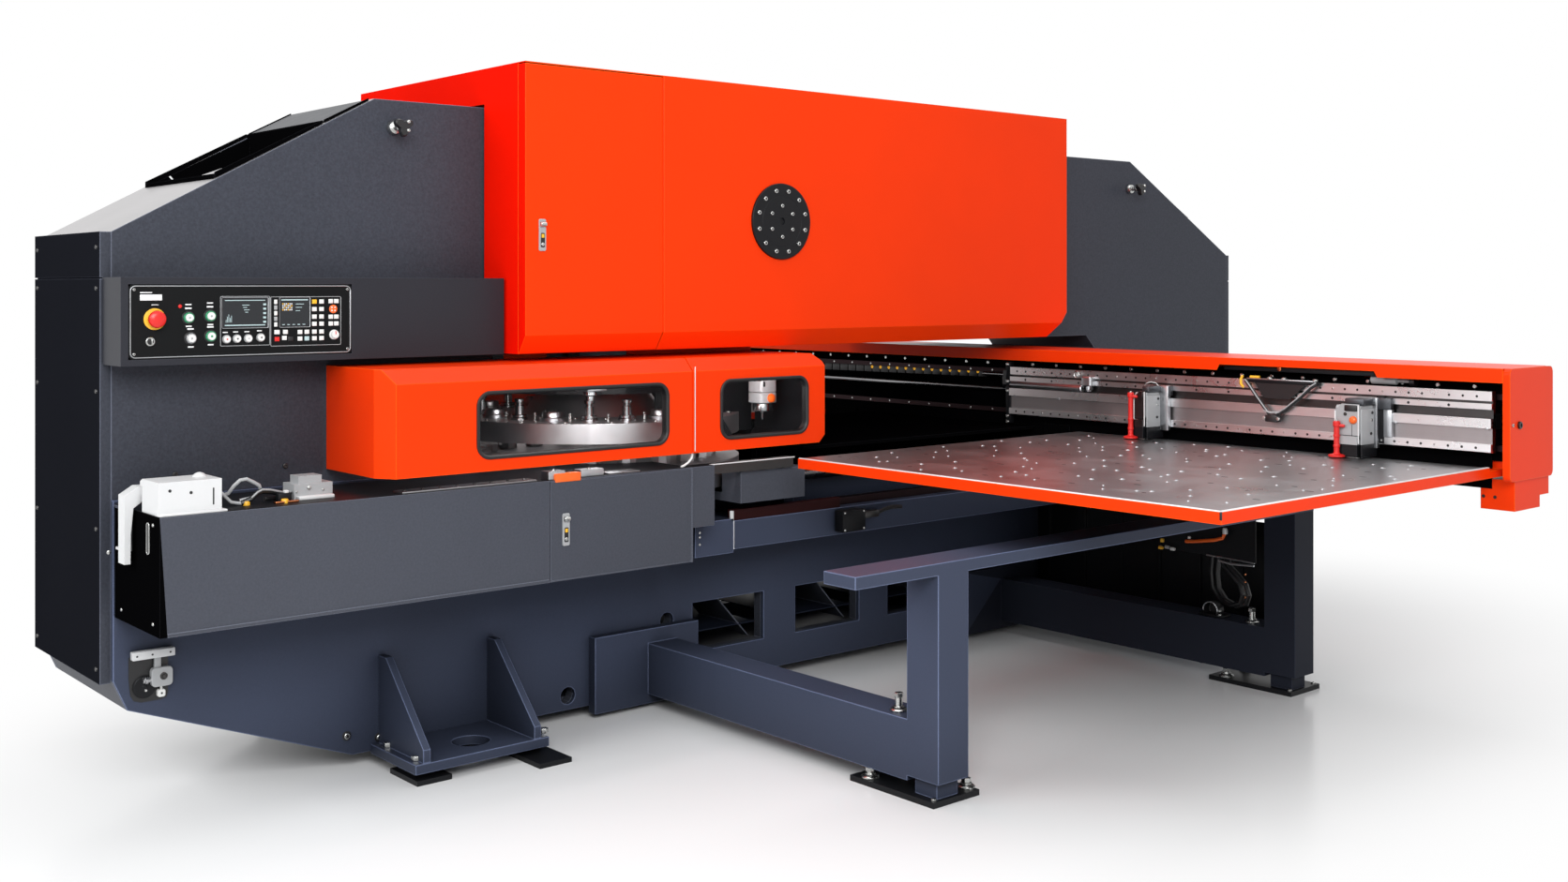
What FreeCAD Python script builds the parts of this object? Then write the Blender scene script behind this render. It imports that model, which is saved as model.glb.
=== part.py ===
import FreeCAD, Part
import math
import os
import re
import Sketcher

# CNC turret punch press, millimetres.
# X runs along the work carriage, Y along the bridge frame, Z up from the floor.
# The origin is on the floor under the middle of the frame.

SIZES = {
    # bridge frame: two thick side plates joined by cross plates, with a throat through it
    "frame_half": 325.0,        # half width over the upper side plates
    "base_half": 343.0,         # half width over the base doubler plates
    "side_plate": 40.0,
    "wall": 30.0,               # cross plates
    "frame_end": 2824.0,        # half length of the weldment
    "end_cover": 30.0,          # depth of the sheet cover on each end
    "frame_top": 2155.0,
    "shoulder": 2000.0,         # half length of the level top
    "end_top": 1705.0,
    "end_foot": 400.0,          # height where the end turns under
    "toe_y": 2784.0,
    "toe_z": 310.0,
    "keel_y": 2085.0,
    "keel_z": 45.0,
    "hatch_near": 2171.0,       # opening in each sloping top
    "hatch_far": 2512.0,
    "base_top": 925.0,          # top of the doubler plates beside the throat
    "throat_low": 770.0,
    "throat_high": 1310.0,
    "throat_near": 1620.0,      # throat reach towards the control end
    "throat_far": 1720.0,
    "throat_bevel": 60.0,
    "window_low": 165.0,        # access windows in the base
    "window_high": 350.0,
    "window_wide": 350.0,
    "window_2_near": 200.0,
    "window_pitch": 165.0,       # web between two windows
    "drain_y": 1270.0,
    "drain_z": 95.0,
    "drain_radius": 31.0,
    "sling_y": 835.0,
    "sling_z": 300.0,
    # base rail beams beside the frame
    "rail_beam_out": 590.0,
    "rail_beam_low": 584.0,
    "rail_beam_top": 688.0,
    "rail_beam_near": 890.0,
    "rail_beam_far": 1620.0,
    "end_plate_lap": 10.0,
    "end_plate_thick": 166.0,
    "way_cover_in": 556.0,      # strip that covers the rail's near end
    "way_cover_out": 584.0,
    "way_cover_near": 715.0,
    "way_cover_far": 180.0,
    "way_cover_top": 726.0,
    "bearing_inset": 60.0,      # the screw bearings on the rail beam
    "bearing_long": 50.0,
    "bearing_half": 40.0,
    # end covers
    "cover_half": 320.0,
    "cover_low": 392.0,
    "seam_z": 1570.0,
    "seam_gap": 4.0,
    # head cover
    "sheet": 4.0,               # thickness of the painted covers
    "head_half": 600.0,
    "head_near": 1601.0,
    "head_far": 1175.0,
    "head_low": 1321.0,
    "head_top": 2286.0,
    "head_bevel_in": 43.0,
    "head_bevel_up": 63.0,
    "head_cut_y": 85.0,         # corner cut low on the far end
    "head_cut_z": 107.0,
    "frame_gap": 10.0,          # gap between the covers and the frame inside them
    "head_door_seam": 1039.0,
    "door_wrap": 43.0,          # how far the door turns round the corner
    "door_gap": 3.0,
    "hinge_radius": 3.5,        # barrel of the strip hinges
    "hinge_gap": 0.3,
    # disc cover over the end of the eccentric shaft
    "disc_radius": 142.0,
    "disc_thick": 10.0,
    # strike point and turrets
    "turret_y": 930.0,
    "turret_radius": 558.0,
    "track_radius": 432.0,
    "station_count": 20,
    "upper_low": 992.0,
    "upper_top": 1063.0,
    "lower_low": 806.0,
    "lower_top": 900.0,
    "pass_line": 930.0,         # height of the work sheet
    "centre_half": 540.0,
    "centre_near": 330.0,
    "centre_far": 1650.0,
    "centre_thick": 12.0,
    "rib_x": 230.0,
    "rib_half": 15.0,
    "shank_radius": 21.0,
    "shank_gap": 0.05,
    "shank_proud": 5.0,         # how far a guide shank shows below its turret
    "flange_radius": 31.0,
    "flange_high": 20.0,
    "guide_radius": 19.0,
    "guide_top": 1140.0,        # heads of the small punches
    "wide_radius": 44.0,        # large punches, which stand lower
    "wide_drop": 42.0,          # how much lower they stand
    "punch_radius": 8.0,
    "punch_tip": 964.0,
    "stroke_room": 42.0,        # height of the raised punch's flange over the turret
    "die_radius": 36.0,
    "die_bore": 9.0,
    "hub_radius": 180.0,
    "hub_foot": 270.0,
    "hub_high": 150.0,
    "shaft_radius": 60.0,
    "shaft_gap": 0.05,
    "shaft_deep": 60.0,
    "run_gap": 0.3,             # running gap between flat faces
    "lift_ring_low": 1160.0,
    "lift_ring_thick": 38.0,
    "lift_ring_half": 40.0,
    "lift_gap_half": 200.0,     # the ring is open over the strike point
    "post_half": 22.0,
    # ram and eccentric
    "ram_radius": 62.0,
    "ram_tip_radius": 34.0,
    "ram_low": 1200.0,
    "guide_wall": 50.0,
    "guide_below": 90.0,        # the ram guide below and above the throat's top plate
    "guide_above": 60.0,
    "eccentric_z": 1787.0,
    "eccentric_throw": 26.0,
    "pin_radius": 75.0,
    "pin_half": 95.0,
    "yoke_gap": 1.5,
    "yoke_half": 90.0,
    "yoke_room": 34.0,          # sideways room of the pin in the yoke
    "yoke_side": 41.0,
    "yoke_cap": 55.0,
    "journal_radius": 55.0,
    "journal_out": 60.0,
    "motor_half": 165.0,
    "motor_long": 240.0,
    # turret covers
    "tc_out": 728.0,
    "tc_near": 2167.0,
    "tc_far": 391.0,
    "tc_low": 966.0,
    "tc_top": 1295.0,
    "tc_chamfer": 45.0,
    "tc_corner": 28.0,
    "tc_seam": 1006.0,
    "turret_window_near": 1844.0,
    "turret_window_far": 1122.0,
    "ram_window_near": 877.0,
    "ram_window_far": 484.0,
    "window_bottom": 1014.0,
    "window_top": 1207.0,
    "window_corner": 37.0,
    "glass": 5.0,
    "glass_lap": 12.0,
    # lower side boxes
    "box_out": 713.0,
    "box_near": 2819.0,
    "box_far": 1000.0,
    "box_low": 587.0,
    "box_top": 916.0,
    "box_door_seam": 1576.0,
    "lip_thick": 3.0,
    "lip_inset": 20.0,
    "lip_gap": 6.0,
    "lip_tall": 10.0,
    "left_box_near": 2700.0,    # the box on the other side is shorter
    "post_deep": 60.0,          # corner post beyond the box
    "post_far": 901.0,
    "post_low": 705.0,
    # guard beside the lower turret, and the support bar over it
    "turret_room": 12.0,        # room round and under the turning turret
    "dies_room": 15.0,
    "box_room": 20.0,
    "guard_out": 640.0,
    "guard_near": 722.0,
    "guard_far": 413.0,
    "guard_low": 757.0,
    "guard_top": 871.0,
    "bar_lift": 5.0,            # spacers between the guard and the bar
    "bar_tall": 36.0,
    "bar_wide": 35.0,
    "bar_lap": 20.0,            # how far the bar passes the guard's face
    "bar_end": 487.0,
    "spacer_long": 30.0,
    # control box
    "desk_out": 480.0,
    "desk_near": 2847.0,
    "desk_far": 1610.0,
    "desk_low": 1319.0,
    "desk_top": 1572.0,
    "panel_near": 2826.0,
    "panel_far": 2151.0,
    "panel_low": 1337.0,
    "panel_top": 1552.0,
    "panel_thick": 4.0,
    "panel_deep": 70.0,
    "panel_gap": 0.5,
    "key_proud": 1.5,
    "screen_proud": 2.0,
    "screen_low": 1424.0,
    "screen_top": 1511.0,
    # push-buttons
    "button_radius": 15.0,
    "button_proud": 14.0,
    "button_travel": 4.0,
    "stem_radius": 8.0,
    "stem_long": 24.0,
    "stem_gap": 0.3,
    "small_button_radius": 10.5,
    "ring_lap": 3.0,            # retaining ring over the stem
    "ring_gap": 8.0,
    "mushroom_radius": 25.0,
    "mushroom_low": 16.0,
    "mushroom_top": 34.0,
    "crown_high": 6.0,
    "collar_radius": 31.0,
    "collar_thick": 3.0,
    "key_radius": 13.0,
    "turn_thick": 10.0,
    # Y slide: cross beam, covers and tables
    "beam_half": 2600.0,
    "beam_near": 1050.0,
    "beam_far": 1290.0,
    "beam_low": 945.0,
    "beam_top": 1210.0,
    "beam_skin": 20.0,
    "x_rail_out": 20.0,
    "x_rail_high": 20.0,
    "x_rail_low_z": 990.0,
    "x_rail_top_z": 1166.0,
    "cap_near": 977.0,
    "cap_far": 1306.0,
    "cap_reach": 49.0,          # from the beam's end to the cap's face
    "cap_thick": 25.0,
    "cap_low": 884.0,
    "cap_top": 1267.0,
    "cap_round": 22.0,
    "lip_low": 1217.0,          # lower edge of the cover's front lip
    "notch_in": 1500.0,
    "notch_out": 2175.0,
    "notch_high": 22.0,
    "cover_drop": 105.0,        # the motor cover under the cap
    "cover_step": 64.0,
    "cover_long": 129.0,
    "saddle_near": 1020.0,
    "saddle_in": 390.0,
    "saddle_out": 740.0,
    "saddle_shoulder": 600.0,
    "saddle_step": 884.0,
    "rail_x": 520.0,
    "rail_half": 20.0,
    "rail_top": 716.0,
    "rail_near": 420.0,
    "rail_far": 1600.0,
    "screw_x": 420.0,
    "screw_z": 810.0,
    "screw_radius": 16.0,
    "x_screw_y": 1034.0,
    "x_screw_z": 1084.0,
    "x_screw_radius": 8.0,
    "table_in": 838.0,
    "table_inset": 12.0,        # from the beam's end to the table's
    "table_near": 620.0,
    "table_far": 961.0,
    "table_sheet": 5.0,
    "table_low": 894.0,
    "table_rim": 30.0,
    "rim_edge": 4.0,
    "tray_skin": 6.0,
    "bearer": 50.0,
    "bar_in": 1708.0,
    "bar_out": 1840.0,
    "bar_low": 690.0,
    "bar_top": 727.0,
    "bar_near": 1286.0,
    "bar_far": 1116.0,
    "roller_radius": 30.0,
    "roller_y": 420.0,
    "axle_radius": 10.0,
    # X carriage and clamps
    "carriage_in": 430.0,
    "carriage_inset": 20.0,
    "carriage_near": 985.0,
    "carriage_back": 1022.0,
    "bar_foot": 975.0,
    "bar_high": 211.0,
    "clamp_1_x": 1190.0,
    "clamp_2_x": 2110.0,
    "clamp_half": 42.0,
    "clamp_near": 872.0,
    "clamp_top": 1118.0,
    "clamp_low": 966.0,
    "cheek": 4.0,
    "jaw_pin": 5.0,
    "jaw_thick": 7.0,
    "jaw_gap": 1.0,
    "finger_out": 22.0,
    "finger_high": 96.0,
    # table stands
    "stand_near": 949.0,
    "stand_far": 984.0,
    "leg": 130.0,
    "leg_low": 70.0,
    "foot_top": 18.0,
    "foot_in": 1470.0,
    "arm_low": 55.0,
    "arm_top": 240.0,
    "stand_flange": 40.0,
    "bolt_radius": 13.0,
    # anchor brackets
    "anchor_y": 1782.0,
    "anchor_half": 240.0,
    "anchor_out": 650.0,
    "anchor_low": 38.0,
    "anchor_top": 68.0,
    "anchor_hole": 62.0,
    "anchor_hole_x": 523.0,
    "gusset": 25.0,
    "gusset_top": 350.0,
    # studs, latches and the white unit
    "stud_near_y": 1914.0,
    "stud_near_z": 2067.0,
    "stud_far_y": 1990.0,
    "stud_far_z": 2020.0,
    "stud_base": 44.0,
    "stud_base_thick": 14.0,
    "stud_stem": 22.0,
    "stud_head": 26.0,
    "stud_head_thick": 20.0,
    "stud_long": 92.0,
    "latch_half": 13.0,
    "latch_long": 106.0,
    "latch_thick": 8.0,
    "grip_radius": 9.0,
    "sensor_back": 178.0,       # from the cover's face to the head behind the small window
    "sensor_y": 510.0,
    "sensor_half": 35.0,
    "sensor_low": 1092.0,
    "sensor_high": 96.0,
    "arm_out": 31.0,
    "arm_drop": 150.0,
    # clearances used all over
    "cut_over": 5.0,            # how far a cutting tool passes the face that it cuts
    "flat_room": 1.045,         # lets a round fit between the flats of a twelve-sided hole
}

PRESS_Y = "(-turret_y + track_radius)"      # the strike point lies on the station circle

doc = FreeCAD.newDocument("turret_punch_press")
sheet = doc.addObject("Spreadsheet::Sheet", "Sizes")
for row, (alias, number) in enumerate(SIZES.items(), start=1):
    sheet.set(f"A{row}", alias)
    sheet.set(f"B{row}", str(number))
    sheet.setAlias(f"B{row}", alias)
doc.recompute()

nodes = {}
PLANE_ROLE = {"XY": "XY_Plane", "XZ": "XZ_Plane", "YZ": "YZ_Plane"}
AXIS_TURN = {
    "X": FreeCAD.Rotation(FreeCAD.Vector(0, 1, 0), 90),
    "Y": FreeCAD.Rotation(FreeCAD.Vector(1, 0, 0), -90),
    "Z": FreeCAD.Rotation(),
}


def bound(formula):
    """Write a formula in the sheet's words as an expression."""
    return re.sub(r"[a-z_][a-z_0-9]*",
                  lambda word: f"Sizes.{word.group(0)}" if word.group(0) in SIZES else word.group(0),
                  str(formula))


def place(obj, x, y, z, prefix="Placement.Base"):
    """Tie an object's place to formulas."""
    for letter, formula in zip("xyz", (x, y, z)):
        obj.setExpression(f"{prefix}.{letter}", bound(formula))


def block(name, x0, x1, y0, y1, z0, z1):
    """A rectangular block between six faces."""
    box = doc.addObject("Part::Box", name)
    place(box, x0, y0, z0)
    box.setExpression("Length", bound(f"({x1}) - ({x0})"))
    box.setExpression("Width", bound(f"({y1}) - ({y0})"))
    box.setExpression("Height", bound(f"({z1}) - ({z0})"))
    return box


def rod(name, axis, across, up, radius, start, end):
    """A cylinder along an axis, from start to end; across and up are its other two places."""
    cylinder = doc.addObject("Part::Cylinder", name)
    cylinder.Placement.Rotation = AXIS_TURN[axis]
    bases = {"X": (start, across, up), "Y": (across, start, up), "Z": (across, up, start)}
    place(cylinder, *bases[axis])
    cylinder.setExpression("Radius", bound(radius))
    cylinder.setExpression("Height", bound(f"({end}) - ({start})"))
    return cylinder


def prism(name, axis, across, up, radius, start, end, sides=8):
    """A regular prism along an axis, used where a small round piece or its hole repeats."""
    piece = doc.addObject("Part::Prism", name)
    piece.Polygon = sides
    piece.Placement.Rotation = AXIS_TURN[axis]
    bases = {"X": (start, across, up), "Y": (across, start, up), "Z": (across, up, start)}
    place(piece, *bases[axis])
    piece.setExpression("Circumradius", bound(radius))
    piece.setExpression("Height", bound(f"({end}) - ({start})"))
    return piece


def outline(body, name, plane, points):
    """A closed sketch of straight lines whose corners are tied to formulas."""
    sketch = body.newObject("Sketcher::SketchObject", f"{name}_outline")
    base = [item for item in body.Origin.OriginFeatures if item.Role == PLANE_ROLE[plane]][0]
    sketch.AttachmentSupport = [(base, "")]
    sketch.MapMode = "FlatFace"
    count = len(points)
    corners = [FreeCAD.Vector(100 * math.cos(2 * math.pi * k / count),
                              100 * math.sin(2 * math.pi * k / count), 0) for k in range(count)]
    for k in range(count):
        sketch.addGeometry(Part.LineSegment(corners[k], corners[(k + 1) % count]), False)
    for k in range(count):
        sketch.addConstraint(Sketcher.Constraint("Coincident", k, 2, (k + 1) % count, 1))
    for k, (across, up) in enumerate(points):
        for kind, letter, formula in (("DistanceX", "a", across), ("DistanceY", "b", up)):
            index = sketch.addConstraint(Sketcher.Constraint(kind, -1, 1, k, 1, 10.0))
            sketch.renameConstraint(index, f"{letter}{k}")
            sketch.setExpression(f"Constraints.{letter}{k}", bound(formula))
    return sketch


def plate(name, plane, points, low, high, round_by=None, bevel_by=None, pick=None):
    """An outline padded between two levels along its normal, with its pick of edges eased."""
    body = doc.addObject("PartDesign::Body", name)
    sketch = outline(body, name, plane, points)
    start = f"-({high})" if plane == "XZ" else low
    sketch.setExpression("AttachmentOffset.Base.z", bound(start))
    pad = body.newObject("PartDesign::Pad", f"{name}_pad")
    pad.Profile = sketch
    pad.setExpression("Length", bound(f"({high}) - ({low})"))
    doc.recompute()
    if round_by or bevel_by:
        normal = {"XY": (0, 0, 1), "XZ": (0, 1, 0), "YZ": (1, 0, 0)}[plane]
        pick = pick or (lambda edge: abs(edge.tangentAt(0).dot(FreeCAD.Vector(*normal))) > 0.99)
        edges = [f"Edge{k}" for k, edge in enumerate(pad.Shape.Edges, start=1) if pick(edge)]
        kind, size, formula = (("Fillet", "Radius", round_by) if round_by
                               else ("Chamfer", "Size", bevel_by))
        ease = body.newObject(f"PartDesign::{kind}", f"{name}_{kind.lower()}")
        ease.Base = (pad, edges)
        ease.setExpression(size, bound(formula))
        body.Tip = ease
    return body


def window(name, plane, across0, across1, up0, up1, low, high, corner):
    """A rectangular plate with round corners, used for openings, glass and pads."""
    points = [(across0, up0), (across1, up0), (across1, up1), (across0, up1)]
    return plate(name, plane, points, low, high, round_by=corner)


def turned(name, x, y, z, points, axis="Z"):
    """A turned piece: points are radius and height from its base, round an axis through x, y, z."""
    body = doc.addObject("PartDesign::Body", name)
    sketch = outline(body, name, "XZ", points)
    turn = body.newObject("PartDesign::Revolution", f"{name}_turn")
    turn.Profile = sketch
    turn.ReferenceAxis = (sketch, ["V_Axis"])
    turn.Angle = 360
    body.Placement.Rotation = AXIS_TURN[axis]
    place(body, x, y, z)
    return body


def join(name, *pieces):
    """Weld pieces into one solid."""
    fuse = doc.addObject("Part::MultiFuse", name)
    fuse.Shapes = list(pieces)
    return fuse


def cut(name, base, *tools):
    """Take the tools out of a base."""
    result = doc.addObject("Part::Cut", name)
    result.Base = base
    result.Tool = tools[0] if len(tools) == 1 else join(f"{name}_tools", *tools)
    return result


def overlap(name, first, second):
    """What two solids share."""
    result = doc.addObject("Part::Common", name)
    result.Base = first
    result.Tool = second
    return result


def mirror(name, piece, normal=(1, 0, 0)):
    """The same piece on the other side of the frame's middle."""
    twin = doc.addObject("Part::Mirroring", name)
    twin.Source = piece
    twin.Base = FreeCAD.Vector(0, 0, 0)
    twin.Normal = FreeCAD.Vector(*normal)
    return twin


def stacked(name, axis, across, up, steps, sides=8):
    """Prisms end to end along an axis: steps are radius, start and end."""
    parts = [prism(f"{name}_step_{k}", axis, across, up, radius, start, end, sides)
             for k, (radius, start, end) in enumerate(steps)]
    return join(f"{name}_steps", *parts)


def group(name, *pieces):
    """Separate solids kept as one sub-part."""
    compound = doc.addObject("Part::Compound", name)
    compound.Links = list(pieces)
    return compound


def node(name, piece):
    """Record a finished sub-part under its own name."""
    piece.Label = name
    nodes[name] = piece
    return piece


def stations():
    """Angles of the turret stations from +X, the first at the strike point."""
    count = int(sheet.station_count)
    return [90 + 360 * k / count for k in range(count)]


def ring_of(name, piece, angles):
    """Copies of a piece turned round the turret's axis, kept as one group."""
    doc.recompute()
    axis = FreeCAD.Vector(0, -sheet.turret_y, 0)
    copies = []
    for angle in angles:
        copy = piece.Shape.copy()
        copy.rotate(axis, FreeCAD.Vector(0, 0, 1), angle - 90)
        copies.append(copy)
    feature = doc.addObject("Part::Feature", name)
    feature.Shape = Part.Compound(copies)
    return feature


# ------------------------------------------------------------------ bridge frame

def frame_profile(inset):
    """Side outline of the frame, drawn in by an inset."""
    return [
        (f"-(frame_end - {inset})", f"end_foot"),
        (f"-(toe_y - {inset})", f"toe_z + {inset}*0.6"),
        (f"-(keel_y - {inset}*0.2)", f"keel_z + {inset}"),
        (f"keel_y - {inset}*0.2", f"keel_z + {inset}"),
        (f"toe_y - {inset}", f"toe_z + {inset}*0.6"),
        (f"frame_end - {inset}", f"end_foot"),
        (f"frame_end - {inset}", f"end_top - {inset}*0.6"),
        (f"shoulder - {inset}*0.25", f"frame_top - {inset}"),
        (f"-(shoulder - {inset}*0.25)", f"frame_top - {inset}"),
        (f"-(frame_end - {inset})", f"end_top - {inset}*0.6"),
    ]


def throat(name, grow, half):
    """The passage through the frame for the sheet, the turrets and the cross beam."""
    points = [(f"-throat_near - {grow}", f"throat_low - {grow}"),
              (f"throat_far + {grow}", f"throat_low - {grow}"),
              (f"throat_far + {grow}", f"throat_high + {grow}"),
              (f"-throat_near - {grow}", f"throat_high + {grow}")]
    return plate(name, "YZ", points, f"-({half})", half, bevel_by="throat_bevel")


def base_openings(prefix, low, high):
    """Access windows and drilled holes that go through the base plates."""
    cuts = []
    for name, start, end in (("near", "-window_2_near - window_pitch - window_wide",
                              "-window_2_near - window_pitch"),
                             ("middle", "-window_2_near", "-window_2_near + window_wide"),
                             ("far", "-window_2_near + window_pitch + window_wide",
                              "-window_2_near + window_pitch + window_wide*2")):
        cuts.append(block(f"{prefix}_window_{name}", low, high, start, end, "window_low", "window_high"))
    return cuts


def drilled(prefix, start, end):
    """The drain hole and the sling hole in the +X base plate."""
    return [prism(f"{prefix}_drain_hole", "X", "-drain_y", "drain_z", "drain_radius", start, end, 12),
            prism(f"{prefix}_sling_hole", "X", "-sling_y", "sling_z", "drain_radius", start, end, 12)]


def base_plates():
    """Thick plates outside the base, one on each side, open at the throat."""
    points = [
        ("-frame_end", "end_foot"), ("-toe_y", "toe_z"), ("-keel_y", "keel_z"),
        ("keel_y", "keel_z"), ("toe_y", "toe_z"), ("frame_end", "end_foot"),
        ("frame_end", "base_top"), ("throat_far", "base_top"),
        ("throat_far", "throat_low"), ("-throat_near", "throat_low"),
        ("-throat_near", "base_top"), ("-frame_end", "base_top"),
    ]
    solid = plate("base_plate", "YZ", points, "frame_half", "base_half")
    windowed = cut("base_plate_windowed", solid,
                   *base_openings("plate", "frame_half - cut_over", "base_half + cut_over"))
    right = cut("base_plate_right", windowed,
                *drilled("plate", "frame_half - cut_over", "base_half + cut_over"))
    node("base_plates", group("base_plates", right, mirror("base_plate_left", windowed)))


def slope_hatch(name, sign):
    """Opening in the sloping top at one end, seen as a dark recess."""
    ends = ("-hatch_far", "-hatch_near") if sign < 0 else ("hatch_near", "hatch_far")
    return block(name, "-(frame_half - side_plate)", "frame_half - side_plate", *ends,
                 "end_top", "frame_top + wall")


def slope_baffle(name, sign):
    """Inclined plate under the hatch."""
    low, high = "shoulder + (frame_end - shoulder)*0.8", "shoulder + (frame_end - shoulder)*0.05"
    points = [(low, "end_top - 130"), (high, "frame_top - 250"),
              (high, "frame_top - 230"), (low, "end_top - 110")]
    if sign < 0:
        points = [(f"-({across})", up) for across, up in reversed(points)]
    return plate(name, "YZ", points, "-(frame_half - side_plate)", "frame_half - side_plate")


def rail_beams():
    """Beams beside the base that carry the Y rails, the +X one with the screw's bearings."""
    beam = block("rail_beam", "base_half", "rail_beam_out", "-rail_beam_near", "rail_beam_far",
                 "rail_beam_low", "rail_beam_top")
    end_plate = block("rail_beam_end", "base_half", "rail_beam_out + end_plate_lap",
                      "-rail_beam_near - end_plate_lap", "-rail_beam_near + end_plate_thick",
                      "rail_beam_low - end_plate_lap", "rail_beam_top + end_plate_lap")
    side = join("rail_beam_side", beam, end_plate)
    bearings = []
    near = "-rail_near + bearing_inset"
    for name, start, end in (("near", near, f"{near} + bearing_long"),
                             ("far", "rail_far - bearing_long", "rail_far")):
        bearings.append(block(f"screw_bearing_{name}", "screw_x - bearing_half", "screw_x + bearing_half",
                              start, end, "rail_beam_top", "screw_z + bearing_half"))
    bore = prism("screw_bore", "Y", "screw_x", "screw_z", "screw_radius*flat_room", "-rail_near",
                 "rail_far + cut_over", 12)
    strip = block("way_cover", "way_cover_in", "way_cover_out", "-way_cover_near", "-way_cover_far",
                  "rail_beam_top", "way_cover_top")
    right = cut("rail_beam_right", join("rail_beam_bearings", side, strip, *bearings), bore)
    node("rail_beams", group("rail_beams", right, mirror("rail_beam_left", side)))


def bridge_frame():
    """The welded bridge: box section round the throat, with bearing seats for the drive."""
    inner = "frame_half - side_plate"
    shell = plate("frame_shell", "YZ", frame_profile("0"), "-frame_half", "frame_half")
    hollow = plate("frame_hollow", "YZ", frame_profile("wall"), f"-({inner})", inner)
    cavity = cut("frame_cavity", hollow, throat("throat_liner", "wall", "frame_half"))
    upper_seat = rod("upper_turret_seat", "Z", "0", "-turret_y", "hub_radius", "upper_top + hub_high",
                     "throat_high")
    lower_seat = rod("lower_turret_seat", "Z", "0", "-turret_y", "hub_radius", "throat_low",
                     "lower_low - run_gap")
    ram_guide = block("ram_guide", "-ram_radius - guide_wall", "ram_radius + guide_wall",
                      f"{PRESS_Y} - ram_radius - guide_wall", f"{PRESS_Y} + ram_radius + guide_wall",
                      "throat_high - guide_below", "throat_high + wall + guide_above")
    whole = join("frame_whole", cut("frame_box", shell, cavity),
                 slope_baffle("near_baffle", -1), slope_baffle("far_baffle", 1))
    opened = cut("frame_opened", whole, throat("frame_throat", "0", "frame_half + cut_over"),
                 slope_hatch("near_hatch", -1), slope_hatch("far_hatch", 1),
                 *base_openings("frame", "-frame_half - cut_over", "frame_half + cut_over"),
                 *drilled("frame", f"{inner} - cut_over", "frame_half + cut_over"))
    seated = join("frame_seated", opened, upper_seat, lower_seat, ram_guide)
    bores = [
        rod("upper_turret_bore", "Z", "0", "-turret_y", "shaft_radius + shaft_gap",
            "upper_top + hub_high - cut_over", "throat_high + wall + cut_over"),
        rod("lower_turret_bore", "Z", "0", "-turret_y", "shaft_radius + shaft_gap",
            "throat_low - wall - cut_over", "lower_low"),
        rod("ram_bore", "Z", "0", PRESS_Y, "ram_radius + shaft_gap",
            "throat_high - guide_below - cut_over", "throat_high + wall + guide_above + cut_over"),
        rod("journal_bore", "X", PRESS_Y, "eccentric_z", "journal_radius + shaft_gap",
            "-frame_half - cut_over", "frame_half + cut_over"),
    ]
    node("bridge_frame", cut("bridge_frame", seated, *bores))


def end_covers():
    """Sheet covers that close the two ends of the frame, each with its seam."""
    pan = plate("end_pan", "XZ",
                [("-cover_half", "cover_low"), ("cover_half", "cover_low"),
                 ("cover_half", "end_top"), ("-cover_half", "end_top")],
                "-frame_end - end_cover", "-frame_end")
    seam = block("end_seam", "-cover_half - 5", "cover_half + 5", "-frame_end - end_cover - 5",
                 "-frame_end - end_cover + 8", "seam_z - seam_gap/2", "seam_z + seam_gap/2")
    near = cut("near_end_cover", pan, seam)
    node("end_covers", group("end_covers", near, mirror("far_end_cover", near, (0, 1, 0))))


def y_rails():
    """Guide rails for the Y slide, on the rail beams."""
    rail = block("y_rail", "rail_x - rail_half", "rail_x + rail_half", "-rail_near", "rail_far",
                 "rail_beam_top", "rail_top")
    node("y_rails", group("y_rails", rail, mirror("y_rail_left", rail)))


def lifting_studs():
    """Studs on each shoulder of the frame, used to sling and lock the top."""
    studs = []
    foot, end = "frame_half + stud_base_thick", "frame_half + stud_long"
    neck = f"{end} - stud_head_thick"
    steps = [("stud_base", "frame_half", foot), ("stud_stem", foot, neck), ("stud_head", neck, end)]
    for name, across, up in (("near", "-stud_near_y", "stud_near_z"), ("far", "stud_far_y", "stud_far_z")):
        stud = stacked(f"stud_{name}", "X", across, up, steps)
        studs += [stud, mirror(f"stud_{name}_left", stud)]
    node("lifting_studs", group("lifting_studs", *studs))


# ------------------------------------------------------------------ head cover and its door

def head_solid(name, inset):
    """The head cover's outer form, drawn in by an inset."""
    body = plate(name, "YZ",
                 [(f"-(head_near - {inset})", f"head_low + {inset}"),
                  (f"head_far - head_cut_y - {inset}*0.5", f"head_low + {inset}"),
                  (f"head_far - {inset}", f"head_low + head_cut_z + {inset}*0.3"),
                  (f"head_far - {inset}", f"head_top - {inset}"),
                  (f"-(head_near - {inset})", f"head_top - {inset}")],
                 f"-(head_half - {inset})", f"head_half - {inset}")
    bevel = plate(f"{name}_bevel", "XZ",
                  [(f"head_half - {inset} + 10", "head_low - 10"),
                   (f"head_half - {inset} + 10", "head_low + head_bevel_up + 10*head_bevel_up/head_bevel_in"),
                   (f"head_half - {inset} - head_bevel_in - 10*head_bevel_in/head_bevel_up",
                    "head_low - 10")],
                  "-head_near - 10", "head_far + 10")
    return cut(f"{name}_form", body, bevel, mirror(f"{name}_bevel_left", bevel))


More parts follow.
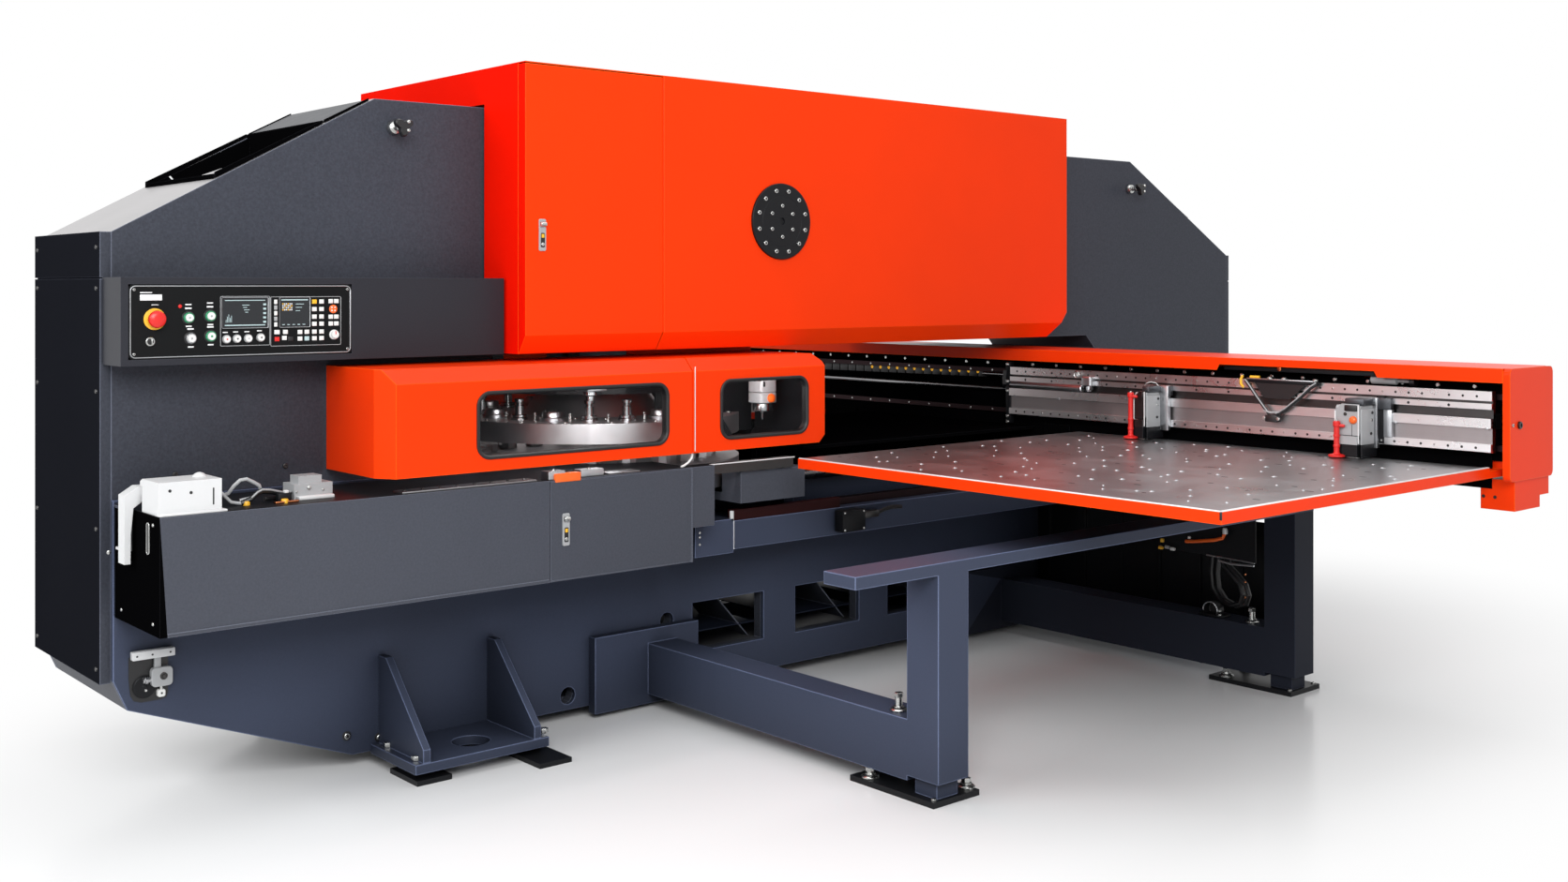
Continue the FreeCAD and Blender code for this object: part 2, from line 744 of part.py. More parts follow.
def head_cover():
    """Orange sheet casing over the press drive, with its service door."""
    shell = cut("head_shell", head_solid("head_outer", "0"), head_solid("head_inner", "sheet"))
    passage = block("head_passage", "-(frame_half + frame_gap)", "frame_half + frame_gap",
                    "-head_near - 10", "head_far + 10", "head_low - 10", "frame_top + frame_gap")
    seats = []
    for name, y in (("near", "-head_near + 200"), ("middle", "(head_far - head_near)/2"),
                    ("far", "head_far - 260")):
        seats.append(block(f"head_seat_{name}", "-frame_half + 30", "frame_half - 30", y, f"{y} + 60",
                           "frame_top", "head_top - sheet"))
    door_zone = block("head_door_zone", "head_half - door_wrap", "head_half + 10", "-head_near - 10",
                      "-head_door_seam - hinge_radius - hinge_gap", "head_low - 10",
                      "head_top - sheet - door_gap")
    opening = block("head_door_opening", "head_half - door_wrap - door_gap", "head_half + 10",
                    "-head_near - 10", "-head_door_seam", "head_low - 10", "head_top - sheet")
    barrel = prism("head_hinge_barrel", "Z", "head_half", "-head_door_seam", "hinge_radius",
                 "head_low + head_bevel_up", "head_top - sheet")
    shaft_hole = prism("shaft_hole_in_head", "X", PRESS_Y, "eccentric_z", "disc_radius - 30",
                       "head_half - sheet - cut_over", "head_half + cut_over", 16)
    casing = cut("head_casing", shell, passage, opening, shaft_hole)
    node("head_cover", join("head_cover", casing, barrel, *seats))
    door_shell = cut("head_door_shell", head_solid("door_outer", "0"), head_solid("door_inner", "sheet"))
    node("head_door", overlap("head_door", door_shell, door_zone))


def disc_cover():
    """Round cover over the end of the eccentric shaft."""
    node("disc_cover", rod("disc_cover", "X", PRESS_Y, "eccentric_z", "disc_radius", "head_half",
                           "head_half + disc_thick"))


# ------------------------------------------------------------------ turret covers

def turret_cover_form(name, inset):
    """Outer form of the cover round the turrets on the +X side."""
    low, high = "tc_low", f"tc_top - {inset}"
    side = plate(name, "YZ",
                 [(f"-(tc_near - {inset})", low), (f"-(tc_far + {inset}) - tc_corner", low),
                  (f"-(tc_far + {inset})", f"{low} + tc_corner"),
                  (f"-(tc_far + {inset})", f"{high} - tc_corner"),
                  (f"-(tc_far + {inset}) - tc_corner", high), (f"-(tc_near - {inset})", high)],
                 "frame_half", f"tc_out - {inset}")
    top_bevel = plate(f"{name}_top_bevel", "XZ",
                      [(f"tc_out - {inset} + 10", f"{high} + 10"),
                       (f"tc_out - {inset} - tc_chamfer - 10", f"{high} + 10"),
                       (f"tc_out - {inset} + 10", f"{high} - tc_chamfer - 10")],
                      "-tc_near - 10", "-tc_far + 10")
    end_bevel = plate(f"{name}_end_bevel", "XY",
                      [(f"tc_out - {inset} + 10", f"-(tc_near - {inset}) - 10"),
                       (f"tc_out - {inset} + 10", f"-(tc_near - {inset}) + tc_chamfer*0.8 + 10"),
                       (f"tc_out - {inset} - tc_chamfer*1.4 - 10*1.75", f"-(tc_near - {inset}) - 10")],
                      "tc_low - 10", "tc_top + 10")
    return cut(f"{name}_form", side, top_bevel, end_bevel)


def turret_cover_shell(name):
    """The cover as a sheet shell, open to the frame and below."""
    return cut(f"{name}_shell", turret_cover_form(f"{name}_outer", "0"),
               turret_cover_form(f"{name}_inner", "sheet"))


def window_opening(name, near, far):
    """Opening for one window, through the front sheet."""
    return window(name, "YZ", f"-{near}", f"-{far}", "window_bottom", "window_top",
                  "tc_out - sheet - 5", "tc_out + 5", "window_corner")


def window_glass(name, near, far):
    """Glass behind one window, lapping the opening."""
    return block(name, "tc_out - sheet - glass", "tc_out - sheet", f"-{near} - glass_lap",
                 f"-{far} + glass_lap", "window_bottom - glass_lap", "window_top + glass_lap")


def turret_covers():
    """Fixed covers, the turret door and the two windows."""
    flange = block("turret_cover_flange", "frame_half", "frame_half + sheet", "-tc_seam",
                   "-tc_far - tc_corner", "tc_top - sheet", "throat_high + 8")
    flange_rear = block("rear_cover_flange", "frame_half", "frame_half + sheet", "-throat_near",
                        "-tc_far - tc_corner", "tc_top - sheet", "throat_high + 8")
    fixed_zone = block("fixed_cover_zone", "frame_half - 5", "tc_out + 5", "-tc_seam", "-tc_far + 5",
                       "tc_low - 5", "tc_top + 5")
    door_zone = block("turret_door_zone", "frame_half + 6", "tc_out + 5", "-tc_near - 5",
                      "-tc_seam - hinge_radius - hinge_gap", "tc_low - 5", "tc_top + 5")
    barrel = prism("turret_hinge_barrel", "Z", "tc_out", "-tc_seam", "hinge_radius",
                 "tc_low + 4", "tc_top - tc_chamfer")
    fixed = join("fixed_cover_whole",
                 overlap("fixed_cover_part", turret_cover_shell("fixed"), fixed_zone), flange, barrel)
    hole = window_opening("ram_window_hole", "ram_window_near", "ram_window_far")
    right = cut("right_turret_cover", fixed, hole)
    rear_shell = join("rear_cover_whole", turret_cover_shell("rear"), flange_rear)
    node("turret_covers", group("turret_covers", right, mirror("left_turret_cover", rear_shell)))
    door = overlap("turret_door_part", turret_cover_shell("door"), door_zone)
    node("turret_door", cut("turret_door", door,
                            window_opening("turret_window_hole", "turret_window_near", "turret_window_far")))
    node("ram_window", window_glass("ram_window", "ram_window_near", "ram_window_far"))
    node("turret_window", window_glass("turret_window", "turret_window_near", "turret_window_far"))


# ------------------------------------------------------------------ lower side boxes

def side_box_shell(name, near):
    """Sheet box beside the base, open towards the frame."""
    outer = block(f"{name}_outer", "base_half", "box_out", f"-{near}", "-box_far", "box_low", "box_top")
    inner = block(f"{name}_inner", "base_half - cut_over", "box_out - sheet", f"-{near} + sheet",
                  "-box_far - sheet", "box_low + sheet", "box_top - sheet")
    lip = block(f"{name}_lip", "box_out", "box_out + lip_thick", f"-{near} + lip_inset",
                "-box_door_seam - lip_gap", "box_low", "box_low + lip_tall")
    return join(f"{name}_shell", cut(f"{name}_box", outer, inner), lip)


def turret_guard():
    """Sheet guard beyond the corner post, hollowed where the lower turret turns."""
    outer = block("guard_outer", "base_half", "guard_out", "-guard_near", "-guard_far", "guard_low",
                  "guard_top")
    inner = block("guard_inner", "base_half - cut_over", "guard_out - sheet", "-guard_near + sheet",
                  "-guard_far - sheet", "guard_low + sheet", "guard_top - sheet")
    slot = rod("guard_slot", "Z", "0", "-turret_y", "turret_radius + turret_room", "lower_low - box_room",
               "pass_line")
    return cut("turret_guard", outer, inner, slot)


def side_boxes():
    """Boxes that close in the lower turret, the +X one with a door, a corner post and a guard."""
    turret_slot = rod("turret_slot", "Z", "0", "-turret_y", "turret_radius + turret_room",
                      "lower_low - box_room", "box_top - sheet - 1")
    dies_slot = rod("dies_slot", "Z", "0", "-turret_y", "track_radius + die_radius + dies_room",
                    "lower_low - box_room", "box_top + cut_over")
    opening = block("side_door_opening", "box_out - sheet - 5", "box_out + 5", "-box_door_seam - door_gap",
                    "-box_far - sheet", "box_low + sheet", "box_top - sheet")
    barrel = prism("side_hinge_barrel", "Z", "box_out", "-box_far", "hinge_radius", "box_low", "box_top")
    post = block("corner_post", "box_out - post_deep", "box_out", "-box_far", "-post_far", "post_low",
                 "box_top")
    opened = cut("right_box_cut", side_box_shell("right_box", "box_near"), turret_slot, dies_slot, opening)
    right = join("right_side_box", opened, barrel, post)
    rear = cut("left_box_cut", side_box_shell("left_box", "left_box_near"), turret_slot, dies_slot)
    node("side_boxes", group("side_boxes", right, mirror("left_side_box", rear), turret_guard()))
    node("side_door", block("side_door", "box_out - sheet", "box_out", "-box_door_seam",
                            "-box_far - sheet - 0.5", "box_low + sheet + 1", "box_top - sheet - 1"))


def latch(name, face, y, low):
    """Paddle of a flush latch: a plate with a thumb grip that swings out from its lower edge."""
    body = block(f"{name}_body", face, f"{face} + latch_thick", f"{y} - latch_half", f"{y} + latch_half",
                 low, f"{low} + latch_long")
    grip = prism(f"{name}_grip", "Y", f"{face} + latch_thick + 2", f"{low} + latch_long - grip_radius*2",
                 "grip_radius", f"{y} - latch_half + 2", f"{y} + latch_half - 2")
    node(name, join(name, body, grip))


# ------------------------------------------------------------------ control box

BUTTONS = {
    "push_button_1": (-2657, 1455), "push_button_2": (-2594, 1459),
    "push_button_3": (-2651, 1395), "push_button_4": (-2593, 1400),
}
SCREEN_BUTTONS = {
    "screen_button_1": (-2546, 1390), "screen_button_2": (-2515, 1391),
    "screen_button_3": (-2481, 1391), "screen_button_4": (-2443, 1393),
}
STOP_PLACE = (-2753, 1452)
KEY_PLACE = (-2766, 1388)
KNOB_PLACE = (-2211, 1397)


def stem_hole(name, place_yz, turns):
    """Hole in the control panel for one stem, with room between its flats where the stem turns."""
    across, up = place_yz
    room, sides = ("*flat_room", 12) if turns else ("", 8)
    return prism(f"{name}_hole", "X", across, up, f"(stem_radius + stem_gap){room}",
                 "desk_out - panel_thick - cut_over", "desk_out + cut_over", sides)


def push_piece(name, place_yz, head_radius, proud):
    """A push-button: head in front of the panel, stem and retaining ring behind it."""
    back = "desk_out - panel_thick"
    head = "desk_out + button_travel + 1"
    node(name, stacked(name, "X", *place_yz,
                       [("stem_radius + ring_lap", f"{back} - stem_long", f"{back} - ring_gap"),
                        ("stem_radius", f"{back} - ring_gap", head),
                        (head_radius, head, f"desk_out + {proud}")]))


def control_box():
    """Long control box with a flush panel, screens, push-buttons, a key switch and a knob."""
    body = block("desk_body", "frame_half", "desk_out", "-desk_near", "-desk_far", "desk_low", "desk_top")
    recess = block("desk_recess", "desk_out - panel_deep", "desk_out + cut_over", "-panel_near", "-panel_far",
                   "panel_low", "panel_top")
    node("control_box", cut("control_box", body, recess))
    face = block("panel_face", "desk_out - panel_thick", "desk_out", "-panel_near + panel_gap",
                 "-panel_far - panel_gap", "panel_low + panel_gap", "panel_top - panel_gap")
    collar = prism("stop_collar", "X", *STOP_PLACE, "collar_radius", "desk_out",
                   "desk_out + collar_thick", 12)
    keypad = block("key_pad", "desk_out", "desk_out + key_proud", "-panel_far - 127", "-panel_far - 41",
                   "panel_low + 75", "panel_low + 171")
    rows = block("key_rows", "desk_out", "desk_out + key_proud", "-panel_far - 251", "-panel_far - 85",
                 "panel_low + 37", "panel_low + 71")
    ledge = block("panel_ledge", "desk_out - panel_deep", "desk_out - panel_thick", "-panel_far - 269",
                  "-panel_far - 251", "panel_low + panel_gap*2", "panel_low + 30")
    holes = [stem_hole(name, place_yz, False) for name, place_yz in {**BUTTONS, **SCREEN_BUTTONS}.items()]
    turning = {"stop": STOP_PLACE, "key": KEY_PLACE, "knob": KNOB_PLACE}
    holes += [stem_hole(name, place_yz, True) for name, place_yz in turning.items()]
    whole = join("panel_whole", face, collar, keypad, rows, ledge)
    node("control_panel", cut("control_panel", whole, *holes))
    screens = [block(f"{name}_screen", "desk_out", "desk_out + screen_proud", f"-panel_far - {near}",
                     f"-panel_far - {far}", "screen_low", "screen_top")
               for name, near, far in (("left", "406", "270"), ("right", "256", "131"))]
    node("screens", group("screens", *screens))
    for name, place_yz in BUTTONS.items():
        push_piece(name, place_yz, "button_radius", "button_proud")
    for name, place_yz in SCREEN_BUTTONS.items():
        push_piece(name, place_yz, "small_button_radius", "button_proud - 3")
    back = "desk_out - panel_thick"
    crown = "desk_out + mushroom_top - crown_high"
    node("stop_button", stacked("stop_button", "X", *STOP_PLACE,
                                [("stem_radius + ring_lap", f"{back} - stem_long", f"{back} - ring_gap"),
                                 ("stem_radius", f"{back} - ring_gap", "desk_out + mushroom_low"),
                                 ("mushroom_radius", "desk_out + mushroom_low", crown),
                                 ("mushroom_radius*0.8", crown, f"{crown} + crown_high")], 12))
    for name, (across, up), radius in (("key_switch", KEY_PLACE, "key_radius"),
                                       ("feed_knob", KNOB_PLACE, "button_radius")):
        head = stacked(name, "X", across, up,
                       [("stem_radius", f"{back} - ring_gap*2", "desk_out + run_gap"),
                        (radius, "desk_out + run_gap", "desk_out + turn_thick")])
        bar = block(f"{name}_bar", "desk_out + turn_thick", "desk_out + turn_thick*2", f"{across} - 3",
                    f"{across} + 3", f"{up} - {radius}*0.9", f"{up} + {radius}*0.9")
        node(name, join(name, head, bar))


# ------------------------------------------------------------------ turrets, ram and drive

def guide_steps(flange, top_radius, top):
    """Punch guide: shank through the turret, flange on it and body above."""
    return [("shank_radius", "upper_low - shank_proud", "upper_top"),
            (flange, "upper_top", "upper_top + flange_high"),
            (top_radius, "upper_top + flange_high", top)]


def turrets():
    """Upper and lower turret with their punch guides and dies."""
    hub = turned("upper_hub", "0", "-turret_y", "upper_low",
                 [("0", "0"), ("turret_radius", "0"), ("turret_radius", "upper_top - upper_low"),
                  ("hub_foot", "upper_top - upper_low"),
                  ("hub_radius - 20", "upper_top - upper_low + hub_high - run_gap"),
                  ("shaft_radius", "upper_top - upper_low + hub_high - run_gap"),
                  ("shaft_radius", "upper_top - upper_low + hub_high + shaft_deep"),
                  ("0", "upper_top - upper_low + hub_high + shaft_deep")])
    bore = prism("station_bore", "Z", "0", PRESS_Y, "shank_radius + shank_gap", "upper_low - cut_over",
                 "upper_top + cut_over")
    bores = ring_of("station_bores", bore, stations())
    node("upper_turret", cut("upper_turret", hub, bores))
    slim = stacked("slim_guide", "Z", "0", PRESS_Y, guide_steps("flange_radius", "guide_radius", "guide_top"))
    wide = stacked("wide_guide", "Z", "0", PRESS_Y,
                   guide_steps("wide_radius", "wide_radius - 8", "guide_top - wide_drop"))
    slim_at = [angle for k, angle in enumerate(stations()) if k % 5 not in (0, 2)]
    wide_at = [angle for k, angle in enumerate(stations()) if k % 5 in (0, 2) and k > 0]
    node("punch_guides", group("punch_guides", ring_of("slim_guides", slim, slim_at),
                               ring_of("wide_guides", wide, wide_at)))
    raised = "upper_top + stroke_room"
    node("strike_punch", stacked("strike_punch", "Z", "0", PRESS_Y,
                                 [("punch_radius", "punch_tip", "punch_tip + 6"),
                                  ("shank_radius", "punch_tip + 6", raised),
                                  ("flange_radius", raised, f"{raised} + flange_high"),
                                  ("guide_radius", f"{raised} + flange_high", "guide_top")]))
    lower = turned("lower_disc", "0", "-turret_y", "lower_low",
                   [("0", "-shaft_deep"), ("shaft_radius", "-shaft_deep"), ("shaft_radius", "0"),
                    ("turret_radius", "0"), ("turret_radius", "lower_top - lower_low"),
                    ("0", "lower_top - lower_low")])
    die = prism("die_pattern", "Z", "0", PRESS_Y, "die_radius", "lower_top - cut_over", "pass_line")
    bore = prism("die_hole", "Z", "0", PRESS_Y, "die_bore", "lower_low - cut_over", "pass_line + cut_over")
    with_dies = join("lower_turret_dies", lower, ring_of("turret_dies", die, stations()))
    node("lower_turret", cut("lower_turret", with_dies, ring_of("slug_holes", bore, stations())))


def press_drive():
    """Ram with its yoke, eccentric shaft and motor."""
    pin_y = f"({PRESS_Y} + eccentric_throw*0.70711)"
    pin_z = "(eccentric_z + eccentric_throw*0.70711)"
    reach, slot = "pin_radius + yoke_side + yoke_room", "pin_radius + yoke_room"
    yoke = block("ram_yoke", "-yoke_half", "yoke_half", f"{PRESS_Y} - ({reach})", f"{PRESS_Y} + ({reach})",
                 f"{pin_z} - pin_radius - yoke_cap", f"{pin_z} + pin_radius + yoke_cap")
    gap = block("yoke_slot", "-yoke_half - cut_over", "yoke_half + cut_over", f"{PRESS_Y} - ({slot})",
                f"{PRESS_Y} + ({slot})", f"{pin_z} - pin_radius - yoke_gap",
                f"{pin_z} + pin_radius + yoke_gap")
    stem = rod("ram_stem", "Z", "0", PRESS_Y, "ram_radius", "ram_low", f"{pin_z} - pin_radius - 20")
    tip = prism("ram_tip", "Z", "0", PRESS_Y, "ram_tip_radius", "guide_top + run_gap", "ram_low", 12)
    node("press_ram", cut("press_ram", join("ram_whole", yoke, stem, tip), gap))
    pin = rod("eccentric_pin", "X", pin_y, pin_z, "pin_radius", "-pin_half", "pin_half")
    journal = rod("eccentric_journal", "X", PRESS_Y, "eccentric_z", "journal_radius",
                  "-frame_half - journal_out", "frame_half + 20")
    node("eccentric_shaft", join("eccentric_shaft", pin, journal))
    case = block("motor_case", "-frame_half - motor_long", "-frame_half", f"{PRESS_Y} - motor_half",
                 f"{PRESS_Y} + motor_half", "eccentric_z - motor_half", "eccentric_z + motor_half")
    socket = prism("motor_socket", "X", PRESS_Y, "eccentric_z", "journal_radius*flat_room",
                   "-frame_half - journal_out - cut_over*2", "-frame_half + cut_over", 12)
    node("press_motor", cut("press_motor", case, socket))


def punch_lift_ring():
    """Fixed arc above the punches that holds their heads up outside the strike point."""
    top = "lift_ring_low + lift_ring_thick"
    outer = prism("lift_ring_outer", "Z", "0", "-turret_y", "track_radius + lift_ring_half", "lift_ring_low",
                  top, 36)
    inner = prism("lift_ring_inner", "Z", "0", "-turret_y", "track_radius - lift_ring_half",
                  "lift_ring_low - cut_over", f"{top} + cut_over", 36)
    gap = block("lift_ring_gap", "-lift_gap_half", "lift_gap_half", "-turret_y + lift_gap_half",
                "-turret_y + turret_radius", "lift_ring_low - cut_over", f"{top} + cut_over")
    posts = []
    for name, x, y in (("near", "0", "-turret_y - track_radius"),
                       ("right", "track_radius*0.7", "-turret_y - track_radius*0.7"),
                       ("left", "-track_radius*0.7", "-turret_y - track_radius*0.7")):
        posts.append(block(f"lift_post_{name}", f"{x} - post_half", f"{x} + post_half", f"{y} - post_half",
                           f"{y} + post_half", top, "throat_high"))
    node("punch_lift_ring", join("punch_lift_ring", cut("lift_ring_open", outer, inner, gap), *posts))


def punch_sensor():
    """Silver head seen through the small window, hung from the cover's top sheet."""
    face, x, y, low = "(tc_out - sensor_back)", "(tc_out - sensor_back - 40)", "(-sensor_y)", "sensor_low"
    body = block("sensor_body", f"{face} - 80", face, f"{y} - sensor_half", f"{y} + sensor_half", low,
                 f"{low} + sensor_high")
    nose = prism("sensor_nose", "Z", x, y, "30", f"{low} - 28", low)
    stylus = prism("sensor_stylus", "Z", x, y, "4", f"{low} - 52", f"{low} - 28")
    cap = prism("sensor_cap", "X", y, f"{low} + 30", "14", face, f"{face} + 12")
    hanger = block("sensor_hanger", f"{x} - 20", f"{x} + 20", f"{y} - 20", f"{y} + 10",
                   f"{low} + sensor_high", "tc_top - sheet")
    node("punch_sensor", join("punch_sensor", body, nose, stylus, cap, hanger))


# ------------------------------------------------------------------ tables, beam and carriage

def centre_table():
    """Fixed table in the throat, on two ribs, and the support bar beside the turret."""
    top = block("centre_top", "-centre_half", "centre_half", "-centre_near", "centre_far",
                "pass_line - centre_thick", "pass_line")
    ribs = [block(f"centre_rib_{k}", f"{x} - rib_half", f"{x} + rib_half", "-centre_near + 10",
                  "centre_far - 10", "throat_low", "pass_line - centre_thick")
            for k, x in enumerate(("-rib_x", "rib_x"))]
    bar = block("support_bar_side", "guard_out + bar_lap - bar_wide", "guard_out + bar_lap", "-post_far",
                "-bar_end", "guard_top + bar_lift", "guard_top + bar_lift + bar_tall")
    spacers = [block(f"bar_spacer_{k}", "guard_out + bar_lap - bar_wide", "guard_out", start,
                     f"{start} + spacer_long", "guard_top", "guard_top + bar_lift")
               for k, start in enumerate(("-guard_near + sheet", "-bar_end - spacer_long"))]
    node("centre_table", group("centre_table", join("centre_top_ribs", top, *ribs),
                               join("side_bar", bar, *spacers)))


def cross_beam():
    """Hollow cross beam with saddles that ride on the Y rails."""
    beam = block("beam_box", "-beam_half", "beam_half", "beam_near", "beam_far", "beam_low", "beam_top")
    hollow = block("beam_hollow", "-beam_half - cut_over", "beam_half + cut_over", "beam_near + beam_skin",
                   "beam_far - beam_skin", "beam_low + beam_skin", "beam_top - beam_skin")
    saddle = plate("saddle", "XZ",
                   [("saddle_in", "rail_top + run_gap"), ("saddle_out", "rail_top + run_gap"),
                    ("saddle_out", "beam_low"), ("saddle_shoulder", "beam_low"),
                    ("saddle_shoulder", "saddle_step"), ("saddle_in", "saddle_step")],
                   "saddle_near", "beam_far")
    bore = prism("nut_bore", "Y", "screw_x", "screw_z", "screw_radius*flat_room", "saddle_near - cut_over",
                 "beam_far + cut_over", 12)
    rails = []
    for name, z in (("low", "x_rail_low_z"), ("top", "x_rail_top_z")):
        rails.append(block(f"x_rail_{name}", "-beam_half", "beam_half", "beam_near - x_rail_out",
                           "beam_near", f"{z} - x_rail_high/2", f"{z} + x_rail_high/2"))
    bearings = []
    for name, start, end in (("left", "-beam_half", "-beam_half + 30"),
                             ("right", "beam_half - 18", "beam_half")):
        bearings.append(block(f"x_bearing_{name}", start, end, "beam_near - 32", "beam_near",
                              "x_screw_z - 25", "x_screw_z + 25"))
    x_bore = prism("x_screw_bore", "X", "x_screw_y", "x_screw_z", "x_screw_radius*flat_room",
                   "-beam_half - cut_over", "beam_half + cut_over", 12)
    frame = cut("beam_frame", join("beam_and_saddles", beam, cut("saddle_right", saddle, bore),
                                   mirror("saddle_left", saddle)), hollow)
    node("cross_beam", cut("cross_beam", join("beam_with_bearings", frame, *bearings), x_bore))
    node("x_rails", group("x_rails", *rails))


def beam_cover():
    """Painted sheet over the beam's top and back with a lip in front, cut away at one place."""
    outer = plate("cover_section", "YZ",
                  [("cap_near", "lip_low"), ("cap_near", "cap_top"), ("cap_far", "cap_top"),
                   ("cap_far", "beam_low"), ("cap_far - sheet", "beam_low"),
                   ("cap_far - sheet", "cap_top - sheet"), ("cap_near + sheet", "cap_top - sheet"),
                   ("cap_near + sheet", "lip_low")],
                  "-(beam_half + cap_reach - cap_thick)", "beam_half + cap_reach - cap_thick")
    notch = plate("lip_notch", "XZ", [("notch_in", "lip_low - cut_over"), ("notch_out", "lip_low - cut_over"),
                                      ("notch_out - 15", "lip_low + notch_high"),
                                      ("notch_in + 15", "lip_low + notch_high")],
                  "cap_near - cut_over", "cap_near + sheet + cut_over")
    posts = []
    for k, share in enumerate((-0.8, -0.4, 0, 0.4, 0.8)):
        x = f"beam_half*({share})"
        posts.append(block(f"cover_post_{k}", f"{x} - 20", f"{x} + 20", "beam_near + 40",
                           "beam_near + 80", "beam_top", "cap_top - sheet"))
    node("beam_cover", join("beam_cover", cut("cover_notched", outer, notch), *posts))


def beam_end_caps():
    """Rounded end caps, with the motor cover below them."""
    inner, outer = "beam_half + cap_reach - cap_thick", "beam_half + cap_reach"
    cap = plate("cap_plate", "YZ", [("cap_near", "cap_low"), ("cap_far", "cap_low"),
                                    ("cap_far", "cap_top"), ("cap_near", "cap_top")],
                inner, outer, round_by="cap_round")
    spigot = block("cap_spigot", "beam_half", inner, "beam_near", "beam_far", "beam_low", "beam_top")
    motor = plate("motor_cover", "YZ",
                  [("cap_near + 61", "cap_low"), ("cap_near + 61", "cap_low - cover_drop"),
                   ("cap_far - 76", "cap_low - cover_drop"), ("cap_far - 76", "cap_low - cover_step"),
                   ("cap_far - 6", "cap_low - cover_step"), ("cap_far - 6", "cap_low")],
                  f"{outer} - cover_long", f"{outer} - 12")
    right = join("right_end_cap", cap, spigot, motor)
    node("beam_end_caps", group("beam_end_caps", right, mirror("left_end_cap", right)))


def screws():
    """Ball screws of the two axes."""
    node("y_screw", prism("y_screw", "Y", "screw_x", "screw_z", "screw_radius",
                          "-rail_near + bearing_inset - 20", "rail_far + 40", 16))
    node("x_screw", prism("x_screw", "X", "x_screw_y", "x_screw_z", "x_screw_radius", "-beam_half + 4",
                          "beam_half - 1", 12))


def side_tables():
    """Moving tables: steel tops in painted frames, with the bearers that tie them to the beam."""
    out = "beam_half - table_inset"
    top = block("table_top", "table_in + rim_edge", f"{out} - rim_edge", "-table_near + rim_edge",
                "table_far - rim_edge", "pass_line - table_sheet", "pass_line")
    node("table_tops", group("table_tops", top, mirror("table_top_left", top)))
    rim = block("table_rim_block", "table_in", out, "-table_near", "table_far", "table_low", "pass_line - 1")
    seat = block("table_seat", "table_in + rim_edge", f"{out} - rim_edge", "-table_near + rim_edge",
                 "table_far - rim_edge", "pass_line - table_sheet", "pass_line + cut_over")
    pocket = block("table_pocket", "table_in + table_rim", f"{out} - table_rim", "-table_near + table_rim",
                   "table_far - table_rim", "table_low - cut_over", "pass_line - table_sheet - tray_skin")
    under = "pass_line - table_sheet - tray_skin"
    bearers = []
    for name, start, end in (("in", "table_in", "table_in + bearer"), ("out", f"{out} - bearer", out)):
        bearers.append(block(f"table_bearer_{name}", start, end, "table_far - table_rim", "beam_far",
                             "table_low", under))
        bearers.append(block(f"table_riser_{name}", start, end, "beam_near + 10", "beam_far",
                             "table_low", "beam_low"))
    axle_z = "bar_top + roller_radius + run_gap"
    hanger = block("roller_hanger", "bar_out + 6", "bar_out + 18", "roller_y - 60", "roller_y + 60",
                   f"{axle_z} - 30", "table_low")
    cross = block("hanger_cross", "bar_in", "bar_out + 18", "roller_y - 60", "roller_y + 60", "table_low",
                  under)
    axle = prism("roller_axle", "X", "roller_y", axle_z, "axle_radius", "bar_in + 30", "bar_out + 18")
    right = join("table_frame_right", cut("table_tray", rim, pocket, seat), *bearers, hanger, cross, axle)
    node("table_frames", group("table_frames", right, mirror("table_frame_left", right)))
    tread = prism("roller_tread", "X", "roller_y", axle_z, "roller_radius", "bar_in + 40", "bar_in + 92", 16)
    eye = prism("roller_eye", "X", "roller_y", axle_z, "axle_radius*flat_room*1.05", "bar_in + 35",
                "bar_in + 97", 12)
    roller = cut("roller", tread, eye)
    node("guide_rollers", group("guide_rollers", roller, mirror("roller_left", roller)))


def x_carriage():
    """Long carriage bar with its strips, rail blocks and screw nut."""
    back, face, out = "carriage_back", "carriage_near", "beam_half - carriage_inset"
    steps = [("16", "bar_foot"), ("0", "bar_foot + 4"), ("0", "bar_foot + 31"), ("12", "bar_foot + 31"),
             ("12", "bar_foot + 85"), ("0", "bar_foot + 85"), ("0", "bar_foot + 118"), ("20", "bar_foot + 118"),
             ("20", "bar_foot + 149"), ("6", "bar_foot + 149"), ("6", "bar_foot + 169"),
             ("17", "bar_foot + 169"), ("17", "bar_foot + 178"), ("8", "bar_foot + 178"),
             ("8", "bar_foot + bar_high")]
    points = [(f"{face} + {inset}", up) for inset, up in steps]
    bar = plate("carriage_section", "YZ", [(back, "bar_foot + bar_high"), (back, "bar_foot")] + points,
                "carriage_in", out)
    blocks = []
    for k, x in enumerate(("carriage_in + 60", f"{out} - 160")):
        for name, z in (("low", "x_rail_low_z"), ("top", "x_rail_top_z")):
            blocks.append(block(f"carriage_block_{name}_{k}", x, f"{x} + 100", back,
                                "beam_near - x_rail_out - run_gap", f"{z} - 13", f"{z} + 13"))
    nut = block("x_nut", "carriage_in + 900", "carriage_in + 960", back, "beam_near - 2",
                "x_screw_z - 22", "x_screw_z + 22")
    nut_bore = prism("x_nut_bore", "X", "x_screw_y", "x_screw_z", "x_screw_radius*flat_room",
                     "carriage_in + 900 - cut_over", "carriage_in + 960 + cut_over", 12)
    node("x_carriage", cut("x_carriage", join("carriage_whole", bar, *blocks, nut), nut_bore))


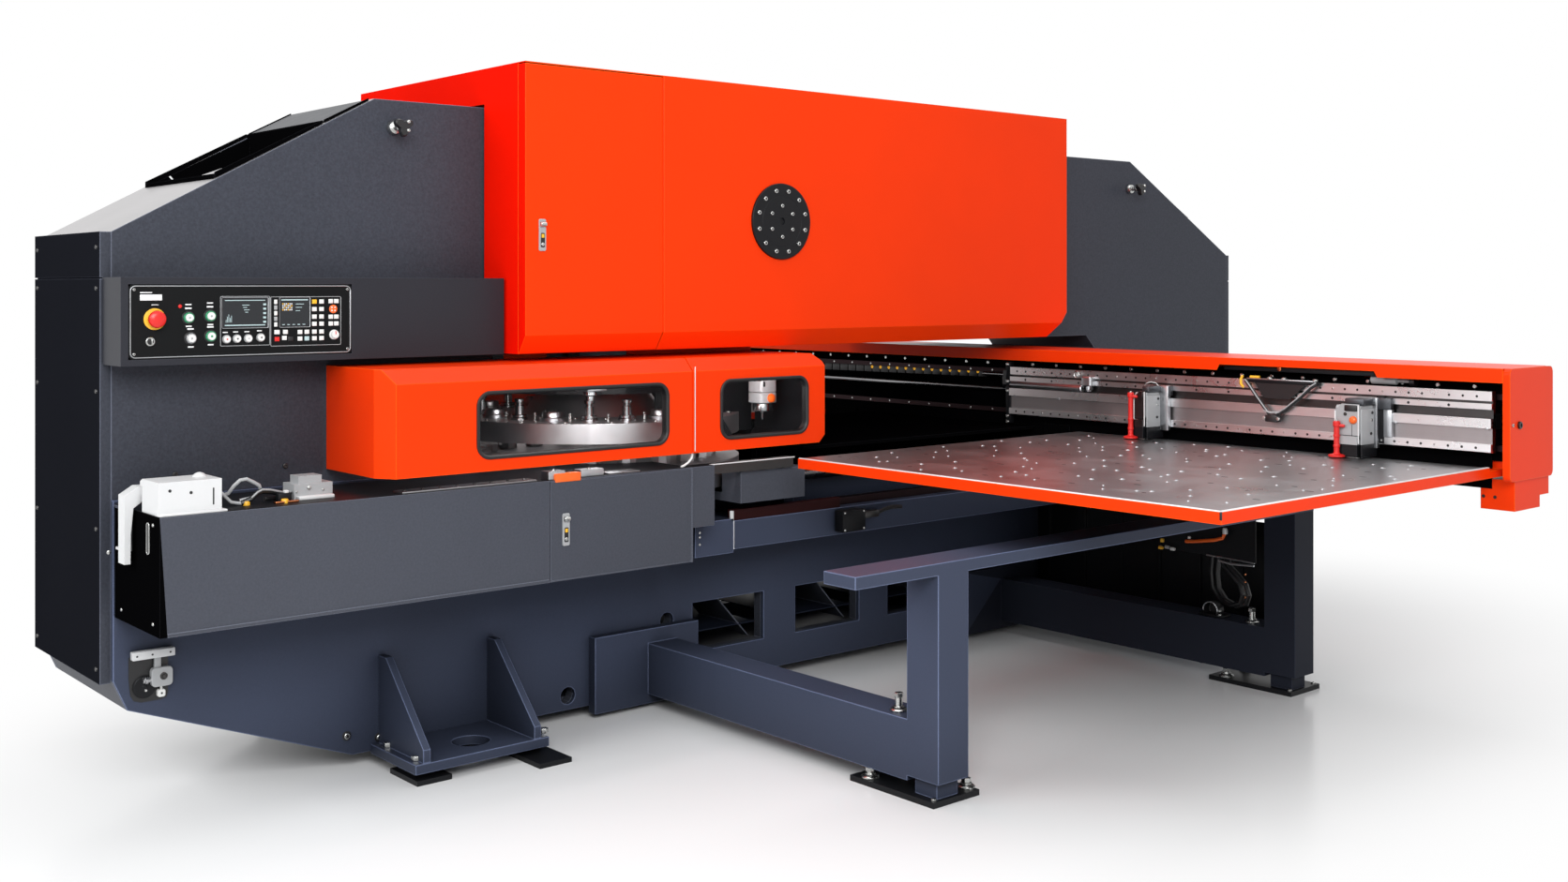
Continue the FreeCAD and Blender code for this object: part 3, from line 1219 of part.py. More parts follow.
def clamp(number, x):
    """One work clamp on the carriage bar, and its upper jaw."""
    left, right = f"{x} - clamp_half", f"{x} + clamp_half"
    body = plate(f"clamp_body_{number}", "YZ",
                 [("clamp_near + 40", "clamp_low"), ("carriage_near - run_gap", "clamp_low"),
                  ("carriage_near - run_gap", "clamp_top"), ("clamp_near + 60", "clamp_top"),
                  ("clamp_near + 24", "clamp_top - 10"), ("clamp_near", "clamp_top - 40"),
                  ("clamp_near", "clamp_low + 56"), ("clamp_near + 40", "clamp_low + 30")],
                 left, right)
    foot = block(f"clamp_foot_{number}", left, right, "clamp_near + 62", "carriage_near - run_gap",
                 "pass_line + 1", "clamp_low")
    lower_jaw = block(f"clamp_lower_jaw_{number}", left, right, "clamp_near - 6", "clamp_near + 62",
                      "pass_line + 1", "pass_line + jaw_thick")
    finger_z = "clamp_low + finger_high"
    finger = prism(f"clamp_finger_{number}", "Z", f"{left} - 12", "clamp_near - finger_out", "9",
                   "pass_line + 12", finger_z)
    finger_foot = block(f"clamp_finger_foot_{number}", f"{left} - 40", f"{left} + 2",
                        "clamp_near - finger_out - 14", "clamp_near - finger_out + 10",
                        "pass_line + 4", "pass_line + 12")
    finger_arm = block(f"clamp_finger_arm_{number}", f"{left} - 22", f"{left} + 10",
                       "clamp_near - finger_out - 9", "clamp_near + 5", f"{finger_z} - 16", finger_z)
    sides = (("left", left, f"{left} + cheek"), ("right", f"{right} - cheek", right))
    cheeks = [block(f"clamp_cheek_{side}_{number}", start, end, "clamp_near + 40", "clamp_near + 64",
                    "pass_line + 10", "clamp_low") for side, start, end in sides]
    pin = prism(f"jaw_pin_{number}", "X", "clamp_near + 52", "clamp_low - 12", "jaw_pin", left, right)
    button = prism(f"clamp_button_{number}", "Y", f"{x} + 14", "clamp_low + 74", "11", "clamp_near - 10",
                   "clamp_near")
    side_plate = block(f"clamp_side_{number}", right, f"{right} + 12", "clamp_near + 70",
                       "carriage_near - run_gap", "clamp_low + 34", "clamp_top + 8")
    node(f"clamp_{number}", join(f"clamp_{number}", body, foot, lower_jaw, finger, finger_foot,
                                 finger_arm, button, side_plate, *cheeks, pin))
    under = "pass_line + jaw_thick + jaw_gap"
    jaw = plate(f"jaw_plate_{number}", "YZ",
                [("clamp_near - 6", under), ("clamp_near + 55", under),
                 ("clamp_near + 55", "clamp_low - 3"), ("clamp_near + 34", "clamp_low - 3"),
                 ("clamp_near + 34", "clamp_low + 22"), ("clamp_near - 2", "clamp_low + 44"),
                 ("clamp_near - 6", "clamp_low + 44")],
                f"{left} + cheek + run_gap", f"{right} - cheek - run_gap")
    bore = prism(f"jaw_bore_{number}", "X", "clamp_near + 52", "clamp_low - 12", "jaw_pin*flat_room*1.07",
                 left, right)
    node(f"jaw_{number}", cut(f"jaw_{number}", jaw, bore))


# ------------------------------------------------------------------ stands, brackets, devices

def table_stand():
    """Welded stand under one table: two arms, two legs, feet, and the bar the table rolls on."""
    pieces = []
    for name, start, end in (("near", "-stand_near", "-stand_near + leg"),
                             ("far", "stand_far", "stand_far + leg")):
        pieces.append(block(f"stand_arm_{name}", "base_half + stand_flange", "bar_out - leg", start, end,
                            "arm_low", "arm_top"))
        pieces.append(block(f"stand_leg_{name}", "bar_out - leg", "bar_out", start, end, "leg_low",
                            "bar_low"))
        pieces.append(block(f"stand_pad_{name}", "foot_in", "bar_out - 10", f"{start} - 10", f"{end} + 60",
                            "0", "foot_top"))
        pieces.append(block(f"stand_post_{name}", "bar_out - leg + 15", "bar_out - 25", f"{start} + 20",
                            f"{end} - 20", "foot_top", "leg_low"))
        pieces.append(block(f"stand_flange_{name}", "base_half", "base_half + stand_flange",
                            f"{start} - 232", f"{end} + 100", "20", "292"))
    pieces.append(block("support_bar", "bar_in", "bar_out", "-bar_near", "bar_far", "bar_low", "bar_top"))
    return join("stand_right", *pieces)


def table_stands():
    """The two stands, one on each side."""
    right = table_stand()
    node("table_stands", group("table_stands", right, mirror("stand_left", right)))


def levelling_bolts():
    """Bolts with nuts through the stands' feet."""
    bolts = []
    for k, y in enumerate(("-stand_near + leg + 30", "-stand_near + 20", "stand_far + leg + 30",
                           "stand_far + 20")):
        bolt = stacked(f"bolt_{k}", "Z", "foot_in + 60", y,
                       [("bolt_radius*2", "foot_top", "foot_top + 14"),
                        ("bolt_radius", "foot_top + 14", "foot_top + 37")], 6)
        bolts += [bolt, mirror(f"bolt_{k}_left", bolt)]
    node("levelling_bolts", group("levelling_bolts", *bolts))


def anchor_bracket():
    """Bracket that bolts the base to the floor: holed plate, two gussets and two pads."""
    base = plate("anchor_plate", "XY",
                 [("base_half", "-anchor_y - anchor_half"), ("anchor_out", "-anchor_y - anchor_half"),
                  ("anchor_out", "-anchor_y + anchor_half"), ("base_half", "-anchor_y + anchor_half")],
                 "anchor_low", "anchor_top")
    pieces = [base]
    for name, y in (("near", "-anchor_y - anchor_half + 28"), ("far", "-anchor_y + anchor_half - 53")):
        pieces.append(plate(f"anchor_gusset_{name}", "XZ",
                            [("base_half", "anchor_top"), ("anchor_out - 4", "anchor_top"),
                             ("anchor_out - 4", "anchor_top + 40"), ("base_half + 50", "gusset_top"),
                             ("base_half", "gusset_top")], y, f"({y}) + gusset"))
    for name, y, reach in (("near", "-anchor_y - anchor_half + 8", "0"),
                           ("far", "-anchor_y + anchor_half - 90", "95")):
        pieces.append(block(f"anchor_pad_{name}", "base_half + 120", f"anchor_out - 5 + {reach}", y,
                            f"({y}) + 120", "0", "16"))
        pieces.append(block(f"anchor_shoe_{name}", "base_half + 140", "anchor_out - 60", f"({y}) + 20",
                            f"({y}) + 100", "16", "anchor_low"))
    hole = rod("anchor_hole_cut", "Z", "anchor_hole_x", "-anchor_y + 23", "anchor_hole",
               "anchor_low - 5", "anchor_top + 5")
    return cut("anchor_bracket", join("anchor_whole", *pieces), hole)


def anchor_brackets():
    """Four brackets, one near each corner of the base."""
    right = anchor_bracket()
    left = mirror("anchor_bracket_left", right)
    node("anchor_brackets", group("anchor_brackets", right, left,
                                  mirror("anchor_far_right", right, (0, 1, 0)),
                                  mirror("anchor_far_left", left, (0, 1, 0))))


def air_unit():
    """White unit on the side box with its hooked arm over the end."""
    near, top = "(-box_near)", "box_top"
    case = block("air_case", "box_out - 153", "box_out - 23", f"{near} + 4", f"{near} + 179", top,
                 f"{top} + 92")
    link = block("air_link", "box_out - 193", "box_out - 153", f"{near} + 19", f"{near} + 79",
                 f"{top} + 40", f"{top} + 70")
    arm = plate("arm_top_run", "YZ",
                [(f"{near} + 79", f"{top} + 66"), (f"{near} + 7", f"{top} + 66"),
                 (f"{near} - arm_out", f"{top} + 42"), (f"{near} - arm_out", f"{top} - arm_drop"),
                 (f"{near} - arm_out + 17", f"{top} - arm_drop"), (f"{near} - arm_out + 18", f"{top} - 66"),
                 (f"{near} - 6", f"{top} + 6"), (f"{near} + 19", f"{top} + 24"),
                 (f"{near} + 79", f"{top} + 24")],
                "box_out - 243", "box_out - 193")
    node("air_unit", join("air_unit", case, link, arm))


def valve_block():
    """Small grey block on the side box."""
    near = "(-box_near + 429)"
    low = block("valve_low", "box_out - 193", "box_out - 113", near, f"{near} + 120", "box_top",
                "box_top + 44")
    high = block("valve_high", "box_out - 183", "box_out - 123", f"{near} + 18", f"{near} + 90",
                 "box_top + 44", "box_top + 66")
    node("valve_block", join("valve_block", low, high))


bridge_frame()
base_plates()
rail_beams()
end_covers()
y_rails()
lifting_studs()
head_cover()
disc_cover()
turret_covers()
side_boxes()
latch("head_latch", "head_half", "-1538", "1662")
latch("side_latch", "box_out", "-1519", "700")
control_box()
turrets()
press_drive()
punch_lift_ring()
punch_sensor()
centre_table()
cross_beam()
beam_cover()
beam_end_caps()
screws()
side_tables()
x_carriage()
clamp(1, "clamp_1_x")
clamp(2, "clamp_2_x")
table_stands()
levelling_bolts()
anchor_brackets()
air_unit()
valve_block()

doc.recompute()
for item in doc.Objects:
    if "Invalid" in item.State or "Error" in item.State:
        raise RuntimeError(f"{item.Label} did not build: {item.State}")
for name, item in nodes.items():
    if item.Shape.isNull() or not item.Shape.isValid() or not item.Shape.Solids:
        raise RuntimeError(f"{name} is not a valid solid")
os.makedirs("parts", exist_ok=True)
for name, item in nodes.items():
    item.Shape.exportStep(f"parts/{name}.step")
print(len(nodes), "sub-parts written")
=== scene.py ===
"""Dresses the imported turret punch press: finishes, trim and small parts over the CAD solids.

Sizes in the classes are in millimetres in the machine's own frame: X towards the table, Y along the frame,
Z up from the floor. They become metres where a mesh is written.
"""

import logging
import math
from dataclasses import dataclass
from enum import Enum
from typing import Any, Iterable, Sequence

import bmesh
import bpy
from mathutils import Matrix, Vector


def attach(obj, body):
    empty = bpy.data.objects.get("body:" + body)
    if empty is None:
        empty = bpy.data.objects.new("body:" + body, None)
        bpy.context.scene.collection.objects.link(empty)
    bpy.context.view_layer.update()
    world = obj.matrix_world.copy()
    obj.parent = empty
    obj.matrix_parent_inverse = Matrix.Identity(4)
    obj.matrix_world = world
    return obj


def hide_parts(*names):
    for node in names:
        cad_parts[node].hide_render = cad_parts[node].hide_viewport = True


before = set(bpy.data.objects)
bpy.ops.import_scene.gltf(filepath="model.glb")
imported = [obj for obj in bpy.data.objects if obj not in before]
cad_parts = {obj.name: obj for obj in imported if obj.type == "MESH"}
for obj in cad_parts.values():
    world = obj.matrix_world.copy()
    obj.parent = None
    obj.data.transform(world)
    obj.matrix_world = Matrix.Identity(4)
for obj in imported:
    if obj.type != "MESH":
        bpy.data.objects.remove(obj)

LOG = logging.getLogger("turret_press")
MM = 0.001
SHARP_ANGLE = math.radians(28)  # faces that meet at more than this stay sharp
RAY_SAMPLES = 6  # for rounded edges and for the painted shade in hollows
EDGE_STARTS, EDGE_FULL = 0.995, 0.86  # how alike the plain and the rounded normal are, off an edge and on it
COAT_RELIEF = 0.4 * MM  # height of each kind of grain
MARK_RELIEF = 0.1 * MM
MOULD_RELIEF = 0.2 * MM
FAR = 9000  # beyond every face, in millimetres

Point = tuple[float, float, float]
Flat = tuple[float, float]
Tree = bpy.types.NodeTree
Socket = bpy.types.NodeSocket


class Axis(Enum):
    """A main direction of the machine."""

    X = 0
    Y = 1
    Z = 2


X, Y, Z = Axis


class Lay(Enum):
    """The way in which a metal's tool marks run."""

    ALONG_X = (0.03, 1.0, 1.0)
    ALONG_Y = (1.0, 0.03, 1.0)
    EVEN = (1.0, 1.0, 1.0)


# ---------------------------------------------------------------- node helpers


def linear(hex_code: str) -> tuple[float, float, float, float]:
    """Turn an sRGB hex colour into linear values.

    Args:
        hex_code: Six hex digits, such as "ff4a18".

    Returns:
        Red, green, blue and an alpha of 1.
    """
    parts = [int(hex_code[i : i + 2], 16) / 255 for i in (0, 2, 4)]
    red, green, blue = (c / 12.92 if c <= 0.04045 else ((c + 0.055) / 1.055) ** 2.4 for c in parts)
    return (red, green, blue, 1.0)


def scaled(hex_code: str, factor: float) -> tuple[float, float, float, float]:
    """Give a linear colour that is lighter or darker by a factor, kept under white.

    Args:
        hex_code: The sRGB colour to start from.
        factor: Above 1 is lighter, under 1 is darker.

    Returns:
        The linear colour.
    """
    red, green, blue, alpha = linear(hex_code)
    return (min(red * factor, 1.0), min(green * factor, 1.0), min(blue * factor, 1.0), alpha)


def add_node(
    tree: Tree, kind: str, settings: dict[str, Any] | None = None,
    links: dict[str | int, Socket] | None = None,
) -> bpy.types.Node:
    """Add a node with its settings and links.

    Args:
        tree: The node tree that takes the node.
        kind: The shader node's type, such as "TexNoise".
        settings: Property names, or input names, with the values to give them.
        links: Input names or numbers with the sockets that feed them.

    Returns:
        The new node.
    """
    node = tree.nodes.new(f"ShaderNode{kind}")
    for key, value in (settings or {}).items():
        if hasattr(node, key):
            setattr(node, key, value)
        else:
            node.inputs[int(key) if key.isdigit() else key].default_value = value
    for key, source in (links or {}).items():
        tree.links.new(source, node.inputs[key])
    return node


def place_nodes(tree: Tree, grain_mm: float, lay: Lay = Lay.EVEN) -> Socket:
    """Add the coordinates of a pattern whose grain has a real size.

    Args:
        tree: The material's node tree.
        grain_mm: The width of one grain, in millimetres.
        lay: The direction in which the grain is drawn out.

    Returns:
        The socket that holds the scaled place on the object.
    """
    where = add_node(tree, "TexCoord")
    scale = [factor / (grain_mm * MM) for factor in lay.value]
    stretched = add_node(tree, "Mapping", {"Scale": scale}, {"Vector": where.outputs["Object"]})
    return stretched.outputs["Vector"]


def noise_nodes(tree: Tree, grain_mm: float, detail: float, lay: Lay = Lay.EVEN, **more: float) -> Socket:
    """Add a noise pattern whose grain has a real size.

    Args:
        tree: The material's node tree.
        grain_mm: The width of one grain, in millimetres.
        detail: How many finer layers it has.
        lay: The direction in which the grain is drawn out.
        more: Other inputs of the noise.

    Returns:
        The socket that holds the pattern, from 0 to 1.
    """
    where = {"Vector": place_nodes(tree, grain_mm, lay)}
    return add_node(tree, "TexNoise", {"Scale": 1.0, "Detail": detail, **more}, where).outputs["Fac"]


def range_nodes(tree: Tree, source: Socket, to: Flat, start: Flat = (0.0, 1.0), **more: str) -> Socket:
    """Bring values from one range to another.

    Args:
        tree: The node tree.
        source: The socket that holds the values.
        to: The range that they get.
        start: The range that they have.
        more: Other settings of the node.

    Returns:
        The socket that holds the new values.
    """
    ends = {"From Min": start[0], "From Max": start[1], "To Min": to[0], "To Max": to[1]}
    return add_node(tree, "MapRange", {**ends, **more}, {"Value": source}).outputs["Result"]


def shade_nodes(tree: Tree, hex_code: str, share: float, pattern: Socket) -> Socket:
    """Vary a colour's lightness by a pattern.

    Args:
        tree: The material's node tree.
        hex_code: The sRGB colour.
        share: How much darker and lighter it gets.
        pattern: The socket that holds the pattern.

    Returns:
        The socket that holds the colour.
    """
    shades = {"6": scaled(hex_code, 1 - share), "7": scaled(hex_code, 1 + share)}
    return add_node(tree, "Mix", {"data_type": "RGBA", **shades}, {0: pattern}).outputs[2]


def blend_nodes(tree: Tree, way: str, share: float, under: Socket, over: Socket) -> Socket:
    """Blend one colour over another.

    Args:
        tree: The material's node tree.
        way: The way to blend, such as "MULTIPLY".
        share: How much of the blend shows.
        under: The colour below.
        over: The colour over it.

    Returns:
        The socket that holds the result.
    """
    settings = {"data_type": "RGBA", "blend_type": way, "0": share}
    return add_node(tree, "Mix", settings, {6: under, 7: over}).outputs[2]


def bump_nodes(tree: Tree, depth: float, relief: float, height: Socket, normal: Socket) -> Socket:
    """Raise a pattern over a surface.

    Args:
        tree: The material's node tree.
        depth: How much of the relief shows.
        relief: Its full height, in metres.
        height: The pattern.
        normal: The normal of the surface below.

    Returns:
        The socket that holds the new normal.
    """
    links = {"Height": height, "Normal": normal}
    return add_node(tree, "Bump", {"Strength": depth, "Distance": relief}, links).outputs["Normal"]


def feed(tree: Tree, shader: bpy.types.Node, inputs: dict[str, Any]) -> None:
    """Give a shader what its inputs take.

    Args:
        tree: The material's node tree.
        shader: The shader.
        inputs: Input names with a socket or a plain value each.
    """
    for name, source in inputs.items():
        if isinstance(source, Socket):
            tree.links.new(source, shader.inputs[name])
        else:
            shader.inputs[name].default_value = source


def edge_nodes(tree: Tree, radius_mm: float) -> tuple[Socket, Socket]:
    """Add a rounded normal for the edges, and a mask of where an edge is.

    Args:
        tree: The material's node tree.
        radius_mm: The radius to which the edges are broken.

    Returns:
        The rounded normal, and the mask from 0 on a face to 1 on an edge.
    """
    bevel = add_node(tree, "Bevel", {"samples": RAY_SAMPLES, "Radius": radius_mm * MM})
    face = add_node(tree, "NewGeometry")
    both = {0: bevel.outputs["Normal"], 1: face.outputs["Normal"]}
    dot = add_node(tree, "VectorMath", {"operation": "DOT_PRODUCT"}, both)
    mask = range_nodes(tree, dot.outputs["Value"], (0.0, 1.0), (EDGE_STARTS, EDGE_FULL))
    return bevel.outputs["Normal"], mask


def new_material(name: str) -> tuple[bpy.types.Material, Tree, bpy.types.Node]:
    """Make a material with only its shader and output.

    Args:
        name: The material's name.

    Returns:
        The material, its node tree and its Principled shader.
    """
    material = bpy.data.materials.new(name)
    material.use_nodes = True
    tree = material.node_tree
    tree.nodes.clear()
    shader = add_node(tree, "BsdfPrincipled")
    add_node(tree, "OutputMaterial", links={"Surface": shader.outputs["BSDF"]})
    return material, tree, shader


# ---------------------------------------------------------------- finishes


@dataclass(frozen=True)
class Finish:
    """A finish: what the surface is made of, and how it was made."""

    name: str
    colour: str
    roughness: float

    def material(self) -> bpy.types.Material:
        """Return this finish's material, made the first time that it is asked for."""
        return bpy.data.materials.get(self.name) or self.build()

    def build(self) -> bpy.types.Material:
        """Build the material; each kind of finish has its own way."""
        raise NotImplementedError(self.name)


@dataclass(frozen=True)
class PowderCoat(Finish):
    """Powder-coated steel plate: an even colour with a fine orange-peel grain, edges drawn lighter as a
    painted highlight and, where asked, corners and hollows drawn darker as painted shade.
    """

    grain_mm: float = 5.0  # the real grain is 0.5 mm, too fine to show from five metres
    grain_depth: float = 0.12
    speckle: float = 0.10
    edge_mm: float = 3.0
    # how much lighter the edges are drawn: a painted highlight where edges catch the light
    edge_highlight: float = 1.8
    coat: float = 0.0
    specular: float = 0.5
    corner_shade: float = 0.0  # how far corners and hollows are darkened: painted shade
    corner_shade_reach: float = 0.45  # how near, in metres, a neighbour has to be
    corner_shade_range: Flat = (0.1, 0.8)  # the share of open sky at which the painted shade is whole, and none
    broad_mm: float = 420.0  # the unevenness of a sprayed plate
    unevenness: float = 0.12
    coat_roughness: float = 0.12
    gloss_spread: float = 0.05

    def build(self) -> bpy.types.Material:
        """Mix the grain, a broad unevenness, lighter edges as a painted highlight and darker corners as
        painted shade.

        Returns:
            The material.
        """
        material, tree, shader = new_material(self.name)
        grain = noise_nodes(tree, self.grain_mm, 3.0, Roughness=0.6)
        broad = noise_nodes(tree, self.broad_mm, 2.0)
        grains = shade_nodes(tree, self.colour, self.speckle, grain)
        uneven = blend_nodes(tree, "MULTIPLY", self.unevenness, grains, broad)
        normal, mask = edge_nodes(tree, self.edge_mm)
        # the edges are drawn lighter: painted highlight
        highlight = {"data_type": "RGBA", "7": scaled(self.colour, self.edge_highlight)}
        colour = add_node(tree, "Mix", highlight, {0: mask, 6: uneven}).outputs[2]
        # ambient occlusion darkens corners, hollows and what lies under things: painted shade
        if self.corner_shade:
            rays = {"samples": RAY_SAMPLES, "Distance": self.corner_shade_reach}
            hollow = add_node(tree, "AmbientOcclusion", rays).outputs["AO"]
            unshaded = range_nodes(tree, hollow, (1 - self.corner_shade, 1.0), self.corner_shade_range)
            colour = blend_nodes(tree, "MULTIPLY", 1.0, colour, unshaded)
        bump = bump_nodes(tree, self.grain_depth, COAT_RELIEF, grain, normal)
        low, high = self.roughness - self.gloss_spread, self.roughness + self.gloss_spread
        gloss = range_nodes(tree, broad, (low, high))
        feed(tree, shader, {
            "Base Color": colour, "Roughness": gloss, "Normal": bump, "Coat Weight": self.coat,
            "Coat Roughness": self.coat_roughness, "Specular IOR Level": self.specular,
        })
        return material


@dataclass(frozen=True)
class Metal(Finish):
    """Bare metal: ground, turned or plated, with tool marks, faint stains and small scratches."""

    grain_mm: float = 6.0  # grinding marks are finer than 0.1 mm; drawn coarse enough to show
    lay: Lay = Lay.EVEN
    marks: float = 0.15
    stain_mm: float = 160.0
    stain: float = 0.15
    edge_mm: float = 0.8
    least_roughness: float = 0.03
    gloss_spread: Flat = (0.10, 0.12)

    def build(self) -> bpy.types.Material:
        """Mix the tool marks and the stains into colour, roughness and height.

        Returns:
            The material.
        """
        material, tree, shader = new_material(self.name)
        marks = noise_nodes(tree, self.grain_mm, 4.0, self.lay, Roughness=0.65)
        stains = noise_nodes(tree, self.stain_mm, 5.0, Roughness=0.6, Distortion=0.6)
        tint = shade_nodes(tree, self.colour, self.stain, stains)
        streaks = blend_nodes(tree, "OVERLAY", self.marks, tint, marks)
        less, more = self.gloss_spread
        low = max(self.roughness - less, self.least_roughness)
        gloss = range_nodes(tree, stains, (low, self.roughness + more))
        normal, _ = edge_nodes(tree, self.edge_mm)
        bump = bump_nodes(tree, self.marks, MARK_RELIEF, marks, normal)
        feed(tree, shader, {"Base Color": streaks, "Roughness": gloss, "Normal": bump, "Metallic": 1.0})
        return material


@dataclass(frozen=True)
class Moulded(Finish):
    """Moulded plastic or rubber: a fine spark-eroded grain and soft edges."""

    grain_mm: float = 1.5
    grain_depth: float = 0.06
    speckle: float = 0.08
    edge_mm: float = 0.8
    glow: float = 0.0

    def build(self) -> bpy.types.Material:
        """Mix the mould's grain into colour and height.

        Returns:
            The material.
        """
        material, tree, shader = new_material(self.name)
        grain = noise_nodes(tree, self.grain_mm, 2.0)
        tint = shade_nodes(tree, self.colour, self.speckle, grain)
        normal, _ = edge_nodes(tree, self.edge_mm)
        bump = bump_nodes(tree, self.grain_depth, MOULD_RELIEF, grain, normal)
        feed(tree, shader, {"Base Color": tint, "Normal": bump, "Roughness": self.roughness})
        if self.glow:
            feed(tree, shader, {"Emission Color": linear(self.colour), "Emission Strength": self.glow})
        return material


@dataclass(frozen=True)
class ClearSheet(Finish):
    """Clear polycarbonate sheet: thin, so light passes straight on, with a little smear in its gloss."""

    tint: float = 0.02
    glance: float = 0.5  # how much of it mirrors when seen at a glance
    smear_mm: float = 90.0
    smear: float = 0.06
    index: float = 1.45

    def build(self) -> bpy.types.Material:
        """Mix a see-through sheet with its gloss, stronger at a glance.

        Returns:
            The material.
        """
        material, tree, shader = new_material(self.name)
        smear = noise_nodes(tree, self.smear_mm, 2.0)
        gloss = range_nodes(tree, smear, (self.roughness, self.roughness + self.smear))
        glance = add_node(tree, "Fresnel", {"IOR": self.index}).outputs["Fac"]
        cover = range_nodes(tree, glance, (self.tint, self.glance))
        feed(tree, shader, {"Roughness": gloss, "Alpha": cover, "Base Color": linear(self.colour)})
        return material


# In the coats below, lighter edges are a painted highlight, and darker corners and hollows are painted shade.
# Polyester powder coat on welded plate: dark slate, satin, with a leather grain that shows on the upper frame
SLATE = PowderCoat(
    "powder_coat_slate", "3f424b", 0.42, grain_mm=8.0, grain_depth=0.8, speckle=0.4,
    edge_mm=5.0, edge_highlight=4.0, specular=0.12, corner_shade=0.4,
)
# The same coat on the base, boxes and stands, where it looks bluer
SLATE_BASE = PowderCoat(
    "powder_coat_slate_base", "40475a", 0.42, grain_depth=0.2,
    edge_mm=6.0, edge_highlight=4.0, specular=0.12, corner_shade=0.8,
)
# Slate drawn darker for the guard box beside the table and the sheets in the base's windows, which lie in
# shade: painted shade
SLATE_SHADE = PowderCoat(
    "powder_coat_slate_painted_shade", "161a24", 0.42, grain_depth=0.2, edge_highlight=5.0, specular=0.05
)
# Slate drawn darker for the far ends of the stands, which the lamps reach less: painted shade
SLATE_FAR_SHADE = PowderCoat(
    "powder_coat_slate_far_painted_shade", "272a34", 0.42, grain_depth=0.2, edge_highlight=2.6, specular=0.05
)
SLATE_BOX = PowderCoat(
    "powder_coat_slate_box", "484b54", 0.42, grain_mm=7.0, grain_depth=0.4, speckle=0.2,
    edge_highlight=2.6, specular=0.14,
)
SLATE_DESK = PowderCoat("powder_coat_slate_desk", "2d2e34", 0.42, grain_depth=0.3, speckle=0.2, specular=0.14)
SLATE_DARK = PowderCoat("powder_coat_dark_slate", "191a1f", 0.5, edge_highlight=5.0, specular=0.0)
# Cold-rolled sheet with a clear coat on the sloping tops: pale, and mirrors the sky at a glance
SLOPE_SHEET = Metal(
    "clear_coated_sheet_steel", "bcbabb", 0.34, lay=Lay.ALONG_X, marks=0.06, stain_mm=500.0, stain=0.25
)
# Smoother gloss coat on the folded sheet covers: a warm signal orange
ORANGE = PowderCoat(
    "gloss_coat_orange", "fb3c08", 0.30, grain_depth=0.05, speckle=0.02,
    edge_mm=4.0, edge_highlight=3.0, specular=0.09,
)
# A darker, redder copy of the orange coat for the faces towards the near end, which the light meets at a
# slant: painted shade
ORANGE_SHADED_END = PowderCoat(
    "gloss_coat_orange_painted_shade", "f21503", 0.5, grain_depth=0.05, speckle=0.02,
    edge_mm=3.5, edge_highlight=3.0, specular=0.01,
)
# Black powder coat; also drawn on the tables' undersides, where it is painted shade
BLACK_COAT = PowderCoat(
    "powder_coat_black", "111215", 0.45, speckle=0.06, edge_mm=1.5, edge_highlight=2.4, specular=0.2
)
BLACK_PANEL = PowderCoat(
    "screen_printed_black_panel", "141516", 0.5, grain_mm=2.0, speckle=0.05, edge_mm=0.8, specular=0.08
)
WAY_COVER = PowderCoat("powder_coat_maroon", "2a0c0d", 0.45, speckle=0.05, edge_mm=1.5, specular=0.1)
# Near-black with no gloss, darker than any black paint on the machine, for the cross beam, the centre table,
# the hatches' openings and other places that lie in shade: painted shade, with a strong painted highlight on
# its edges
SHADE_BLACK = PowderCoat(
    "painted_shade_black", "060607", 0.6, speckle=0.05, edge_mm=1.5, edge_highlight=9.0, specular=0.0
)
WHITE_COAT = PowderCoat("powder_coat_white", "d9dadb", 0.38, speckle=0.02, edge_mm=2.0, edge_highlight=1.1)
SILVER_COAT = PowderCoat("silver_grey_enamel", "a6a8aa", 0.35, speckle=0.03, edge_mm=1.2, edge_highlight=1.3)
# Ground steel: bright, with straight marks along the way it was ground
GROUND_X = Metal("ground_steel_along_x", "9a9a9c", 0.28, lay=Lay.ALONG_X)
GROUND_Y = Metal("ground_steel_along_y", "9a9a9c", 0.28, lay=Lay.ALONG_Y)
BAR_STRIP = Metal("ground_bar_steel", "dcdbdc", 0.28, lay=Lay.ALONG_X, marks=0.0, stain=0.05)
BAR_HOLLOW = Metal("milled_bar_hollow", "989394", 0.42, lay=Lay.ALONG_X, marks=0.05)
# Rail steel drawn dark and reddish for the rails in the beam and under the table: painted shade, and a painted
# reflection of the orange covers
SHADED_RAIL_STEEL = Metal("rail_steel_painted_shade", "2e2224", 0.40, lay=Lay.ALONG_X)
TABLE_STEEL = Metal(
    "brushed_table_steel", "a3a4a6", 0.30, grain_mm=9.0, lay=Lay.ALONG_X, stain_mm=240.0, stain=0.22
)
TURNED = Metal("turned_tool_steel", "a3a4a6", 0.22, grain_mm=3.0, marks=0.10, stain_mm=40.0)
TURRET = Metal("turned_turret_rim", "c4c3c5", 0.40, grain_mm=4.0, lay=Lay.ALONG_X, marks=0.12, stain_mm=120.0)
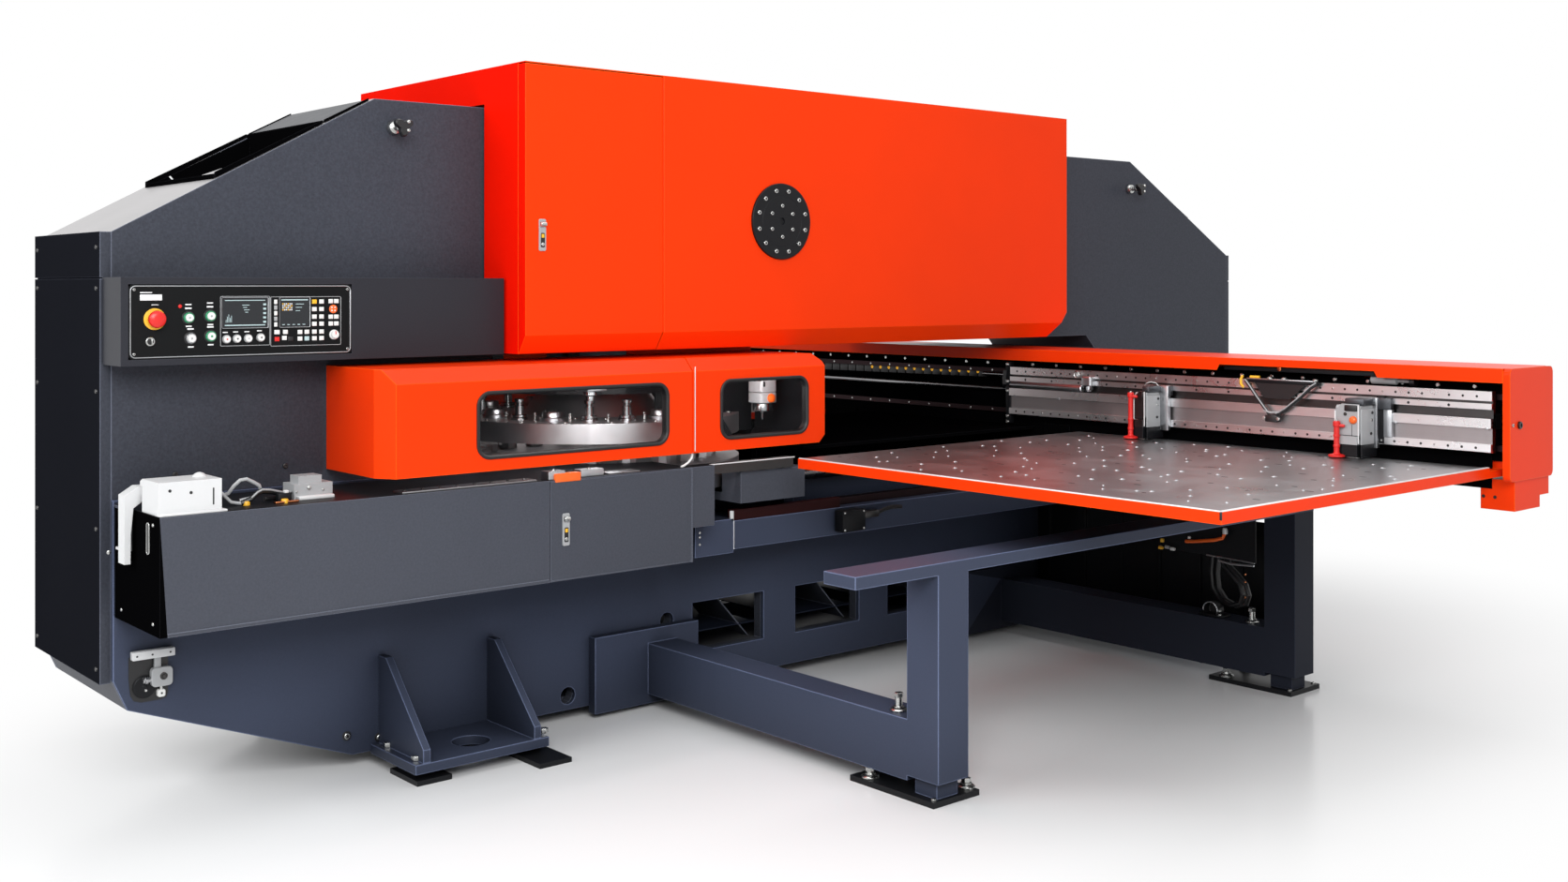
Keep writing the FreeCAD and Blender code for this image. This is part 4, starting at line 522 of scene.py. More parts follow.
# Blued steel; also drawn on the bar under the small window, where it is painted shade
DARK_STEEL = Metal("blued_tool_steel", "4b4a4a", 0.34, grain_mm=3.0, stain_mm=40.0)
CAST = Metal("machined_cast_iron", "55575b", 0.45, grain_mm=5.0, marks=0.25, stain_mm=90.0)
ALUMINIUM = Metal("anodised_aluminium", "b4b6b9", 0.32, grain_mm=4.0, marks=0.08, stain_mm=120.0, stain=0.06)
ZINC = Metal("zinc_plated_steel", "bcbdbb", 0.26, grain_mm=3.0, stain_mm=25.0, stain=0.12)
COPPER = Metal("copper_plated_collar", "b8734c", 0.25, grain_mm=3.0, stain_mm=25.0)
RED_PLASTIC = Moulded("moulded_red_plastic", "d3201b", 0.32)
ORANGE_PLASTIC = Moulded("moulded_orange_plastic", "f2661c", 0.35)
YELLOW_PLASTIC = Moulded("moulded_yellow_plastic", "efb52a", 0.38)
# Yellow caps that give off light though they are no lamp: a painted glow
LIT_YELLOW = Moulded("yellow_caps_painted_glow", "f2b01e", 0.4, glow=0.5)
GREEN_PLASTIC = Moulded("moulded_green_plastic", "2f8f63", 0.35)
# Pale moulded plastic; the same pale also draws a thin line up the turret cover's seam, a painted highlight
PALE_PLASTIC = Moulded("moulded_pale_plastic", "dfe0de", 0.35)
# Black moulded plastic; the same black also fills holes, slots and screw sockets, where it is painted shade
BLACK_PLASTIC = Moulded("moulded_black_plastic", "141416", 0.40)
RUBBER = Moulded("extruded_black_rubber", "0c0c0d", 0.48, grain_mm=3.0)
SCREEN = Moulded("dark_display_glass", "15181d", 0.12, grain_mm=8.0, grain_depth=0.0)
SCREEN_LIGHT = Moulded("lit_display_marks", "9fb4b6", 0.4, glow=0.35)
# White print; the same white also draws thin lines on edges that are painted highlights
PRINT_WHITE = Moulded("white_screen_print", "e4e5e6", 0.5)
GLASS = ClearSheet("clear_polycarbonate", "1c1d1f", 0.04)

CAD_FINISHES: dict[Finish, tuple[str, ...]] = {
    SLATE: ("bridge_frame",), SLATE_DESK: ("control_box",),
    SLATE_BASE: ("base_plates", "rail_beams", "anchor_brackets", "table_stands"),
    SLATE_DARK: ("end_covers", "press_motor"), SLATE_BOX: ("side_boxes", "side_door"),
    ORANGE: (
        "head_cover", "head_door", "turret_covers", "turret_door", "beam_cover", "beam_end_caps",
        "table_frames",
    ),
    BLACK_COAT: ("disc_cover", "guide_rollers", "punch_lift_ring"),
    # the cross beam and the centre table in near-black: painted shade
    SHADE_BLACK: ("cross_beam", "centre_table"), BLACK_PANEL: ("control_panel",), WHITE_COAT: ("air_unit",),
    SILVER_COAT: ("head_latch", "side_latch", "valve_block", "clamp_1", "clamp_2"),
    TABLE_STEEL: ("table_tops",), GROUND_X: ("x_screw",), BAR_STRIP: ("x_carriage",),
    # the rails in dark, reddish steel: painted shade and a painted reflection
    SHADED_RAIL_STEEL: ("x_rails", "y_rails"), GROUND_Y: ("y_screw",), TURRET: ("upper_turret", "lower_turret"),
    TURNED: ("strike_punch", "press_ram", "eccentric_shaft", "punch_guides"), DARK_STEEL: ("jaw_1", "jaw_2"),
    ALUMINIUM: ("punch_sensor", "feed_knob"), ZINC: ("levelling_bolts", "lifting_studs", "key_switch"),
    RED_PLASTIC: ("stop_button",), GREEN_PLASTIC: ("push_button_1", "push_button_2", "push_button_4"),
    PALE_PLASTIC: (
        "push_button_3", "screen_button_1", "screen_button_2", "screen_button_3", "screen_button_4",
    ),
    SCREEN: ("screens",), GLASS: ("turret_window", "ram_window"),
}


def dress_solids() -> None:
    """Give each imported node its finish, and report a node that has none."""
    left = set(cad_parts)
    for finish, names in CAD_FINISHES.items():
        for name in names:
            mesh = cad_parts[name].data
            mesh.materials.clear()
            mesh.materials.append(finish.material())
            left.discard(name)
            LOG.info("%s: %s", name, finish.name)
    for name in sorted(left):
        LOG.warning("%s has no finish", name)


def dress_faces(node: str, finish: Finish, low: Point, high: Point, least: float, facing: Point) -> None:
    """Give a finish to those faces of a node whose middle lies in a box.

    Args:
        node: The CAD node.
        finish: The finish of the faces.
        low: The box's lowest corner, in millimetres.
        high: Its highest corner.
        least: How far a face has to look that way: 0 is square to it, 1 along it, under -1 any way.
        facing: The way that it has to look.
    """
    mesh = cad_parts[node].data
    mesh.materials.append(finish.material())
    index = len(mesh.materials) - 1
    for polygon in mesh.polygons:
        middle = polygon.center / MM
        if polygon.normal.dot(Vector(facing)) > least and all(
            low[k] <= middle[k] <= high[k] for k in range(3)
        ):
            polygon.material_index = index
    LOG.info("%s: some faces in %s", node, finish.name)


UP, DOWN, NEAR = (0, 0, 1), (0, 0, -1), (0, -1, 0)
ANY_WAY = -2
END_SLOPES = ((-2900, -2001), (2001, 2900))
ORANGE_ENDS = ("head_cover", "head_door", "turret_covers")

# Faces that differ from the rest of their node: the node, the finish, the lowest and highest corner of the
# box they lie in, how far they look a way, and which way
FACE_FINISHES: tuple[tuple[str, Finish, Point, Point, float, Point], ...] = (
    *(
        ("bridge_frame", SLOPE_SHEET, (-324, low, 1500), (324, high, 2150), 0.3, UP)
        for low, high in END_SLOPES
    ),
    # faces at the side box's end in near-black: painted shade
    ("side_boxes", SHADE_BLACK, (-FAR, -FAR, 0), (FAR, -2698, 915), ANY_WAY, UP),
    ("side_boxes", BLACK_COAT, (-FAR, -FAR, 900), (FAR, FAR, 920), 0.9, UP),
    ("end_covers", SLATE, (319, -FAR, 0), (FAR, FAR, FAR), ANY_WAY, UP),
    # faces of the orange covers that look towards the near end take the darker copy: painted shade
    *((node, ORANGE_SHADED_END, (-FAR, -FAR, 0), (FAR, FAR, FAR), 0.6, NEAR) for node in ORANGE_ENDS),
    ("turret_covers", BLACK_COAT, (-700, -2150, 968), (700, -393, 1235), ANY_WAY, UP),
    # the tables' undersides in black, darker than their orange: painted shade under the tables
    ("table_frames", BLACK_COAT, (-FAR, -FAR, 0), (FAR, FAR, FAR), 0.6, DOWN),
    # the stands' far ends in the darker slate: painted shade
    ("table_stands", SLATE_FAR_SHADE, (-FAR, 900, 19), (FAR, FAR, 689), ANY_WAY, UP),
    ("table_stands", BLACK_COAT, (-FAR, -FAR, -1), (FAR, FAR, 19), ANY_WAY, UP),
    ("anchor_brackets", BLACK_COAT, (-FAR, -FAR, -1), (FAR, FAR, 30), ANY_WAY, UP),
    ("rail_beams", WAY_COVER, (555, -716, 688.5), (585, -179, 727), ANY_WAY, UP),
    # the guard box beside the table in the darker slate: painted shade
    ("rail_beams", SLATE_SHADE, (560, -905, 731), (680, -470, 852), ANY_WAY, UP),
    # the bar under the small window in dark steel: painted shade
    ("centre_table", DARK_STEEL, (600, -902, 870), (662, -480, 913), ANY_WAY, UP),
    ("x_carriage", BAR_HOLLOW, (-FAR, 996, 0), (FAR, 999, FAR), ANY_WAY, UP),
    ("x_carriage", DARK_STEEL, (-FAR, 999, 0), (FAR, 1060, FAR), ANY_WAY, UP),
)


# ---------------------------------------------------------------- making pieces


def loop_points(low: Flat, high: Flat, radius: float, steps: int = 8) -> list[Flat]:
    """Go once round a rectangle with round corners.

    Args:
        low: The lowest corner.
        high: The highest corner.
        radius: The corner radius.
        steps: Straight pieces in each corner.

    Returns:
        The points, counter-clockwise.
    """
    centres = [(high[0] - radius, high[1] - radius, 0), (low[0] + radius, high[1] - radius, 90)]
    centres += [(low[0] + radius, low[1] + radius, 180), (high[0] - radius, low[1] + radius, 270)]
    points = []
    for across, up, start in centres:
        for k in range(steps + 1):
            angle = math.radians(start + 90 * k / steps)
            points.append((across + radius * math.cos(angle), up + radius * math.sin(angle)))
    return points


class Workpiece:
    """One piece in the making: a mesh in millimetres whose faces can have several finishes."""

    most_ease = 0.45  # of a block's shortest side
    soft_rim = 0.35  # of a rim's width or rise, whichever is less
    head_high, shoulder, socket, socket_low = 0.62, 0.5, 0.5, 0.3  # of a screw head's radius
    nut_chamfer = (0.9, 0.1, 0.88, 0.87)  # radius and height below, height and radius above, as shares
    near_side = 0.99  # how far a tube's way may turn towards its side before a new side is taken

    def __init__(self, name: str) -> None:
        """Start an empty piece."""
        self.name = name
        self.points: list[Vector] = []
        self.faces: list[list[int]] = []
        self.slots: list[int] = []
        self.finishes: list[Finish] = []

    def take(self, finish: Finish, points: Iterable[Point], faces: Iterable[Sequence[int]]) -> None:
        """Add points and faces in one finish.

        Args:
            finish: The finish of these faces.
            points: New points, in millimetres.
            faces: Each face's points, counted from the first new one.
        """
        if finish not in self.finishes:
            self.finishes.append(finish)
        start = len(self.points)
        self.points.extend(Vector(point) for point in points)
        for face in faces:
            self.faces.append([start + k for k in face])
            self.slots.append(self.finishes.index(finish))

    def block(self, finish: Finish, low: Point, high: Point, ease: float = 1) -> None:
        """Add a block whose edges are broken.

        Args:
            finish: Its finish.
            low: Its lowest corner.
            high: Its highest corner.
            ease: How far its edges are broken.
        """
        mesh = bmesh.new()
        size = Vector(high) - Vector(low)
        middle = (Vector(high) + Vector(low)) / 2
        matrix = Matrix.Translation(middle) @ Matrix.Diagonal((*size, 1))
        bmesh.ops.create_cube(mesh, size=1, matrix=matrix)
        ease = min(ease, min(size) * self.most_ease)
        bmesh.ops.bevel(mesh, geom=mesh.edges[:], offset=ease, segments=2, profile=0.5, affect="EDGES")
        mesh.verts.index_update()
        self.take(finish, [tuple(v.co) for v in mesh.verts], [[v.index for v in f.verts] for f in mesh.faces])
        mesh.free()

    def section(
        self, finish: Finish, axis: Axis, outline: Sequence[Flat], low: float, high: float, ease: float = 1
    ) -> None:
        """Add an outline drawn out along an axis, with its long edges kept and its ends broken.

        Args:
            finish: Its finish.
            axis: The axis along which it runs; the outline lies across it, in the order of the axes.
            outline: The outline's points, in order round it.
            low: Where it starts on the axis.
            high: Where it ends.
            ease: How far the ends' edges are broken.
        """
        middle_a = sum(point[0] for point in outline) / len(outline)
        middle_b = sum(point[1] for point in outline) / len(outline)
        reach = max(max(abs(a - middle_a), abs(b - middle_b)) for a, b in outline)
        shrink = max(0, 1 - ease / max(reach, 0.1))
        rings = [(low, shrink), (low + ease, 1), (high - ease, 1), (high, shrink)]
        points = []
        for along, scale in rings:
            for a, b in outline:
                flat = [middle_a + (a - middle_a) * scale, middle_b + (b - middle_b) * scale]
                flat.insert(axis.value, along)
                points.append(tuple(flat))
        count = len(outline)
        faces = [list(range(count))[::-1], [3 * count + k for k in range(count)]]
        for ring in range(3):
            for k in range(count):
                after = (k + 1) % count
                near, far = ring * count, (ring + 1) * count
                faces.append([near + k, near + after, far + after, far + k])
        self.take(finish, points, faces)

    def turned(
        self, finish: Finish, centre: Point, axis: Axis, profile: Sequence[Flat], steps: int = 28
    ) -> None:
        """Add a turned piece.

        Args:
            finish: Its finish.
            centre: Where its axis starts.
            axis: The direction of its axis.
            profile: Radius and height of each point along it; a radius of 0 closes an end.
            steps: Flats round it.
        """
        across = [k for k in range(3) if k != axis.value]
        points, rings = [], []
        for radius, height in profile:
            ring = []
            for k in range(steps if radius > 0 else 1):
                angle = 2 * math.pi * k / steps
                point = list(centre)
                point[axis.value] += height
                point[across[0]] += radius * math.cos(angle)
                point[across[1]] += radius * math.sin(angle)
                ring.append(len(points))
                points.append(tuple(point))
            rings.append(ring)
        faces = []
        for lower, upper in zip(rings, rings[1:]):
            for k in range(steps):
                after = (k + 1) % steps
                face = [lower[k % len(lower)], lower[after % len(lower)]]
                face += [upper[after % len(upper)], upper[k % len(upper)]]
                faces.append(list(dict.fromkeys(face)))
        self.take(finish, points, [face for face in faces if len(face) > 2])

    def tube(
        self, finish: Finish, path: Sequence[Point], radius: float, closed: bool = False, steps: int = 8
    ) -> None:
        """Add a round bar, hose or wire along a path.

        Args:
            finish: Its finish.
            path: The points of its middle line.
            radius: Its radius.
            closed: Whether the last point meets the first.
            steps: Flats round it.
        """
        line = [Vector(point) for point in path]
        count = len(line)
        points = []
        side = Vector((0, 0, 1))
        for k, point in enumerate(line):
            before = line[k - 1] if k or closed else point
            after = line[(k + 1) % count] if k + 1 < count or closed else point
            along = (after - before).normalized()
            steady = abs(side.dot(along)) < self.near_side
            side = (side - along * side.dot(along)).normalized() if steady else along.orthogonal()
            other = along.cross(side)
            for turn in range(steps):
                angle = 2 * math.pi * turn / steps
                points.append(tuple(point + (side * math.cos(angle) + other * math.sin(angle)) * radius))
        faces = []
        for k in range(count if closed else count - 1):
            near, far = k * steps, ((k + 1) % count) * steps
            for turn in range(steps):
                after = (turn + 1) % steps
                faces.append([near + turn, near + after, far + after, far + turn])
        if not closed:
            faces += [list(range(steps))[::-1], [(count - 1) * steps + k for k in range(steps)]]
        self.take(finish, points, faces)

    def rim(
        self, finish: Finish, plane: float, low: Flat, high: Flat,
        corner: float, width: float, rise: float, sink: float,
    ) -> None:
        """Add a moulded rim round an opening in a sheet that faces +X.

        Args:
            finish: Its finish.
            plane: X of the sheet's face.
            low: Y and Z of the opening's lowest corner.
            high: Y and Z of its highest corner.
            corner: The opening's corner radius.
            width: How wide the rim laps the sheet.
            rise: How proud it stands of the sheet.
            sink: How far it goes back into the opening.
        """
        soft = min(rise, width) * self.soft_rim
        stations = [(width, 0), (width, rise - soft), (width - soft, rise), (soft * 1.4, rise)]
        stations += [(0, rise - soft), (-2, 0), (-2, -sink)]
        points, count = [], 0
        for out, height in stations:
            ring = loop_points((low[0] - out, low[1] - out), (high[0] + out, high[1] + out), corner + out)
            count = len(ring)
            points += [(plane + height, across, up) for across, up in ring]
        faces = []
        for k in range(len(stations) - 1):
            for turn in range(count):
                after = (turn + 1) % count
                faces.append(
                    [k * count + turn, k * count + after, (k + 1) * count + after, (k + 1) * count + turn]
                )
        self.take(finish, points, faces)

    def screw(self, finish: Finish, place: Point, axis: Axis, radius: float, out: float = 1) -> None:
        """Add a socket-head cap screw: a low head whose socket is drawn black, as painted shade inside it.

        Args:
            finish: The head's finish.
            place: Where the head meets the surface.
            axis: The direction in which it points.
            radius: The head's radius.
            out: 1 to stand along the axis, -1 against it.
        """
        high, low = self.head_high * radius * out, self.socket_low * radius * out
        head = [(radius, 0), (radius, self.shoulder * radius * out), (radius * 0.85, high)]
        head += [(radius * self.socket, high)]
        self.turned(finish, place, axis, head, 14)
        # the socket is drawn black: painted shade inside it
        hollow = [(radius * self.socket, high), (radius * 0.45, low), (0, low)]
        self.turned(BLACK_PLASTIC, place, axis, hollow, 6)

    def nut(self, finish: Finish, place: Point, axis: Axis, width: float, high: float) -> None:
        """Add a hexagon nut with chamfered corners.

        Args:
            finish: Its finish.
            place: The middle of its lower face.
            axis: The direction of its bore.
            width: Its width over the corners.
            high: Its height.
        """
        radius = width / 2
        low_radius, low, top, top_radius = self.nut_chamfer
        profile = [(radius * low_radius, 0), (radius, low * high), (radius, top * high)]
        profile += [(radius * top_radius, high), (0, high)]
        self.turned(finish, place, axis, profile, 6)

    def done(self, body: str = "frame", replaces: Sequence[str] = ()) -> bpy.types.Object:
        """Write the mesh in metres, in the row frame, and let it ride on a body.

        Args:
            body: The CAD body that carries it.
            replaces: CAD nodes that it stands for.

        Returns:
            The new object.
        """
        mesh = bpy.data.meshes.new(self.name)
        mesh.from_pydata([point * MM for point in self.points], [], self.faces)
        for finish in self.finishes:
            mesh.materials.append(finish.material())
        mesh.polygons.foreach_set("material_index", self.slots)
        work = bmesh.new()
        work.from_mesh(mesh)
        bmesh.ops.recalc_face_normals(work, faces=work.faces[:])
        work.to_mesh(mesh)
        work.free()
        mesh.polygons.foreach_set("use_smooth", [True] * len(mesh.polygons))
        mesh.set_sharp_from_angle(angle=SHARP_ANGLE)
        mesh.update()
        piece = bpy.data.objects.new(self.name, mesh)
        bpy.context.scene.collection.objects.link(piece)
        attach(piece, body)
        if replaces:
            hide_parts(*replaces)
        LOG.info("%s: %d faces on %s", self.name, len(mesh.polygons), body)
        return piece


# ---------------------------------------------------------------- control box


@dataclass
class ControlPanel:
    """Flush black panel with its buttons, displays and keys. Places are Y and Z on the panel."""

    face: float = 480
    low: Flat = (-2825.5, 1337.5)
    high: Flat = (-2151.5, 1551.5)
    corner: float = 14
    thick: float = 4
    stop: Flat = (-2753, 1452)
    key: Flat = (-2766, 1388)
    knob: Flat = (-2211, 1397)
    green_ringed: tuple[Flat, ...] = ((-2657, 1455), (-2594, 1459), (-2593, 1400))
    plain_button: Flat = (-2651, 1395)
    small_buttons: tuple[Flat, ...] = ((-2546, 1390), (-2515, 1391), (-2481, 1391), (-2443, 1393))
    module_frames: tuple[tuple[Flat, Flat], ...] = (
        ((-2563, 1370), (-2414, 1516)), ((-2411, 1366), (-2188, 1514))
    )
    displays: tuple[tuple[Flat, Flat], ...] = (((-2557, 1424), (-2421, 1511)), ((-2382, 1424), (-2290, 1511)))

    def plate(self) -> None:
        """The panel sheet with its trim, screws and lamp, and the rings, bezels and frames of the controls."""
        sheet = Workpiece("panel_sheet")
        outline = loop_points(self.low, self.high, self.corner)
        sheet.section(BLACK_PANEL, X, outline, self.face - self.thick, self.face, 0.6)
        inset = 5
        line = loop_points(
            (self.low[0] + inset, self.low[1] + inset), (self.high[0] - inset, self.high[1] - inset),
            self.corner,
        )
        sheet.tube(ALUMINIUM, [(self.face, across, up) for across, up in line], 1.7, closed=True, steps=6)
        for across in (self.low[0] + 15, self.high[0] - 15):
            for up in (self.low[1] + 15, self.high[1] - 15):
                sheet.screw(ZINC, (self.face, across, up), X, 4)
        ring = [(31, 0), (31, 2), (29.5, 3.2), (20, 4.6), (19, 0)]
        sheet.turned(YELLOW_PLASTIC, (self.face, *self.stop), X, ring, 48)
        for across, up in (*self.green_ringed, self.plain_button):
            bezel = [(19, 0), (19, 1.6), (17.8, 2.6), (15, 2.6)]
            sheet.turned(BLACK_PLASTIC, (self.face, across, up), X, bezel, 32)
            ring = ALUMINIUM if (across, up) == self.plain_button else GREEN_PLASTIC
            collar = [(15, 2.6), (15, 8), (14, 9.5), (11.9, 9.5), (11.9, 1)]
            sheet.turned(ring, (self.face, across, up), X, collar, 36)
        for across, up in self.small_buttons:
            bezel = [(12.5, 0), (12.5, 4.4), (11.6, 5.2), (10.9, 5.2), (10.9, 0.6)]
            sheet.turned(SILVER_COAT, (self.face, across, up), X, bezel, 28)
        neck = [(15, 0), (15, 9), (10.8, 9.6), (10.8, 1)]
        sheet.turned(BLACK_PLASTIC, (self.face, *self.stop), X, neck, 32)
        for low, high in self.module_frames:
            frame_line = loop_points(low, high, 3, 3)
            sheet.tube(
                SILVER_COAT, [(self.face, across, up) for across, up in frame_line], 0.9, closed=True, steps=4
            )
        for low, high in self.displays:
            edge = loop_points((low[0] - 2, low[1] - 2), (high[0] + 2, high[1] + 2), 3, 3)
            sheet.tube(
                ALUMINIUM, [(self.face + 1, across, up) for across, up in edge], 1, closed=True, steps=4
            )
        led = [(5.5, 0), (5.5, 1.5), (4, 3.2), (0, 3.8)]
        sheet.turned(RED_PLASTIC, (self.face, -2681, 1488), X, led, 16)
        sheet.done("frame", ["control_panel"])

    def mark(
        self, piece: Workpiece, finish: Finish, across: float, up: float, wide: float, high: float
    ) -> None:
        """Print one small plain bar on the panel.

        Args:
            piece: The piece that takes it.
            finish: Its finish.
            across: Y of its middle.
            up: Z of its middle.
            wide: Its width.
            high: Its height.
        """
        low = (self.face - 0.5, across - wide / 2, up - high / 2)
        piece.block(finish, low, (self.face + 0.35, across + wide / 2, up + high / 2), 0.15)

    def prints(self) -> None:
        """Plain bars where the labels are, with nothing to read, and the bare name field."""
        piece = Workpiece("panel_prints")
        for across, up in (*self.green_ringed, self.plain_button):
            self.mark(piece, PRINT_WHITE, across, up + 27, 19, 4.6)
            self.mark(piece, PRINT_WHITE, across + 1, up - 25, 17, 4)
        for across, up in self.green_ringed[:2]:
            self.mark(piece, PRINT_WHITE, across, up + 38, 18, 3.6)
        for across, up in self.small_buttons:
            self.mark(piece, PRINT_WHITE, across - 3, up + 20, 15, 3.2)
        self.mark(piece, PRINT_WHITE, -2763, 1514, 62, 17)
        self.mark(piece, PRINT_WHITE, -2777, 1528, 34, 3)
        self.mark(piece, PRINT_WHITE, -2752, 1493, 20, 2)
        piece.done()

    def screens(self) -> None:
        """Two dark displays with plain lit bars and boxes."""
        piece = Workpiece("display_panes")
        for low, high in self.displays:
            outline = loop_points(low, high, 2, 2)
            piece.section(SCREEN, X, outline, self.face, self.face + 2, 0.4)
        front = self.face + 2

        def lit(across: float, up: float, wide: float, high: float, finish: Finish = SCREEN_LIGHT) -> None:
            """Light one bar of a display."""
            low = (front - 0.4, across, up)
            piece.block(finish, low, (front + 0.25, across + wide, up + high), 0.1)

        left, right = self.displays
        lit(left[0][0] + 6, left[1][1] - 8, 122, 2.2)
        lit(left[0][0] + 6, left[0][1] + 5, 122, 3)
        for k in range(5):
            lit(left[1][0] - 14, left[1][1] - 22 - 13 * k, 9, 5.5)
        for k, wide in enumerate((22, 12, 16, 9)):
            lit(left[0][0] + 58 + 3 * k, left[1][1] - 22 - 7 * k, wide, 1.8)
        for k, high in enumerate((8, 17, 24, 14, 20)):
            lit(left[0][0] + 9 + 4 * k, left[0][1] + 15, 1.6, high)
        lit(right[0][0] + 3, right[1][1] - 8, 84, 3.2)
        for k in range(6):
            for turn in range(4):
                lit(
                    right[0][0] + 6 + 5.5 * k, right[1][1] - 20 - 6 * turn, 4, 3.4,
                    PRINT_WHITE if (k + turn) % 3 else YELLOW_PLASTIC,
                )
        for k in range(5):
            lit(right[0][0] + 6 + 16 * k, right[0][1] + 5, 8, 2.2)
        for k in range(3):
            lit(right[0][0] + 48, right[1][1] - 20 - 10 * k, 26 - 6 * k, 1.8)
        piece.done("frame", ["screens"])

    def keys(self) -> None:
        """Rows of small square keys beside and below the second display."""
        piece = Workpiece("membrane_keys")

        def key(across: float, up: float, finish: Finish = PALE_PLASTIC, wide: float = 15) -> None:
            """Raise one key."""
            piece.block(
                finish, (self.face, across - wide / 2, up - 6.5),
                (self.face + 2.2, across + wide / 2, up + 6.5), 1.2,
            )

        for up in (1499, 1476, 1453, 1431):
            for across in (-2274, -2251):
                key(across, up, YELLOW_PLASTIC if (up, across) == (1499, -2274) else PALE_PLASTIC)
        for across in (-2221, -2203):
            for up in (1500, 1452, 1431):
                key(across, up)
        for up in (1407, 1387):
            for across in (-2320, -2298, -2274, -2251):
                key(across, up, SCREEN_LIGHT if (up, across) == (1387, -2298) else PALE_PLASTIC)
        for k in range(5):
            key(-2396, 1499 - 17 * k, SILVER_COAT if k % 2 else PALE_PLASTIC, 10)
        key(-2392, 1387, RED_PLASTIC)
        key(-2369, 1390)
        key(-2350, 1387, BLACK_PLASTIC, 16)
        key(-2392, 1408, PALE_PLASTIC, 17)
        key(-2366, 1408)
        cluster = [(13, 0), (13, 1.6), (11, 2.6), (0, 2.6)]
        piece.turned(ORANGE_PLASTIC, (self.face, -2213, 1476), X, cluster, 20)
        for k in range(4):
            angle = math.pi / 4 + math.pi / 2 * k
            place = (self.face + 2.4, -2213 + 7 * math.cos(angle), 1476 + 7 * math.sin(angle))
            piece.turned(PALE_PLASTIC, place, X, [(2.6, 0), (2.4, 1), (0, 1.2)], 10)
        piece.done()

    def push_buttons(self) -> None:
        """Eight push-buttons, each a cap with a dished face, three of them with a green ring."""
        rings = {
            1: self.green_ringed[0], 2: self.green_ringed[1], 4: self.green_ringed[2], 3: self.plain_button
        }
        for number, (across, up) in rings.items():
            piece = Workpiece(f"button_cap_{number}")
            ring = GREEN_PLASTIC if number != 3 else ALUMINIUM
            cap = [(0, 6), (11.4, 6), (11.4, 12.6), (10.2, 14), (6, 13.4), (0, 13)]
            piece.turned(PALE_PLASTIC, (self.face, across, up), X, cap, 36)
            dot = [(3.4, 13), (3.2, 14), (0, 14.2)]
            piece.turned(ring if number == 4 else SILVER_COAT, (self.face, across, up), X, dot, 18)
            body = f"push_button_{number}"
            piece.done(body, [body])
        for number, (across, up) in enumerate(self.small_buttons, start=1):
            piece = Workpiece(f"small_cap_{number}")
            cap = [(0, 4.8), (10.5, 4.8), (10.5, 8.6), (9.4, 10.6), (5, 10), (0, 9.6)]
            piece.turned(PALE_PLASTIC, (self.face, across, up), X, cap, 30)
            spot = (RED_PLASTIC, BLACK_PLASTIC, SILVER_COAT, BLACK_PLASTIC)[number - 1]
            piece.turned(spot, (self.face, across, up), X, [(2.6, 9.7), (2.4, 10.4), (0, 10.5)], 14)
            body = f"screen_button_{number}"
            piece.done(body, [body])

    def stop_mushroom(self) -> None:
        """Red mushroom head on its stem, domed, with a turned edge."""
        piece = Workpiece("stop_mushroom")
        profile = [(0, 6), (10, 6), (10, 15), (17, 16), (24, 18.5), (25, 21.5), (24.6, 25)]
        profile += [(22.5, 29), (17.5, 32.4), (10, 33.7), (0, 34)]
        piece.turned(RED_PLASTIC, (self.face, *self.stop), X, profile, 48)
        piece.done("stop_button", ["stop_button"])

    def turning_parts(self) -> None:
        """Key switch with its key blade, and the feed knob with its pointer."""
        key = Workpiece("key_barrel")
        ring = [(13, 0.4), (13, 4), (11.8, 5.4), (9.2, 5.4), (8.8, 3.4)]
        key.turned(ZINC, (self.face, *self.key), X, ring, 32)
        key.turned(BLACK_PLASTIC, (self.face, *self.key), X, [(8.8, 3.4), (8.4, 5), (0, 5.4)], 28)
        across, up = self.key
        key.block(ZINC, (self.face + 4, across - 1.6, up - 8), (self.face + 20, across + 1.6, up + 8), 0.8)
        key.done("key_switch", ["key_switch"])
        knob = Workpiece("feed_knob_grip")
        across, up = self.knob
        base = [(15, 0.4), (15, 3.6), (14, 5), (12, 5.4), (11.6, 13), (10.4, 15), (0, 15.4)]
        knob.turned(PALE_PLASTIC, (self.face, across, up), X, base, 36)
        knob.block(
            RED_PLASTIC, (self.face + 12, across - 1.3, up + 1), (self.face + 16.2, across + 1.3, up + 11),
            0.5,
        )
        for k in range(18):
            angle = 2 * math.pi * k / 18
            place = (self.face + 5.4, across + 11.7 * math.cos(angle), up + 11.7 * math.sin(angle))
            knob.turned(PALE_PLASTIC, place, X, [(0.9, 0), (0.9, 7.6), (0, 8)], 6)
        knob.done("feed_knob", ["feed_knob"])

    def build(self) -> None:
        """Build every piece of the panel."""
        self.plate()
        self.prints()
        self.screens()
        self.keys()
        self.push_buttons()
        self.stop_mushroom()
        self.turning_parts()


# ---------------------------------------------------------------- turrets and covers


